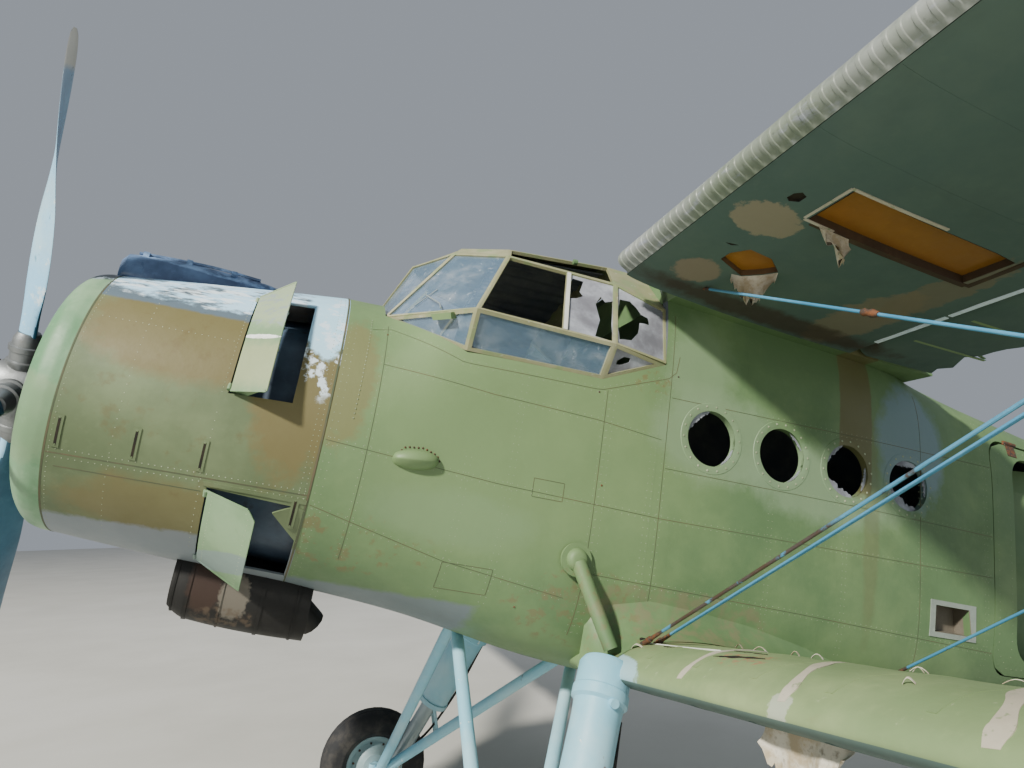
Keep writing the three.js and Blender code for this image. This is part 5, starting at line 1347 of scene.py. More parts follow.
def build_doors():
    """The cargo door with the entry door in it, which rests ajar into the cabin."""
    x0, x1, z0, z1, radius = DOORWAY
    shape = door_panel(x0 + 0.006, x1 - 0.013, z0 + 0.006, z1 - 0.016, radius - 0.006)
    door = piece("cargo_door_skin", shape, "olive_paint", "cargo_door", fix=True)
    carve(door, slab(rounded_outline(*ENTRY, -1.2), (0, 0.8, 0)))
    smooth_copy("entry_door", "olive_paint", 30)
    heads, inset = [], 0.05
    loop = [(x0 + inset, 0.0), (x0 + inset, z1 - radius), (x0 + radius, z1 - inset),
            (x1 - radius, z1 - inset), (x1 - inset, z1 - radius), (x1 - inset, z0 + radius),
            (x1 - radius, z0 + inset), (x0 + radius, z0 + inset), (x0 + inset, z0 + radius),
            (x0 + inset, 0.0)]
    heads.append(spaced(line_on(FUSELAGE, loop, count=200), 0.05))
    for x in (6.02, 6.91):
        heads.append(spaced(line_on(FUSELAGE, [(x, -0.6), (x, 0.75)]), 0.05))
    points, normals = stacked(heads)
    piece("cargo_door_rivets", domes(points, normals), "rivet_heads", like="cargo_door")
    knuckles = []
    for x in (6.10, 6.99):
        points, normals = on_skin(FUSELAGE, [x - 0.06, x + 0.06], [0.851, 0.851])
        knuckles.append(tube(points + normals * 0.004, 0.0145, 12))
        plate, plate_normals = line_on(FUSELAGE, [(x, 0.84), (x, 0.76)], count=8)
        knuckles.append(strip((plate, plate_normals), 0.09, 0.004))
    handle = line_on(FUSELAGE, [(6.95, 0.10), (6.95, 0.02)], count=8)
    knuckles.append(strip(handle, 0.03, 0.012))
    piece("cargo_door_hinges", joined(*knuckles), "rusty_steel", like="cargo_door")


def build_cabin():
    """Floors, panel with its dials, seats and control columns."""
    smooth_copy("cabin_floor", "cabin_lining")
    smooth_copy("instrument_panel", "black_paint", bevel=0.004)
    dials = []
    for row, z in enumerate((0.46, 0.34, 0.23)):
        for y in np.linspace(-0.62, 0.62, 9 - row):
            dials.append(slab(hoop(2.021, y, z, 0.045, circle(20)), (0.006, 0, 0)))
    piece("instrument_dials", joined(*dials), "white_paint", like="instrument_panel")
    for side_name, side in SIDES.items():
        node = "pilot_seat_" + side_name
        smooth_copy(node, "seat_leather", bevel=0.03)
        y = side * 0.4
        column = np.array([[2.36, y, -0.30], [2.34, y, 0.02], [2.30, y, 0.20]])
        wheel = hoop(2.29, y, 0.26, 0.13, np.linspace(0, 2 * math.pi, 25))
        piece("control_column_" + side_name, joined(tube(column, 0.018, 10), tube(wheel, 0.012, 8)),
              "black_paint", like="instrument_panel")


# Cowl, engine and propeller

def turned(profile, sides=64, closed=False):
    """A profile of (x, radius) pairs turned about the thrust line."""
    profile = np.asarray(profile, float)
    a = circle(sides)
    rings = np.stack([np.repeat(profile[:, :1], sides, 1), profile[:, 1:] * np.cos(a)[None],
                      profile[:, 1:] * np.sin(a)[None]], -1)
    return looped(rings) if closed else lofted(rings)


def curve_through(points, count):
    """A smooth curve through points: a Catmull-Rom spline, evenly split between them."""
    p = np.asarray(points, float)
    p = np.vstack([2 * p[0] - p[1], p, 2 * p[-1] - p[-2]])
    t = np.linspace(0, len(p) - 3 - 1e-9, count)
    i, f = t.astype(int), (t % 1)[:, None]
    a, b, c, d = p[i], p[i + 1], p[i + 2], p[i + 3]
    return 0.5 * (2 * b + (c - a) * f + (2 * a - 5 * b + 4 * c - d) * f**2
                  + (3 * b - a - 3 * c + d) * f**3)


FLAP_PIN_LIFT = 0.0103  # from a cowl flap's straight edge out to its pin


def cowl_half_width(x, z):
    """Half widths of the cowl at places x and z."""
    return half_width(COWL, np.atleast_1d(x), np.atleast_1d(z))


def flap_frame(side, low_z, high_z, hinge_x):
    """Corners of a cowl flap's straight pin, the direction along it and the way outwards."""
    low, high = (np.array([hinge_x, side * cowl_half_width(hinge_x, z)[0], z])
                 for z in (low_z, high_z))
    along = (high - low) / np.linalg.norm(high - low)
    return low, high, along, np.array([0, side * along[2], -side * along[1]])


def flap_plate(side, low_z, high_z, hinge_x, length, degrees, high_share, rows=10, arc=22):
    """A flap flared like part of a cone: every point of its curved front edge is carried aft and
    outwards along the skin's normal there, and the plate keeps one thickness."""
    out = flap_frame(side, low_z, high_z, hinge_x)[-1]
    z = np.linspace(low_z + 0.008, high_z - 0.008, arc)
    points, normals = on_skin(COWL, hinge_x, z, side)
    normals[:, 0] = 0
    normals = unit(normals)
    turn = math.radians(degrees)
    towards = np.array([math.cos(turn), 0, 0]) + normals * math.sin(turn)
    share = np.linspace(0, 1, rows)[:, None]
    reach = 0.012 + share * (length * np.interp(np.arange(arc), [0, arc - 3, arc - 1],
                                                [1, 1, high_share])[None] - 0.012)
    outer = points[None] + out * FLAP_PIN_LIFT + towards[None] * reach[..., None]
    return outer, outer - normals[None] * 0.007


def build_cowl():
    """Nose ring, upper and lower panels with their flaps, latches and the drum inside."""
    ring = curve_through([(0.3467, 0.690), (0.300, 0.686), (0.250, 0.668), (0.212, 0.630),
                          (0.192, 0.590), (0.190, 0.566), (0.204, 0.551), (0.3467, 0.548)], 60)
    piece("nose_ring_skin", turned(ring, 160, closed=True), "pale_green_paint", "cowl_nose_ring")
    openings = []
    for name, side in SIDES.items():
        for kind, hinge_x, length, flap_length, low_z, high_z, degrees, share in COWL_FLAPS:
            low_z = max(low_z, EXHAUST_FLAP_Z) if side > 0 else low_z
            low, high, _, out = flap_frame(side, low_z, high_z, hinge_x)
            wall = np.array([low - out * 0.15, high - out * 0.15, high + out * 0.15,
                             low + out * 0.15])
            openings.append(lofted([wall, wall + [length, 0, 0]]))
            build_flap(kind, name, side, low_z, high_z, hinge_x, flap_length, degrees, share)
    for kind, z0, z1 in (("upper", -1.2, COWL_SEAM_Z + 0.00015),
                         ("lower", COWL_SEAM_Z - 0.00015, 1.2)):
        shape, outer = skin_shell(COWL, COWL[0, 0], COWL[-1, 0], 0.012, 30, 180)
        skin = piece("cowl_" + kind + "_skin", shape, "cowl_paint", "cowl_" + kind,
                     inside=("drum_paint", outer))
        carve(skin, slab([(0.2, -1.2, z0), (1.7, -1.2, z0), (1.7, -1.2, z1), (0.2, -1.2, z1)],
                         (0, 2.4, 0)), *openings)
    drum = turned([(0.95, 0.30), (0.952, 0.635), (1.05, 0.655), (1.50, 0.700), (1.505, 0.30),
                   (1.49, 0.30), (1.485, 0.688), (1.05, 0.643), (0.965, 0.62), (0.965, 0.30)], 96,
                  closed=True)
    piece("cowl_inner_drum", drum, "drum_paint", like="engine", fix=True)
    cowl_seams()


def build_flap(kind, name, side, low_z, high_z, hinge_x, length, degrees, share):
    """One cowl flap: its flared plate, pins, hems, ribs and rivets, and the upper one's web."""
    node = "cowl_flap_" + kind + "_" + name
    outer, inner = flap_plate(side, low_z, high_z, hinge_x, length, degrees, share)
    arc = outer.shape[1]
    plate = closed_sheet(outer, inner, flip=side < 0)
    low, high, along, out = flap_frame(side, low_z, high_z, hinge_x)
    lift = out * FLAP_PIN_LIFT
    pins = [tube([end + lift + inwards * 0.012, end + lift + inwards * 0.046], 0.010, 16)
            for end, inwards in ((low, along), (high, -along))]
    normals = unit(np.cross(np.gradient(outer, axis=0), np.gradient(outer, axis=1)))
    normals *= np.sign((normals * out).sum(2, keepdims=True))
    # Raised hems round the plate and two ribs on its inner face
    edge = [(outer[:, 0], normals[:, 0]), (outer[:, -1], normals[:, -1]), (outer[-1], normals[-1])]
    hem = [strip((points, n), 0.012, 0.0022) for points, n in edge]
    for k in (arc // 3, 2 * arc // 3):
        hem.append(strip((inner[:, k], -normals[:, k]), 0.016, 0.014, -0.001))
    web = []
    if kind == "upper":
        tip = inner[-1, 0] + along * 0.02
        root = inner[0, 0] - out * 0.045 + along * 0.02
        web = [slab([root, tip, inner[-1, 0] - out * 0.012 + along * 0.02,
                     root + (tip - root) * 0.4 - out * 0.05], along * 0.003)]
    piece(node + "_skin", joined(plate, *pins, *hem, *web), "cowl_flap_paint", node, angle=30,
          fix=True)
    heads = stacked([spaced((outer[1], normals[1]), 0.022), spaced((outer[-2], normals[-2]), 0.03)])
    piece(node + "_rivets", domes(*heads, 0.0035, 0.0018), "rivet_heads", like=node)


COWL_SEAM = [(0.36, COWL_SEAM_Z), (1.505, COWL_SEAM_Z)]
# Rows of rivets on each side of the cowl, columns: places as (x, z), pitch (0 for the sidebar's),
# shift
COWL_RIVETS = [(COWL_SEAM, 0.028, -0.020), (COWL_SEAM, 0.028, 0.020),
               ([(1.485, -0.70), (1.485, 0.80)], 0.026, 0),
               ([(1.460, -0.70), (1.460, 0.80)], 0.026, 0),
               ([(0.372, -0.66), (0.372, 0.66)], 0.026, 0),
               ([(0.62, -0.66), (0.62, 0.62)], 0, 0), ([(1.02, -0.66), (1.02, 0.0)], 0, 0),
               ([(1.035, 0.055), (1.045, 0.645)], 0.024, 0.016),
               ([(1.485, 0.055), (1.495, 0.645)], 0.024, -0.14),
               ([(0.4, 0.33), (1.03, 0.33)], 0.03, 0)]
# Gaps on each side, columns: places, count of points, width, height over the skin
COWL_GAPS = [(COWL_SEAM, 80, 0.006, 0.0008), ([(1.5035, -0.74), (1.5035, 0.84)], 90, 0.009, 0.0025),
             ([(0.4, -0.385), (1.03, -0.39)], 80, 0.004, 0.0008)]
# Slotted latches, columns: x, lower and upper end as heights over the seam
COWL_LATCHES = [(0.395, 0.025, 0.165), (0.715, 0.025, 0.165), (1.005, 0.025, 0.165),
                (1.455, -0.16, -0.02)]


def cowl_seams():
    """Panel gaps, rivets and the slotted latches of the cowl."""
    sizes = bpy.context.scene.biplane_sizes
    gaps, heads, latches, slots = [], [], [], []
    for side in SIDES.values():
        for places, count, width, height in COWL_GAPS:
            gaps.append(strip(line_on(COWL, places, side, count), width, height))
        for places, pitch, shift in COWL_RIVETS:
            heads.append(spaced(line_on(COWL, places, side), pitch or sizes.rivet_pitch, shift))
        points, normals = on_skin(COWL, [1.362, 1.461, 1.507, 1.505],
                                  [-0.435, -0.386, -0.40, -0.555], side)
        latches.append(slab(points + normals * 0.003, normals.mean(0) * -0.012))
        rail = line_on(COWL, [(1.03, -0.352), (1.505, -0.362)], side)
        latches.append(strip(rail, 0.022, 0.004))
        for x, low, high in COWL_LATCHES:
            low, high = COWL_SEAM_Z + low, COWL_SEAM_Z + high
            latches.append(strip(line_on(COWL, [(x, low), (x, high)], side, 16), 0.034, 0.004))
            # A dark strip in each latch stands for its slot: painted shade
            slots.append(strip(line_on(COWL, [(x, low + 0.012), (x, high - 0.012)], side, 16),
                               0.011, 0.0048, 0))
            ends, normals = on_skin(COWL, x, [low + 0.012, high - 0.012], side)
            latches.append(domes(ends + normals * 0.004, normals, 0.007, 0.004, 8))
    for x in (0.353, 1.505):
        gaps.append(strip(round_skin(COWL, x, -90, 270, 180), 0.007, 0.0012))
    piece("cowl_seams", joined(*gaps), "seam_shadow", like="cowl_upper", angle=60)
    piece("cowl_latches", joined(*latches), "cowl_paint", like="cowl_upper")
    piece("cowl_latch_slots", joined(*slots), "dark_hollow", like="cowl_upper")
    points, normals = stacked(heads)
    clear = np.ones(len(points), bool)
    for _, hinge_x, length, _, low_z, high_z, _, _ in COWL_FLAPS:
        clear &= ~((points[:, 0] > hinge_x - 0.004) & (points[:, 0] < hinge_x + length)
                   & (points[:, 2] > low_z) & (points[:, 2] < high_z))
    piece("cowl_rivets", domes(points[clear], normals[clear], 0.0038, 0.002), "rivet_heads",
          like="cowl_upper")


def box_loft(table, outline, stations=36):
    """A soft box along the thrust line: a rounded outline scaled by half width, top and bottom."""
    x = np.linspace(table[0][0], table[-1][0], stations)
    half, top, bottom = smooth_rows(table, x).T[:, :, None]
    u, v = np.asarray(outline, float).T[:, None]
    return lofted(np.stack(np.broadcast_arrays(x[:, None], u * half, (top + bottom) / 2
                                               + v * (top - bottom) / 2), -1))


def soft_outline(power, count=56):
    """A superellipse outline, as shares of the half width and half height."""
    a = circle(count)
    return np.stack([squared(np.cos(a), power), squared(np.sin(a), power)], -1)


def build_intakes():
    """The intake scoop on the cowl, the oil cooler barrel under it and the exhaust pipe."""
    scoop = [(0.296, 0.140, 0.800, 0.640), (0.320, 0.155, 0.832, 0.640),
             (0.720, 0.150, 0.868, 0.640), (1.020, 0.110, 0.868, 0.680),
             (1.180, 0.060, 0.848, 0.740)]
    obj = piece("intake_scoop_skin", box_loft(scoop, soft_outline(3.2)), "scoop_paint",
                "intake_scoop")
    carve(obj, slab([(0.27, -0.115, 0.712), (0.27, 0.115, 0.712), (0.27, 0.115, 0.795),
                     (0.27, -0.115, 0.795)], (0.13, 0, 0)), angle=30)
    rails = []
    for y in (-0.10, -0.03, 0.05, 0.11):
        path = np.array([[0.36, y, 0.842], [0.72, y * 0.95, 0.869], [1.0, y * 0.7, 0.872]])
        rails.append(tube(curve_through(path, 20), 0.009, 8))
    for x in (0.40, 0.62, 0.86):
        rails.append(strip((np.stack([np.full(20, x), np.linspace(-0.13, 0.13, 20),
                                      np.full(20, 0.856 if x > 0.5 else 0.838)], -1),
                            np.tile([0, 0, 1.0], (20, 1))), 0.03, 0.012, -0.02))
    piece("scoop_rails", joined(*rails), "scoop_paint", like="intake_scoop")
    cooler = [(0.965, 0.180, -0.640, -0.985), (1.060, 0.196, -0.640, -1.030),
              (1.480, 0.200, -0.640, -1.070), (1.670, 0.190, -0.690, -1.075)]
    obj = piece("oil_cooler_skin", box_loft(cooler, soft_outline(2.4)), "black_paint",
                "oil_cooler")
    carve(obj, tube([[0.90, 0, -0.86], [1.03, 0, -0.87]], 0.145, 40),
          tube([[1.60, 0, -0.90], [1.75, 0, -0.905]], 0.160, 40), angle=30)
    bands = []
    u, v = np.vstack([soft_outline(2.4), soft_outline(2.4)[:1]]).T
    normals = unit(np.stack([u * 0, u, v], -1))
    for x, width in ((0.985, 0.010), (1.055, 0.018), (1.22, 0.010), (1.42, 0.018), (1.60, 0.010)):
        half, top, bottom = smooth_rows(cooler, x)[0]
        line = np.stack([np.full_like(u, x), u * (half + 0.002),
                         (top + bottom) / 2 + v * ((top - bottom) / 2 + 0.002)], -1)
        bands.append(strip((line, normals), width, 0.003))
    core = [tube([[1.035, y, -0.87], [1.60, y, -0.90]], 0.006, 6)
            for y in np.linspace(-0.12, 0.12, 9)]
    piece("oil_cooler_bands", joined(*bands), "black_paint", like="oil_cooler")
    piece("oil_cooler_core", joined(*core), "dark_metal", like="oil_cooler")
    smooth_copy("exhaust_pipe", "black_paint", 50)


def build_engine():
    """Crankcase, nine finned cylinders with pushrods, and the ignition ring."""
    case = curve_through([(0.120, 0.055), (0.300, 0.058), (0.400, 0.080), (0.430, 0.150),
                          (0.520, 0.230), (0.620, 0.298), (0.650, 0.325), (0.850, 0.325),
                          (0.900, 0.290), (1.200, 0.275), (1.5117, 0.270)], 70)
    case = np.vstack([[(0.1200, 0.0005)], case, [(1.5117, 0.0005)]])
    parts = [turned(case, 72)]
    bolts = []
    # A cylinder, columns: distance from the thrust line, radius over and between its fins
    fins = [(reach, 0.098 if k % 2 else 0.080)
            for k, reach in enumerate(np.linspace(0.30, 0.56, 27))]
    head = [(0.56, 0.098), (0.60, 0.096), (0.635, 0.085), (0.648, 0.06)]
    along, radii = np.array(fins + head).T
    for i in range(9):
        a = 2 * math.pi * i / 9
        out = np.array([0, math.sin(a), math.cos(a)])
        side = np.array([0, math.cos(a), -math.sin(a)])
        path = np.array([0.74, 0, 0]) + out * along[:, None]
        parts.append(tube(path, radii, 24))
        for s in (-1, 1):
            foot = np.array([0.60, 0, 0]) + out * 0.29 + side * 0.035 * s
            top = np.array([0.655, 0, 0]) + out * 0.60 + side * 0.07 * s
            parts.append(tube(between(foot, top, np.linspace(0, 1, 6)), 0.013, 8))
            box = np.array([0.64, 0, 0]) + out * 0.60 + side * 0.07 * s
            parts.append(tube(box + np.array([0.09, 0, 0]) * np.linspace(-0.3, 1, 8)[:, None],
                              0.032 * np.sin(np.linspace(0.5, 2.6, 8)), 12))
        bolts.append(np.array([0.53, 0, 0]) + out * 0.245)
    parts.append(tube(hoop(0.50, 0, 0, 0.36, np.linspace(0, 2 * math.pi, 73)), 0.014, 8))
    piece("engine_castings", joined(*parts), "dark_metal", "engine", angle=30)
    piece("engine_bolts", domes(bolts, np.tile([-1.0, 0, 0], (len(bolts), 1)), 0.014, 0.012),
          "rusty_steel", like="engine")


# Blade sections, columns: radius, chord, thickness, blade angle in degrees
BLADE = np.array([[0.150, 0.110, 0.110, 44], [0.330, 0.120, 0.090, 44], [0.560, 0.205, 0.048, 42],
                  [0.900, 0.250, 0.030, 34], [1.100, 0.248, 0.025, 24], [1.300, 0.240, 0.020, 15],
                  [1.640, 0.195, 0.012, 6], [1.770, 0.125, 0.009, 4], [1.800, 0.050, 0.006, 4]])
BLADE_START = math.radians(28.2)
# Cuff at a blade's foot, columns: distance from the axis, radius
CUFF = [(0.06, 0.078), (0.12, 0.078), (0.135, 0.086), (0.15, 0.086), (0.155, 0.074),
        (0.20, 0.074), (0.205, 0.082), (0.23, 0.082), (0.235, 0.070), (0.27, 0.066), (0.30, 0.050)]


def build_propeller():
    """Four blades lofted from lens sections, their cuffs, the hub and its dome."""
    r = np.concatenate([np.linspace(0.15, 1.7, 40), np.linspace(1.71, 1.80, 12)])
    chord, thick, degrees = smooth_rows(BLADE, r).T
    t = circle(36)
    lens = np.stack([0.5 * np.cos(t), 0.5 * np.sin(t) * (0.75 + 0.25 * np.cos(t))], -1)
    reach, size = np.array(CUFF).T
    blades, cuffs = [], []
    for i in range(4):
        a = BLADE_START + 2 * math.pi * i / 4
        radial = np.array([0, -math.sin(a), math.cos(a)])
        tangent = np.array([0, math.cos(a), math.sin(a)])
        pitch = np.radians(degrees)[:, None]
        along = tangent * np.cos(pitch) + np.array([-1.0, 0, 0]) * np.sin(pitch)
        across = np.cross(radial, along)
        rings = ((radial * r[:, None])[:, None]
                 + along[:, None] * (lens[None, :, :1] * chord[:, None, None])
                 + across[:, None] * (lens[None, :, 1:] * thick[:, None, None]))
        blades.append(lofted(rings))
        cuffs.append(tube(radial * reach[:, None], size, 28))
    obj = piece("propeller_blades", joined(*blades), "blade_paint", "propeller", angle=50, fix=True)
    # Faces that look aft get the deep blue painted shade
    second_finish(obj, "blade_back_shade", 0, least=0.15)
    hub = turned([(-0.125, 0.0005), (-0.125, 0.098), (-0.118, 0.112), (-0.105, 0.128),
                  (-0.095, 0.135), (0.070, 0.135), (0.085, 0.130), (0.118, 0.098),
                  (0.1197, 0.0005)], 48)
    piece("propeller_hub", joined(hub, *cuffs), "bare_metal", "propeller", fix=True)
    bolts = domes(hoop(-0.112, 0, 0, 0.118, circle(12)), np.tile([-1.0, 0, 0], (12, 1)), 0.014,
                  0.016)
    piece("propeller_hub_bolts", bolts, "rusty_steel", like="propeller_dome")
    dome = turned(np.vstack([[(-0.280, 0.0005)], curve_through(
        [(-0.280, 0.02), (-0.276, 0.05), (-0.262, 0.078), (-0.225, 0.092), (-0.1253, 0.092)], 30),
        [(-0.1253, 0.0005)]]), 56)
    piece("propeller_dome_skin", dome, "white_paint", "propeller_dome")


# Cockpit glazing

# Corners from the windscreen foot aft. Each row runs sill, bulge rail, eave rail, crown rail and
# ridge, as x, distance from the centreline and z
CANOPY = np.array([
    [[1.703, .506, .694], [1.703, .499, .702], [1.703, .490, .712], [1.703, .262, .840],
     [1.703, 0, .888]],
    [[2.118, .826, .535], [2.105, .950, .731], [2.045, .350, 1.262], [2.110, .210, 1.370],
     [2.160, 0, 1.440]],
    [[2.350, .838, .540], [2.345, .952, .737], [2.340, .520, 1.268], [2.372, .400, 1.368],
     [2.372, 0, 1.480]],
    [[2.890, .862, .556], [2.905, .940, .747], [2.975, .700, 1.207], [3.045, .420, 1.440],
     [3.045, 0, 1.500]],
    [[3.270, .866, .729], [3.270, .872, .738], [3.270, .800, 1.090], [3.270, .470, 1.420],
     [3.270, 0, 1.500]]])
SCREEN_TOP = np.array([1.858, 0, 1.250])
# Holes broken in the port panes, as shares of the pane along its first edge and away from it
BROKEN = {
    "fixed": [[(.55, .03), (.78, .02), (.93, .10), (.92, .32), (.74, .26), (.68, .34), (.60, .20)],
              [(.06, .60), (.35, .70), (.60, .60), (.74, .70), (.66, .80), (.70, .95), (.3, .93),
               (.05, .96)]],
    "rear": [[(.10, .08), (.45, .05), (.78, .09), (.83, .3), (.76, .42), (.66, .50), (.64, .62),
              (.52, .64), (.48, .45), (.30, .42), (.15, .30)]],
    "lower_rear": [[(.50, .30), (.60, .24), (.76, .31), (.80, .45), (.68, .53), (.54, .44)]]}


def glazing_corners(side):
    """Corners of one side's panes, by name, and of its roof plates."""
    c = CANOPY * [1, side, 1]

    def part(a, b, x):
        """The point of a straight edge where x has a value."""
        return a + (b - a) * (x - a[0]) / (b[0] - a[0])

    top, low = part(c[2, 2], c[3, 2], 2.7), part(c[1, 1], c[3, 1], 2.6)
    panes = {"screen": (c[0, 2], c[0, 4], SCREEN_TOP, c[1, 2]),
             "quarter": (c[0, 2], c[1, 2], c[2, 2], c[1, 1]), "chin": (c[0, 1], c[1, 1], c[1, 0]),
             "sliding": (c[1, 1], c[2, 2], top, low), "fixed": (low, top, c[3, 2], c[3, 1]),
             "rear": (c[3, 1], c[3, 2], c[4, 2], c[4, 1]),
             "lower": (c[1, 0], c[1, 1], c[3, 1], c[3, 0]),
             "lower_rear": (c[3, 0], c[3, 1], c[4, 0]),
             "roof": (c[2, 2], c[2, 3], c[3, 3], c[3, 2])}
    plates = [(SCREEN_TOP, c[1, 4], c[1, 3], c[1, 2]), (c[1, 2], c[1, 3], c[2, 3], c[2, 2]),
              (c[1, 3], c[1, 4], c[2, 4], c[2, 3]), (c[2, 3], c[2, 4], c[3, 4], c[3, 3]),
              (c[3, 2], c[3, 3], c[4, 3], c[4, 2]), (c[3, 3], c[3, 4], c[4, 4], c[4, 3])]
    return {name: np.array(ring) for name, ring in panes.items()}, [np.array(p) for p in plates]


def outward(ring):
    """Unit normal of a ring of corners, away from the middle of the cockpit."""
    normal = np.cross(ring[2] - ring[0], ring[-1] - ring[1])
    normal /= np.linalg.norm(normal)
    return normal * np.sign(normal @ (ring.mean(0) - [2.5, 0, 0.9]))


def drawn_in(ring, width):
    """A ring of corners moved inwards by a width along the lines that halve its angles."""
    back, ahead = np.roll(ring, 1, 0) - ring, np.roll(ring, -1, 0) - ring
    back, ahead = unit(back), unit(ahead)
    half = np.sqrt(np.maximum((1 - (back * ahead).sum(1, keepdims=True)) / 2, 0.05))
    return ring + unit(back + ahead) * width / half


def rim(ring, width, depth):
    """A folded bar round a pane: an outer ring and one drawn in, carried inwards by a depth."""
    n, inner = outward(ring), drawn_in(ring, width)
    return looped([ring, inner, inner - n * depth, ring - n * depth])


def pane_place(ring, u, v, lift=0.0):
    """Points of a pane at shares along its first edge and away from it, raised by a lift."""
    a, b, c, d = ring if len(ring) == 4 else (*ring, ring[0])
    u, v = np.asarray(u, float)[:, None], np.asarray(v, float)[:, None]
    return ((1 - u) * (1 - v) * a + u * (1 - v) * b + u * v * c + (1 - u) * v * d
            + outward(ring) * lift)


LOW_PANES = ("lower", "chin", "lower_rear")  # the bars round these are wider


def build_glazing():
    """Bars, rivets, roof plates, panes, broken glass, white post, wiper and the ribbed lining."""
    bars, heads, sheets = [], [], []
    for side in SIDES.values():
        panes, plates = glazing_corners(side)
        for plate in plates:
            n = outward(plate)
            bars.append(slab(plate, -n * 0.005))
        for key, ring in panes.items():
            n = outward(ring)
            bars.append(rim(ring, 0.020 if key in LOW_PANES else 0.0145, 0.02))
            line = drawn_in(ring, 0.009)
            for a, b in zip(line, np.roll(line, -1, 0)):
                points = between(a, b, np.linspace(0, 1, 30))
                heads.append(spaced((points, np.tile(n, (30, 1))), 0.035))
            if side < 0 and key in ("sliding", "roof"):
                continue
            glass = drawn_in(ring, 0.008) - n * 0.009
            sheet = slab(glass, -n * 0.004)
            if side < 0 and key in BROKEN:
                obj = piece("pane_" + key, sheet, "shard_glazing", like="canopy_glass", fix=True)
                holes = [pane_place(ring, *np.array(hole).T, 0.05) for hole in BROKEN[key]]
                carve(obj, *[slab(hole, -n * 0.12) for hole in holes])
            else:
                sheets.append(sheet)
        if side < 0:
            port = panes
    piece("canopy_bars", joined(*bars), "frame_paint", "canopy_frame", fix=True)
    points, normals = stacked(heads)
    piece("canopy_rivets", domes(points, normals, 0.0032, 0.0016), "rivet_heads",
          like="canopy_frame")
    piece("canopy_panes", joined(*sheets), "dusty_glazing", "canopy_glass", fix=True)
    # White post between the sliding window's opening and the fixed pane
    a, b = port["fixed"][:2]
    n = outward(port["fixed"])
    post = strip((between(a, b, np.linspace(0.02, 0.98, 6)), np.tile(n, (6, 1))), 0.022, 0.004,
                 -0.024)
    piece("window_post", post, "white_paint", like="canopy_frame")
    # Wiper, its arm and its olive motor box, and a small aerial foot on the roof
    foot, tip, low = (pane_place(port["quarter"], [u], [v], lift)[0]
                      for u, v, lift in ((.02, .62, .014), (.25, .30, .018), (.10, .56, .014)))
    blade = pane_place(port["quarter"], [.12, .36], [.26, .35], 0.008)
    piece("wiper", joined(tube([foot, low, tip], 0.0045, 8), tube(blade, 0.004, 6)),
          "piston_metal", like="canopy_frame")
    box = pane_place(port["chin"], [.56, .77, .79, .60], [.05, .04, .24, .30], 0.035)
    knob = pane_place(port["roof"], [.8, .8], [.62, .66], 0.01)
    parts = joined(slab(box, -outward(port["chin"]) * 0.045), tube(knob, 0.018, 10))
    piece("wiper_motor", parts, "olive_paint", like="canopy_frame", fix=True)
    # Ribbed lining under the roof and down the starboard side: a cosine across its folds
    t = np.linspace(0.02, 0.98, 4)[:, None, None]
    c = CANOPY[2] + (CANOPY[3] - CANOPY[2]) * t
    mirror = c * [1, -1, 1]
    fold = np.concatenate([mirror[:, 3:4], c[:, 4:5], c[:, 3:4], c[:, 2:3],
                           c[:, 2:3] * 0.45 + c[:, 1:2] * 0.55], axis=1)
    s = np.linspace(0, 4, 150)
    i = np.minimum(s.astype(int), 3)
    f = (s - i)[None, :, None]
    grid = fold[:, i] * (1 - f) + fold[:, i + 1] * f
    inwards = np.array([2.6, 0, 0.8]) - grid
    inwards[..., 0] = 0
    inwards = unit(inwards)
    grid = grid + inwards * (0.040 + 0.010 * np.cos(s * math.pi * 7))[None, :, None]
    piece("roof_lining", closed_sheet(grid, grid + inwards * 0.004), "cabin_lining",
          like="cabin_floor", angle=60, fix=True)


# Wings

# Finish of each wing and, for the faces that look up or down, of its other side; the underside
# finish is a darker copy, painted shade
FIRST_FINISH = {"upper": "wing_under_paint", "lower": "wing_top_paint"}
SECOND_FINISH = {"upper": ("wing_top_paint", 2, 1), "lower": ("wing_under_paint", 2, -1)}


def sagged(grid, ys, shares, surface, depth=0.0035):
    """Draws the fabric in between the ribs: the square of a sine over each rib bay, strongest
    amidships."""
    bay = np.sin(math.pi * ys / RIB_PITCH) ** 2
    amid = np.clip(np.sin(math.pi * np.clip((shares - 0.05) / 0.9, 0, 1)), 0, 1)
    grid = grid.copy()
    grid[..., 2] -= depth * bay[:, None] * amid[None] * np.broadcast_to(surface, shares.shape)
    return grid


def wing_body(wing, side, y0, y1, outline, stations):
    """Closed skin over part of a wing. outline holds (share, surface) pairs round its section,
    where surface runs from 1 on top to -1 below."""
    ys = np.linspace(y0, y1, stations)
    shares, surface = np.asarray(outline, float).T
    top = sagged(wing_grid(wing, ys, shares, 1), ys, shares, 1)
    bottom = sagged(wing_grid(wing, ys, shares, -1), ys, shares, -1)
    mix = ((surface + 1) / 2)[None, :, None]
    grid = top * mix + bottom * (1 - mix)
    rings = on_wing(wing, side, grid.reshape(-1, 3)).reshape(grid.shape)
    return lofted(rings, flip=side < 0)


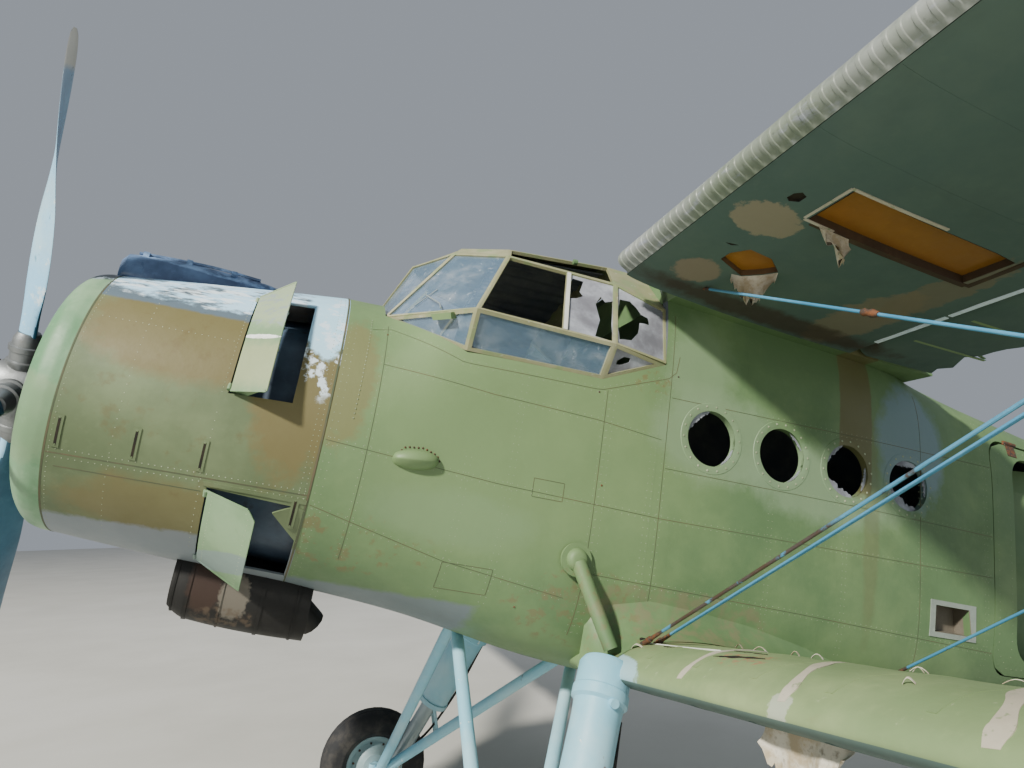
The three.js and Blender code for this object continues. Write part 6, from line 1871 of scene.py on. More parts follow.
def build_wing(wing, side_name):
    """Main body of one wing ahead of its flap, its full section outboard, and the tip."""
    side = SIDES[side_name]
    upper = wing["name"] == "upper"
    aft = np.linspace(wing["wall"], 0.14 if upper else 0.02, 26)
    if upper:
        nose = [(0.1325, 1), (0.1325, 0.85), (0.10, 0.85), (0.065, 0.80), (0.045, 0.55),
                (0.037, 0.1), (0.035, -0.5), (0.034, -1)]
    else:
        nose = [(s, 1) for s in (0.012, 0.006, 0.002)] + [(0, 0)] + [
            (s, -1) for s in (0.002, 0.006, 0.012)]
    back = [(s, -1) for s in aft[::-1]]
    if upper:
        back = [(s, -1) for s in (0.05, 0.08, 0.11)] + back
    outline = [(s, 1) for s in aft] + nose + back
    last = wing["last_y"]
    inner_end = last if upper else wing["span"] - 0.002
    stations = int(inner_end / RIB_PITCH * 5)
    bodies = [wing_body(wing, side, 0, inner_end, outline, stations)]
    full = np.concatenate([np.linspace(0, 1, 26) ** 2, [1]])
    whole = [(s, 1) for s in full[::-1][1:]] + [(s, -1) for s in full[1:]]
    if not upper:
        whole = [(s, 1) for s in np.linspace(1, wing["wall"] - 0.002, 8)] + [
            (s, -1) for s in np.linspace(wing["wall"] - 0.002, 1, 8)]
    bodies.append(wing_body(wing, side, last, wing["span"], whole, 30))
    node = wing["name"] + "_wing_" + side_name
    obj = piece(node + "_skin", joined(*bodies), FIRST_FINISH[wing["name"]], node, angle=40,
                fix=True)
    second_finish(obj, *SECOND_FINISH[wing["name"]])


def build_surface(wing, kind, side_name, y0, y1):
    """A flap or aileron: a round nose about its hinge, then straight to the trailing edge, with
    fabric that sags between its ribs."""
    side = SIDES[side_name]
    share, chord = wing["hinge"], wing["chord"]
    top, bottom = (v[0] for v in foil([share]))
    scale = chord * wing["thickness"]
    x, z, r = share * chord, (top + bottom) / 2 * scale, (top - bottom) / 2 * scale
    a = np.radians(np.linspace(90, 270, 15))
    nose = np.stack([x + r * np.cos(a), z + r * np.sin(a)], -1)
    run = np.linspace(0.05, 1, 14)[:, None]
    low = np.array([x, z - r]) + (np.array([chord, -0.003 * scale]) - [x, z - r]) * run
    high = np.array([chord, 0.003 * scale]) + (np.array([x, z + r]) - [chord, 0.003 * scale]) * (
        np.linspace(0, 0.95, 14)[:, None])
    outline = np.vstack([nose, low, high])
    stations = int((y1 - y0) / RIB_PITCH * 5)
    ys = np.linspace(y0, y1, stations)
    grid = np.stack(np.broadcast_arrays(outline[None, :, 0], ys[:, None], outline[None, :, 1]), -1)
    grid = grid.copy()
    amid = np.sin(math.pi * np.clip((outline[:, 0] - x) / (chord - x), 0, 1))
    grid[..., 2] -= 0.003 * (np.sin(math.pi * ys / RIB_PITCH) ** 2)[:, None] * (
        amid * np.sign(outline[:, 1] - z))[None]
    if kind == "upper_flap":
        # The inner end of the port trailing edge is torn back in ragged steps
        rng = np.random.default_rng(8)
        torn = np.interp(ys, [0, 0.2, 0.35, 0.8, 1.1, 1.3], [0.06, 0.05, 0.11, 0.09, 0.04, 0])
        torn = torn * (0.35 + 1.1 * rng.random(stations)) * (side < 0)
        over = np.clip((outline[:, 0] - x) / (chord - x), 0, 1) ** 3
        grid[..., 0] -= torn[:, None] * over[None]
    rings = on_wing(wing, side, grid.reshape(-1, 3)).reshape(grid.shape)
    node = kind + "_" + side_name
    finish = FIRST_FINISH[wing["name"]]
    obj = piece(node + "_skin", lofted(rings, flip=side > 0), finish, node, angle=50, fix=True)
    second_finish(obj, *SECOND_FINISH[wing["name"]])
    plates = []
    for y in np.arange(y0 + RIB_PITCH - y0 % RIB_PITCH, y1, RIB_PITCH):
        for surface in (1, -1):
            line = np.stack([np.linspace(x, chord - 0.01, 12), np.full(12, y), np.linspace(
                z + surface * r, surface * 0.003 * scale, 12)], -1)
            normal = np.tile([0.08 * surface, 0, surface], (12, 1)).astype(float)
            normal = (normal * [1, side, 1]) @ wing_place(wing, side)[0].T
            plates.append(strip((on_wing(wing, side, line), normal), 0.02, 0.0008))
    obj = piece(node + "_tapes", joined(*plates), finish, like=node)
    second_finish(obj, *SECOND_FINISH[wing["name"]])


SLAT_RIB_PITCH = 0.055


def build_slat(side_name):
    """The slat along the upper wing's nose, with a raised rib every 55 mm like the real one."""
    side = SIDES[side_name]
    wing = UPPER_WING
    shares = np.concatenate([np.linspace(0.36, 0, 22) ** 2, np.linspace(0, 0.155, 10)[1:] ** 2])
    tops, bottoms = foil(shares)
    heights = np.where(np.arange(len(shares)) < 22, tops, bottoms)
    outline = np.vstack([np.stack([shares, heights], -1),
                         [(0.031, -0.0265), (0.0315, 0.018), (0.045, 0.036), (0.06, 0.048),
                          (0.09, 0.066), (0.1296, 0.084)]]) * wing["chord"]
    y0, y1 = SLAT_Y
    count = int((y1 - y0) / SLAT_RIB_PITCH)
    steps = np.array([0, 0.30, 0.36, 0.5, 0.64, 0.70])
    rise = np.array([0, 0, 0.8, 1, 0.8, 0]) * 0.004
    ys = (y0 + (np.arange(count)[:, None] + steps[None]) * (y1 - y0) / count).ravel()
    ys, rises = np.append(ys, y1), np.append(np.tile(rise, count), 0)
    centre = np.array([0.05, 0.02]) * wing["chord"]
    order = np.arange(len(outline))
    skin = (order < len(shares)) * np.clip((order - 16) / 4, 0, 1)
    away = unit(outline - centre)
    section = outline[None] + away[None] * (rises[:, None, None] * skin[None, :, None])
    grid = np.stack(np.broadcast_arrays(section[..., 0], ys[:, None], section[..., 1]), -1)
    rings = on_wing(wing, side, grid.reshape(-1, 3)).reshape(grid.shape)
    node = "slat_" + side_name
    piece(node + "_skin", lofted(rings, flip=side < 0), "slat_paint", node, angle=30, fix=True)


def skin_ring(wing, side, places, surface, lift, steps=12):
    """A ring on the wing's skin through (y, chord share) places, with points between them, moved
    away from the skin by a lift."""
    places = np.asarray(places, float)
    t = np.linspace(0, len(places), len(places) * steps, endpoint=False)
    index = np.arange(len(places) + 1)
    y, share = (np.interp(t, index, np.append(places[:, k], places[0, k])) for k in (0, 1))
    return wing_points(wing, side, y, share, surface, lift * surface)


# Openings in the port upper wing's underside: places round each as (y, chord share), its depth,
# and the finishes of its floor and walls
OPENINGS = [([(1.0, .186), (1.262, .188), (1.25, .535), (1.235, .592), (.985, .588)], 0.058,
             "spar_varnish", "spar_brown"),
            ([(.484, .150), (.56, .150), (.648, .174), (.64, .23), (.559, .275), (.49, .256),
              (.413, .226)], 0.05, "spar_varnish", "spar_brown"),
            ([(1.055, .122), (1.07, .112), (1.11, .114), (1.135, .124), (1.12, .138),
              (1.075, .138)], 0.03, "dark_hollow", "dark_hollow"),
            ([(.625, .118), (.635, .128), (.645, .146), (.622, .134)], 0.02, "dark_hollow",
             "dark_hollow")]


# Rags of torn fabric: wing, surface, places of the upper edge, lengths that hang, seed
RAGS = [(UPPER_WING, -1, [(.40, .205), (.413, .228), (.49, .258), (.556, .276)],
         [.05, .15, .17, .06], 1),
        (UPPER_WING, -1, [(.99, .215), (.988, .235), (.987, .265), (.986, .29)],
         [.05, .11, .16, .09], 2),
        (LOWER_WING, -1, [(1.00, .10), (1.14, .10), (1.29, .10), (1.42, .10)],
         [.07, .24, .15, .03], 3)]


def wing_openings():
    """Bays open to the underside where fabric is gone, each lined, with torn edges and rags."""
    skin = bpy.data.objects["upper_wing_port_skin"]
    tools = []
    for i, (places, depth, floor, walls) in enumerate(OPENINGS):
        out, deep = (skin_ring(UPPER_WING, -1, places, -1, lift) for lift in (0.03, -depth))
        tools.append(lofted([out, deep]))
        centre = deep.mean(0)
        rings = [skin_ring(UPPER_WING, -1, places, -1, lift) for lift in (-0.001, -depth + 0.016)]
        rings = np.array([ring + (centre - ring) * 0.012 for ring in rings])
        count = rings.shape[1]
        faces = [list(range(count, 2 * count))] + quads(2, count, wrap=True).tolist()
        piece("wing_bay_" + str(i), (rings.reshape(-1, 3), faces), floor, inside=(walls, 1),
              like="upper_wing_port")
    carve(skin, *tools, angle=40)
    # Bare spar flanges along the large opening, and torn fabric left round both
    edges = [strip(wing_line(UPPER_WING, -1, [a, c], [b, d], -1), 0.030, 0.0022)
             for a, b, c, d in ((0.985, .20, 0.972, .60), (0.97, .606, 1.27, .606))]
    piece("bay_edges", joined(*edges), "spar_brown", like="upper_wing_port")
    seams = [strip(wing_line(UPPER_WING, -1, [a, c], [b, d], -1), 0.014, 0.0028)
             for a, b, c, d in ((1.003, .178, 1.268, .181), (1.268, .181, 1.272, .40),
                                (0.995, .18, 0.992, .25))]
    piece("bay_torn_edge", joined(*seams), "rib_tape", like="upper_wing_port")
    for i, (wing, surface, top, reach, seed) in enumerate(RAGS):
        obj, flat, area = rag(i, wing, surface, top, reach, seed)


def rag(i, wing, surface, top, reach, seed):
    """A hanging rag: its upper edge follows the skin, it falls by lengths with a ragged hem, and
    its folds are sines across it that grow downwards."""
    n, rows = 30, 14
    rng = np.random.default_rng(seed)
    top, t = np.asarray(top, float), np.linspace(0, 1, n)
    index = np.linspace(0, 1, len(top))
    y, share = (np.interp(t, index, top[:, k]) for k in (0, 1))
    edge = wing_points(wing, -1, y, share, surface, 0.001 * surface)
    fall = np.interp(t, index, reach) * (0.75 + 0.5 * rng.random(n))
    v = np.linspace(0, 1, rows)[:, None]
    along = edge[-1] - edge[0]
    across = np.cross(along / np.linalg.norm(along), [0, 0, 1.0])
    fold = 0.016 * v * np.sin(t * 17 + seed)[None] + 0.03 * v ** 2
    grid = (edge[None] - np.array([0, 0, 1.0]) * (v * fall[None])[..., None]
            + across * fold[..., None])
    grid[..., 0] += 0.25 * (v * fall[None]) * np.sin(t * 5)[None]
    obj = piece("torn_rag_" + str(i), closed_sheet(grid, grid + across * 0.0012), "torn_cloth",
                like=wing["name"] + "_wing_port", angle=70, fix=True)
    width, length = float(np.linalg.norm(along)), float(fall.max())
    return obj, (width, length), min(max(float(fall.mean()), 0.31 * length), length) * width


def build_wings():
    """Both wings with their slats, flaps and ailerons, the torn fabric and the tapes."""
    for side_name in SIDES:
        for wing in (UPPER_WING, LOWER_WING):
            build_wing(wing, side_name)
        build_slat(side_name)
        for wing, kind, y0, y1 in WING_SURFACES:
            build_surface(wing, kind, side_name, y0, y1)
    wing_openings()
    wing_details()


def wing_details():
    """Rib tapes, the painted highlight along the flap slot, faded tapes and fabric flakes on the
    lower wing, and the tears in it.
    """
    tapes = {(name, surface): [] for name in ("upper", "lower") for surface in (1, -1)}
    for side in SIDES.values():
        for wing in (UPPER_WING, LOWER_WING):
            for y in np.arange(RIB_PITCH, wing["span"] - 0.4, RIB_PITCH):
                for surface in (1, -1):
                    nose = 0.15 if wing["name"] == "upper" and surface > 0 else 0.036
                    line = wing_line(wing, side, [y, y], [nose, wing["wall"] - 0.004], surface)
                    gap = wing is UPPER_WING and surface < 0 and side < 0 and y < 1.4
                    if not gap:
                        tapes[wing["name"], surface].append(strip(line, 0.03, 0.0008))
    for (name, surface), bands in tapes.items():
        piece(name + "_wing_tapes_" + ("top" if surface > 0 else "under"), joined(*bands),
              "wing_top_paint" if surface > 0 else "wing_under_paint",
              like=name + "_wing_port")
    # Bright strips along the flap slot of the port upper wing: painted highlight
    lips = [strip(wing_line(UPPER_WING, -1, [a, b], [0.700, 0.7005], -1), 0.030, 0.0035)
            for a, b in ((0.215, 0.68), (0.70, 3.35))]
    piece("slot_lips", joined(*lips), "slot_lip", like="upper_wing_port")
    # Faded tapes over the nose of the lower wing, curved back where they have slipped
    faded = []
    for y, bend, width in ((0.70, 0.20, 0.030), (1.293, 0.29, 0.042), (2.00, 0.26, 0.055),
                           (2.72, 0.2, 0.05), (3.45, 0.2, 0.04)):
        low = wing_line(LOWER_WING, -1, [y, y - 0.012, y - bend * 0.28, y - bend * 0.6, y - bend],
                        [0.008, 0.04, 0.112, 0.19, 0.30], 1)
        sway = 1 + 0.25 * np.sin(np.linspace(0, 14, 60) + y * 9)
        faded.append(strip(low, width * sway, 0.0012))
    piece("faded_tapes", joined(*faded), "rib_tape", like="lower_wing_port")
    flakes = []
    for y, s, size in ((0.42, .25, .030), (0.50, .27, .05), (0.72, .28, .03), (0.86, .27, .04),
                       (1.33, .27, .05), (1.36, .26, .03), (1.66, .27, .07), (0.12, .06, .05),
                       (1.60, .10, .03), (2.4, .12, .05)):
        points, normals = wing_line(LOWER_WING, -1, [y, y + size], [s, s + size * 0.3], 1)
        lift = 0.018 * np.sin(np.linspace(0, math.pi, 60))[:, None] * normals
        flakes.append(strip((points + lift, normals), 0.016, 0.0015, -0.0005))
    piece("fabric_flakes", joined(*flakes), "torn_cloth", like="lower_wing_port")
    # Tears in the lower wing's top: dark strips, painted shade of the hollow under the fabric
    tears = []
    for y0, s0, y1, s1, w in ((0.70, 0.088, 0.93, 0.125, 0.034), (0.62, 0.17, 0.80, 0.185, 0.028),
                              (0.28, 0.10, 0.36, 0.105, 0.012)):
        line = wing_line(LOWER_WING, -1, [y0, y1], [s0, s1], 1)
        shape = np.sin(np.linspace(0.02, math.pi - 0.02, 60)) * (
            0.8 + 0.3 * np.sin(np.linspace(0, 19, 60)))
        tears.append(strip(line, w * shape + 0.001, 0.0018))
    piece("lower_wing_tears", joined(*tears), "dark_hollow", like="lower_wing_port")


# Struts, wires, tail and landing gear

def faired_bar(start, end, chord, thickness, rows=24):
    """A streamlined strut: lens sections with a blunt nose, in planes square to the strut."""
    start, end = np.asarray(start, float), np.asarray(end, float)
    along = (end - start) / np.linalg.norm(end - start)
    side = np.cross(along, [1.0, 0, 0])
    side /= np.linalg.norm(side)
    fore = np.cross(side, along)
    t = circle(40)
    u = -0.5 * np.cos(t)
    v = 0.5 * np.sin(t) * np.sqrt(np.clip((0.62 - 0.5 * u), 0, 1)) * 1.05
    section = fore * (u * chord)[:, None] + side * (v * thickness)[:, None]
    path = between(start, end, np.linspace(0, 1, rows))
    return lofted(path[:, None] + section[None])


def build_struts():
    """Interplane struts with their raking feet and heads, and the tailplane's struts."""
    for side_name, side in SIDES.items():
        node = "interplane_strut_" + side_name
        foot, head = (3.56, side * 4.95, -0.47), (3.70, side * 5.25, 1.44)
        low, high = np.array([3.575, side * 4.985, -0.18]), np.array([3.68, side * 5.215, 1.15])
        parts = [faired_bar(foot, head, 0.19, 0.072)]
        for end, joint in (((3.21, side * 4.95, -0.50), low), ((3.96, side * 4.95, -0.47), low),
                           ((3.29, side * 5.25, 1.43), high), ((4.13, side * 5.25, 1.41), high)):
            parts.append(faired_bar(end, joint, 0.075, 0.050, 10))
        for joint in (low, high):
            parts.append(tube([joint + [0, 0, z] for z in (-0.05, -0.045, 0.045, 0.05)],
                              [0.03, 0.052, 0.052, 0.03], 20))
        piece(node + "_skin", joined(*parts), "olive_paint", node)
        node = "tailplane_strut_" + side_name
        piece(node + "_skin", faired_bar((10.25, side * 0.19, -0.26), (10.42, side * 1.75, 0.265),
                                         0.11, 0.045), "blue_paint", node)


def wire_with_ends(start, end, radius, finish_parts, fittings, end_size=0.017):
    """One streamlined wire with a threaded fork and a lock nut at each end."""
    start, end = np.asarray(start, float), np.asarray(end, float)
    path = between(start, end, np.linspace(0, 1, 24))
    finish_parts.append(tube(path, radius, 10))
    for a, b in ((start, end), (end, start)):
        way = (b - a) / np.linalg.norm(b - a)
        reach = np.array([0, 0.02, 0.05, 0.11, 0.112, 0.135, 0.137, 0.20, 0.24])
        size = np.array([0.6, 1, 1, 0.9, 1.15, 1.15, 0.8, 0.7, 0.5]) * end_size
        fittings.append(tube(a + way * reach[:, None], size, 12))


def build_wires():
    """Doubled flying wires, a landing wire, their forks, spacers and the cable to the wing top."""
    for side_name, side in SIDES.items():
        node = "bracing_wires_" + side_name
        low, high = np.array([3.24, side * 0.96, -0.80]), np.array([3.40, side * 5.16, 1.385])
        wires, rusty, fittings = [], [], []
        wire_with_ends(low + [0.030, 0, 0], high + [0.030, 0, 0], 0.0078, wires, fittings, 0.013)
        wire_with_ends(low - [0.030, 0, 0], high - [0.030, 0, 0], 0.0078, rusty, fittings, 0.013)
        wire_with_ends((3.34, side * 0.935, 1.215), (3.34, side * 4.86, -0.49), 0.0075, wires,
                       fittings, 0.012)
        middle = np.array([3.32, side * 2.99, 0.322])
        fittings.append(tube([middle + [x, 0, 0] for x in (-0.066, -0.06, 0.055, 0.062)],
                             [0.02, 0.034, 0.034, 0.02], 16))
        # Turnbuckle on the landing wire, and the rear wire up to the strut's head
        buckle = np.array([3.34, side * 2.232, 0.652])
        fittings.append(tube(buckle + np.array([0, side * 0.917, -0.398]) * np.array(
            [-0.045, -0.03, -0.01, 0.01, 0.03, 0.045])[:, None],
            [0.011, 0.017, 0.013, 0.019, 0.015, 0.011], 10))
        wire_with_ends((4.40, side * 1.30, -0.785), (4.13, side * 5.20, 1.36), 0.0065, wires,
                       fittings, 0.011)
        piece(node + "_wires", joined(*wires), "wire_paint", node)
        piece(node + "_rusty", joined(*rusty), "rusty_wire", node)
        piece(node + "_forks", joined(*fittings), "rusty_steel", node)
    shoe = tube([[3.24, -0.93, -0.79], [3.24, -0.99, -0.775]], [0.05, 0.03], 24)
    piece("wire_shoe", shoe, "dark_hollow", like="lower_wing_port")
    cable = on_wing(LOWER_WING, -1, [(0.20, 0.06, 0.16), (0.24, 0.35, 0.165), (0.27, 0.62, 0.175)])
    piece("root_cable", tube(curve_through(cable, 20), 0.004, 6), "white_paint",
          like="bracing_wires_port")


TAIL_RIB_PITCH = 0.3
TAILPLANE_Z = 0.33
FIN_POST_X = 11.44  # the wall at the fin's rear, ahead of the rudder


def lens_section(x0, x1, half, count=26):
    """Streamlined sections, one for each x0, that end in a straight wall: half height over the
    length."""
    s = np.linspace(0, 1, count)
    height = half[:, None] * np.interp(s, [0, 0.02, 0.08, 0.3, 0.6, 1],
                                       [0, 0.36, 0.66, 1.0, 0.92, 0.55])
    x = x0[:, None] + (x1 - x0[:, None]) * s
    return np.hstack([x[:, ::-1], x[:, 1:]]), np.hstack([height[:, ::-1], -height[:, 1:]])


def rib_sag(span, depth):
    """Share by which fabric sags at places along a span: a squared sine over each rib bay."""
    return depth * np.sin(math.pi * span / TAIL_RIB_PITCH)[:, None] ** 2


def tail_rings(x, y, z):
    """Rings of points from arrays or columns of coordinates."""
    return np.stack(np.broadcast_arrays(x, y, z), -1)


def build_tail():
    """Fin, rudder, tailplane and elevators, with fabric that sags between the ribs."""
    rows = np.array([[0.56, 9.45, 0.070], [1.20, 10.01, 0.070], [2.35, 10.75, 0.0525],
                     [2.60, 10.96, 0.042], [2.70, 11.23, 0.021]])
    z = np.concatenate([np.linspace(0.56, 2.4, 36), np.linspace(2.42, 2.70, 14)])
    nose, half = smooth_rows(rows, z).T
    x, y = lens_section(nose, FIN_POST_X, half)
    rings = tail_rings(x, y * (1 - rib_sag(z, 0.02)), z[:, None])
    piece("fin_skin", lofted(rings, flip=True), "olive_paint", "fin", angle=50)
    rudder_rows = np.array([[-0.19, 12.15, 0.042], [0.15, 12.45, 0.042], [1.50, 12.45, 0.042],
                            [2.35, 12.30, 0.042], [2.66, 12.05, 0.0315], [2.76, 11.70, 0.021]])
    z = np.concatenate([np.linspace(-0.19, 0.15, 10), np.linspace(0.18, 2.35, 50),
                        np.linspace(2.38, 2.76, 16)])
    trail, half = smooth_rows(rudder_rows, z).T
    trail = np.minimum(trail, np.interp(z, rudder_rows[:, 0], rudder_rows[:, 1]) + 0.006)
    surface_skin("rudder", z, np.full_like(z, 11.458), trail, half, "z", 1)
    for side_name, side in SIDES.items():
        y = np.concatenate([np.linspace(0.08, 3.15, 46), np.linspace(3.2, 3.6, 18)])
        table = np.array([[0.08, 9.764, 1], [2.1, 9.859, 1], [3.18, 9.910, 0.9],
                          [3.51, 10.061, 0.6], [3.60, 10.200, 0.3]])
        nose, thick = smooth_rows(table, y).T
        x, v = lens_section(nose, 10.81, 0.075 * thick)
        rings = tail_rings(x, side * y[:, None], TAILPLANE_Z + v * (1 - rib_sag(y, 0.03)))
        piece("tailplane_" + side_name + "_skin", lofted(rings), "olive_paint",
              "tailplane_" + side_name, angle=50, fix=True)
        y = np.concatenate([np.linspace(0.255, 3.0, 42), np.linspace(3.05, 3.54, 18)])
        table = np.array([[0.255, 11.47, 0.055], [2.70, 11.47, 0.055], [3.25, 11.41, 0.055],
                          [3.54, 11.17, 0.0385]])
        trail, half = smooth_rows(table, y).T
        trail = np.minimum(trail, np.interp(y, table[:, 0], table[:, 1]) + 0.008)
        surface_skin("elevator_" + side_name, y, np.full_like(y, 10.815), trail, half, "y", side)


def surface_skin(node, span, nose, trail, half, axis, side):
    """A control surface: a half round nose, then straight sides to a thin trailing edge."""
    a = np.radians(np.linspace(90, 270, 13))
    run = np.linspace(0.06, 1, 12)
    sag = rib_sag(span, 0.05)
    span, nose, trail, r = (v[:, None] for v in (span, nose, trail, half))
    flat = nose + r + (trail - nose - r) * run
    x = np.hstack([nose + r + r * np.cos(a), flat, flat[:, ::-1]])
    fade = (1 - run) * r + 0.004 * run - sag * r * np.sin(math.pi * run)
    v = np.hstack([r * np.sin(a), -fade, fade[:, ::-1]])
    rings = tail_rings(x, *((v, span) if axis == "z" else (side * span, TAILPLANE_Z + v)))
    piece(node + "_skin", lofted(rings), "olive_paint", node, angle=50, fix=True)


HUB_Y = -PORT_HUB[1]  # from the centreline to a main wheel's middle


def wheel_turned(profile, hub, sides=72):
    """A (radius, y) profile turned about a wheel's axle, joined end to start."""
    profile = np.asarray(profile, float)
    a = circle(sides)
    rings = np.stack([profile[:, :1] * np.cos(a)[None], np.repeat(profile[:, 1:], sides, 1),
                      profile[:, :1] * np.sin(a)[None]], -1)
    verts, faces = looped(rings)
    return verts + np.asarray(hub), faces


def build_gear():
    """Main legs with their sleeves, collars and pistons, braces, wheels, and the tail wheel."""
    for side_name, side in SIDES.items():
        top = np.array([3.035, side * 1.0, -0.880])
        foot = np.array([2.660, side * (HUB_Y - 0.215), -2.080])
        hub = PORT_HUB * [1, -side, 1]

        def at(share):
            """Points at shares of the way down the leg."""
            return between(top, foot, share)

        sleeve = tube(at([0.0, 0.02, 0.10, 0.105, 0.14, 0.15, 0.20, 0.54, 0.555, 0.56]),
                      [0.112, 0.128, 0.128, 0.134, 0.134, 0.118, 0.114, 0.114, 0.108, 0.09], 48)
        cap = tube(at([0.545, 0.55, 0.575, 0.58]), [0.10, 0.122, 0.122, 0.10], 40)
        piston = tube(at([0.55, 1.0]), 0.056, 32)
        elbow = tube([foot + [0.02, 0, 0.012], [2.55, side * (HUB_Y - 0.215), -2.14]],
                     0.060, 28)
        axle = tube([[2.55, side * (HUB_Y - 0.29), -2.14],
                     [2.55, side * (HUB_Y + 0.118), -2.14]], 0.043, 24)
        filler = []
        lug_side = np.array([0, side, 0])
        for share in (0.12, 0.50):
            p = at([share])[0]
            filler.append(tube([p + lug_side * 0.10, p + lug_side * 0.15], 0.022, 12))
        node = "main_leg_" + side_name
        piece(node + "_tubes", joined(sleeve, cap, elbow, axle, *filler), "blue_paint", node)
        piece(node + "_piston", piston, "piston_metal", node)
        links = []
        for shift in (-0.05, 0.05):
            a, b, c = at([0.57])[0], at([0.80])[0] + [0.20, 0, 0], at([0.97])[0]
            links.append(tube(np.array([a, b, c]) + np.array([0, shift, 0]), 0.016, 10))
        hose = curve_through([at([0.2])[0] + [0.13, 0, 0], at([0.5])[0] + [0.15, 0.01, 0],
                              at([0.8])[0] + [0.10, 0, 0], hub + [0.07, -side * 0.2, 0.10]], 40)
        piece(node + "_links", joined(*links), "blue_paint", node)
        piece(node + "_hose", tube(hose, 0.009, 8), "rubber_seal", like=node)
        node = "leg_braces_" + side_name
        end = np.array([2.55, side * (HUB_Y - 0.262), -2.13])
        parts = []
        for start in ([2.53, side * 0.06, -0.90], [3.30, side * 0.06, -0.985]):
            parts.append(tube(between(np.array(start), end, [0, 0.012, 0.05, 0.95, 0.985, 1.0]),
                              [0.026, 0.032, 0.036, 0.036, 0.032, 0.026], 24))
        parts.append(tube([[2.50, end[1], -2.14], [2.50, end[1], -2.07]], 0.03, 12))
        socket = tube(end + np.array([0, side, 0]) * np.array([-0.035, 0.03])[:, None], 0.058, 32)
        piece(node + "_tubes", joined(*parts, socket), "blue_paint", node)
        build_main_wheel(side_name, hub)
    build_tail_wheel()


def build_main_wheel(side_name, hub):
    """A main wheel: a tyre with four grooves, each a small Gaussian dip, its rim and bolts."""
    node = "main_tyre_" + side_name
    crown = curve_through(mirrored([(0.217, -0.090), (0.245, -0.122), (0.275, -0.130),
                                    (0.335, -0.130), (0.375, -0.098), (0.396, -0.050),
                                    (0.400, 0.0)]), 80)
    for y in (-0.05, -0.017, 0.017, 0.05):
        crown[:, 0] -= 0.006 * np.exp(-((crown[:, 1] - y) / 0.004) ** 2) * (crown[:, 0] > 0.38)
    profile = np.vstack([crown, [(0.2153, 0.085), (0.2153, -0.085)]])
    piece(node + "_skin", wheel_turned(profile, hub, 40), "tyre_rubber", node, angle=25)
    node = "main_rim_" + side_name
    rim = [(0.0445, -0.105), (0.090, -0.105), (0.096, -0.098), (0.105, -0.075), (0.130, -0.048),
           (0.165, -0.034), (0.178, -0.050), (0.200, -0.086), (0.214, -0.090), (0.2147, -0.085),
           (0.2147, 0.085), (0.214, 0.090), (0.200, 0.086), (0.178, 0.040), (0.165, 0.026),
           (0.130, 0.048), (0.105, 0.075), (0.096, 0.098), (0.090, 0.105), (0.0445, 0.105)]
    piece(node + "_skin", wheel_turned(rim, hub, 96), "rim_paint", node, angle=30)
    spots, normals = [], []
    a = circle(10)
    for s in (-1, 1):
        spots.append(hub + np.stack([0.155 * np.cos(a), np.full(10, s * 0.036 - 0.004 * (s > 0)),
                                     0.155 * np.sin(a)], -1))
        normals.append(np.tile([0, float(s), 0], (10, 1)))
    piece(node + "_bolts", domes(np.vstack(spots), np.vstack(normals), 0.011, 0.014, 6),
          "rusty_steel", like=node)


def build_tail_wheel():
    """The tail wheel's tyre and hub; leg and fork keep their solids' shapes, rounded."""
    smooth_copy("tail_leg", "blue_paint", 50)
    smooth_copy("tail_fork", "bare_metal", bevel=0.006)
    low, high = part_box("tail_wheel")
    hub = (np.array(high) + np.array(low)) / 2
    hub = (hub - SHIFT) @ TURN
    crown = curve_through(mirrored([(0.125, -0.078), (0.165, -0.100), (0.205, -0.086),
                                    (0.228, -0.055), (0.235, 0.0)]), 50)
    profile = np.vstack([crown, mirrored([(0.118, 0.070), (0.095, 0.070), (0.085, 0.050),
                                          (0.050, 0.050), (0.045, 0.093), (0.0215, 0.093)])])
    piece("tail_wheel_skin", wheel_turned(profile, hub, 48), "tyre_rubber", "tail_wheel",
          angle=30)


# Stage

# Camera of the photograph, solved in the level frame: place, aim and lens
CAMERA_PLACE = np.array([1.331, -4.173, -0.493])
CAMERA_RIGHT = np.array([0.9294283, -0.33578561, 0.15300673])
CAMERA_UP = np.array([-0.22547865, -0.18856853, 0.95582492])
CAMERA_AHEAD = np.array([0.2921, 0.92287049, 0.25097342])
FOCAL_PIXELS, IMAGE_WIDTH, SENSOR = 686.343, 1024, 36.0


def make_camera():
    """A camera at the photograph's place, aim and angle of view."""
    camera = placed("camera", bpy.data.cameras.new("camera"))
    axes = np.stack([CAMERA_RIGHT, CAMERA_UP, -CAMERA_AHEAD])
    turned_axes = Matrix((axes @ TURN.T).T.tolist()).to_4x4()
    camera.matrix_world = Matrix.Translation(to_row(CAMERA_PLACE)) @ turned_axes
    camera.data.sensor_width = SENSOR
    camera.data.lens = FOCAL_PIXELS / IMAGE_WIDTH * SENSOR
    camera.data.clip_start, camera.data.clip_end = 0.05, 500
    bpy.context.scene.camera = camera


# Studio lights, columns: name, place, target, size, power, colour
LIGHTS = [("key", (-42.5, -28.6, 35.2), (-1.5, 0, 2), 3.6, 70000, "fffaee"),
          ("fill", (3, -17, 4), (0, 0, 2), 10, 260, "dbe8ff"),
          ("rear", (8, 15, 12), (0, 0, 2), 9, 700, "f2f6ff")]


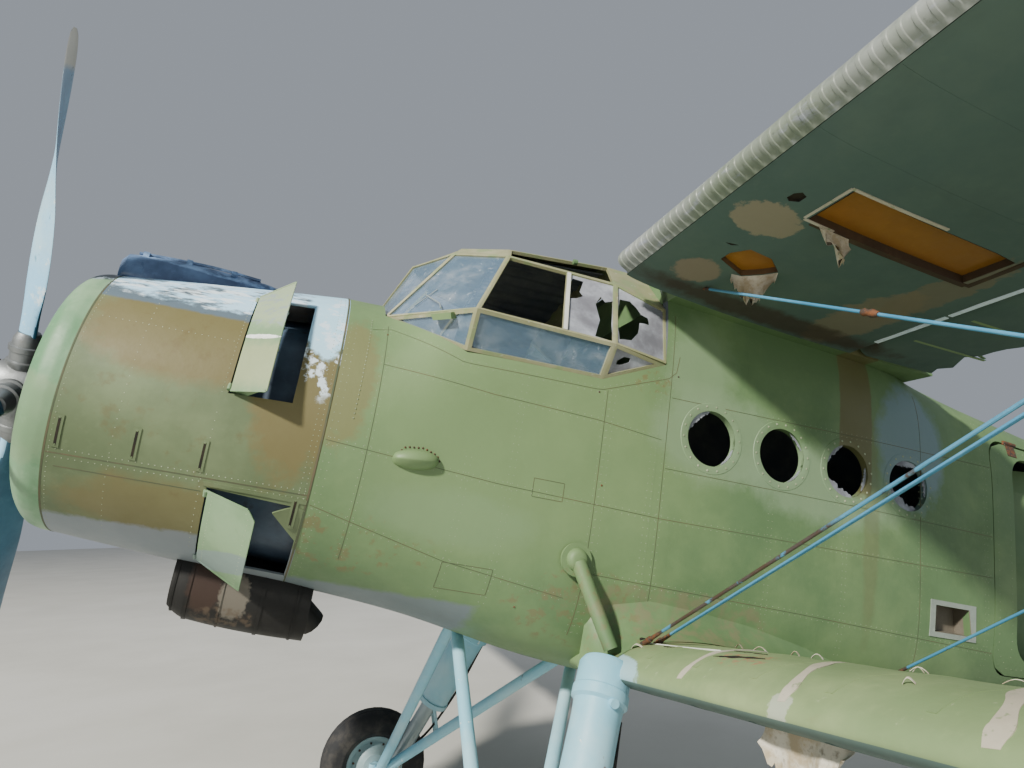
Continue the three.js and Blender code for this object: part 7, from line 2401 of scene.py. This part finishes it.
def build_stage():
    """A plain pale floor, a pale surround and soft studio lights."""
    size = 90.0
    mesh = bpy.data.meshes.new("floor")
    mesh.from_pydata([(-size, -size, 0), (size, -size, 0), (size, size, 0), (-size, size, 0)], [],
                     [(0, 1, 2, 3)])
    floor = placed("floor", mesh)
    mesh.materials.append(coated("pale_floor", "c9c8c2", [cloud_coat("bdbcb5", 2.0, 0.3, 0.8)],
                                 0.9))
    world = bpy.data.worlds.new("studio")
    bpy.context.scene.world = world
    world.use_nodes = True
    background = world.node_tree.nodes["Background"]
    background.inputs[0].default_value = linear("dbe4f0")
    background.inputs[1].default_value = 0.43
    for name, place, target, width, power, colour in LIGHTS:
        light = bpy.data.lights.new(name, "AREA")
        light.shape, light.size, light.energy = "DISK", width, power
        light.color = linear(colour)[:3]
        obj = placed(name, light)
        obj.location = place
        obj.rotation_euler = (Vector(target) - Vector(place)).to_track_quat("-Z", "Y").to_euler()


# Add-on

def colour_property(name, description, default):
    """A colour in the sidebar, with its default from a hex text."""
    return bpy.props.FloatVectorProperty(name=name, description=description, size=3, min=0, max=1,
                                         subtype="COLOR", default=linear(default)[:3])


class BiplanePaints(bpy.types.PropertyGroup):
    """Base colours of the paints"""
    fuselage: colour_property("Fuselage", "Olive enamel of the fuselage and tail", "5a764f")
    cowl: colour_property("Cowl", "Olive enamel of the cowl panels", "596848")
    nose: colour_property("Nose ring", "Fresher green of the nose ring", "5f8c65")
    # The undersides' colour is darker than the tops' as painted shade
    wing_under: colour_property("Wing undersides", "Doped fabric seen from below", "4a5f5a")
    wing_top: colour_property("Wing tops", "Doped fabric seen from above", "788d63")
    struts: colour_property("Struts", "Light blue enamel of legs and wires", "85c2d8")
    propeller: colour_property("Propeller", "Blue-grey enamel of the blades", "94cef3")


class BiplaneSizes(bpy.types.PropertyGroup):
    """Sizes of the small detail"""
    rivet_pitch: bpy.props.FloatProperty(
        name="Rivet pitch", description="Distance between rivets along a seam", default=0.040,
        min=0.01, max=0.2, subtype="DISTANCE", unit="LENGTH")
    rivet_radius: bpy.props.FloatProperty(
        name="Rivet radius", description="Radius of a rivet head", default=0.0036, min=0.001,
        max=0.01, subtype="DISTANCE", unit="LENGTH")
    seam_width: bpy.props.FloatProperty(
        name="Seam width", description="Width of the dark gap between panels", default=0.003,
        min=0.001, max=0.02, subtype="DISTANCE", unit="LENGTH")


class BIPLANE_OT_fuselage(bpy.types.Operator):
    """Add the fuselage skins, their seams and rivets, the portholes and the side fittings"""
    bl_idname = "biplane.fuselage"
    bl_label = "Fuselage"
    bl_options = {"REGISTER", "UNDO"}

    def execute(self, context):
        build_fuselage()
        build_portholes()
        build_side_fittings()
        return {"FINISHED"}


class BIPLANE_OT_doors(bpy.types.Operator):
    """Add the cargo door and the entry door in it"""
    bl_idname = "biplane.doors"
    bl_label = "Doors"
    bl_options = {"REGISTER", "UNDO"}

    def execute(self, context):
        build_doors()
        return {"FINISHED"}


class BIPLANE_OT_cabin(bpy.types.Operator):
    """Add the floors, seats, controls and instrument panel"""
    bl_idname = "biplane.cabin"
    bl_label = "Cabin"
    bl_options = {"REGISTER", "UNDO"}

    def execute(self, context):
        build_cabin()
        return {"FINISHED"}


class BIPLANE_OT_glazing(bpy.types.Operator):
    """Add the cockpit's bars, panes and broken glass"""
    bl_idname = "biplane.glazing"
    bl_label = "Cockpit glazing"
    bl_options = {"REGISTER", "UNDO"}

    def execute(self, context):
        build_glazing()
        return {"FINISHED"}


class BIPLANE_OT_cowl(bpy.types.Operator):
    """Add the cowl, its flaps, the intake scoop, the oil cooler and the exhaust"""
    bl_idname = "biplane.cowl"
    bl_label = "Cowl"
    bl_options = {"REGISTER", "UNDO"}

    def execute(self, context):
        build_cowl()
        build_intakes()
        return {"FINISHED"}


class BIPLANE_OT_engine(bpy.types.Operator):
    """Add the radial engine and the propeller"""
    bl_idname = "biplane.engine"
    bl_label = "Engine and propeller"
    bl_options = {"REGISTER", "UNDO"}

    def execute(self, context):
        build_engine()
        build_propeller()
        return {"FINISHED"}


class BIPLANE_OT_wings(bpy.types.Operator):
    """Add the wings, slats, flaps and ailerons with their fabric and its damage"""
    bl_idname = "biplane.wings"
    bl_label = "Wings"
    bl_options = {"REGISTER", "UNDO"}

    def execute(self, context):
        build_wings()
        return {"FINISHED"}


class BIPLANE_OT_bracing(bpy.types.Operator):
    """Add the struts and the bracing wires"""
    bl_idname = "biplane.bracing"
    bl_label = "Struts and wires"
    bl_options = {"REGISTER", "UNDO"}

    def execute(self, context):
        build_struts()
        build_wires()
        return {"FINISHED"}


class BIPLANE_OT_tail(bpy.types.Operator):
    """Add the fin, rudder, tailplane and elevators"""
    bl_idname = "biplane.tail"
    bl_label = "Tail"
    bl_options = {"REGISTER", "UNDO"}

    def execute(self, context):
        build_tail()
        return {"FINISHED"}


class BIPLANE_OT_gear(bpy.types.Operator):
    """Add the main legs, the wheels and the tail wheel"""
    bl_idname = "biplane.gear"
    bl_label = "Landing gear"
    bl_options = {"REGISTER", "UNDO"}

    def execute(self, context):
        build_gear()
        return {"FINISHED"}


class BIPLANE_OT_stage(bpy.types.Operator):
    """Add the camera, the floor and the lights"""
    bl_idname = "biplane.stage"
    bl_label = "Stage"
    bl_options = {"REGISTER", "UNDO"}

    def execute(self, context):
        make_camera()
        build_stage()
        return {"FINISHED"}


OPERATORS = (BIPLANE_OT_stage, BIPLANE_OT_fuselage, BIPLANE_OT_doors, BIPLANE_OT_cabin,
             BIPLANE_OT_glazing, BIPLANE_OT_cowl, BIPLANE_OT_engine, BIPLANE_OT_wings,
             BIPLANE_OT_bracing, BIPLANE_OT_tail, BIPLANE_OT_gear)


class BIPLANE_PT_panel(bpy.types.Panel):
    """Lists the biplane's colours, sizes and pieces"""
    bl_idname = "BIPLANE_PT_panel"
    bl_label = "Weathered biplane"
    bl_space_type = "VIEW_3D"
    bl_region_type = "UI"
    bl_category = "Biplane"

    def draw(self, context):
        """One row for each property and each operator"""
        for group in (context.scene.biplane_paints, context.scene.biplane_sizes):
            for name in group.__annotations__:
                self.layout.prop(group, name)
        for operator in OPERATORS:
            self.layout.operator(operator.bl_idname)


CLASSES = (BiplanePaints, BiplaneSizes, *OPERATORS, BIPLANE_PT_panel)


def register():
    """Adds the classes and the two groups of properties."""
    for cls in CLASSES:
        bpy.utils.register_class(cls)
    bpy.types.Scene.biplane_paints = bpy.props.PointerProperty(type=BiplanePaints)
    bpy.types.Scene.biplane_sizes = bpy.props.PointerProperty(type=BiplaneSizes)


def unregister():
    """Takes away what register() added, in reverse order."""
    del bpy.types.Scene.biplane_sizes
    del bpy.types.Scene.biplane_paints
    for cls in reversed(CLASSES):
        bpy.utils.unregister_class(cls)


def main():
    """Registers the add-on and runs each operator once."""
    register()
    for operator in OPERATORS:
        getattr(bpy.ops.biplane, operator.bl_idname.split(".")[1])()


if __name__ == "__main__":
    main()
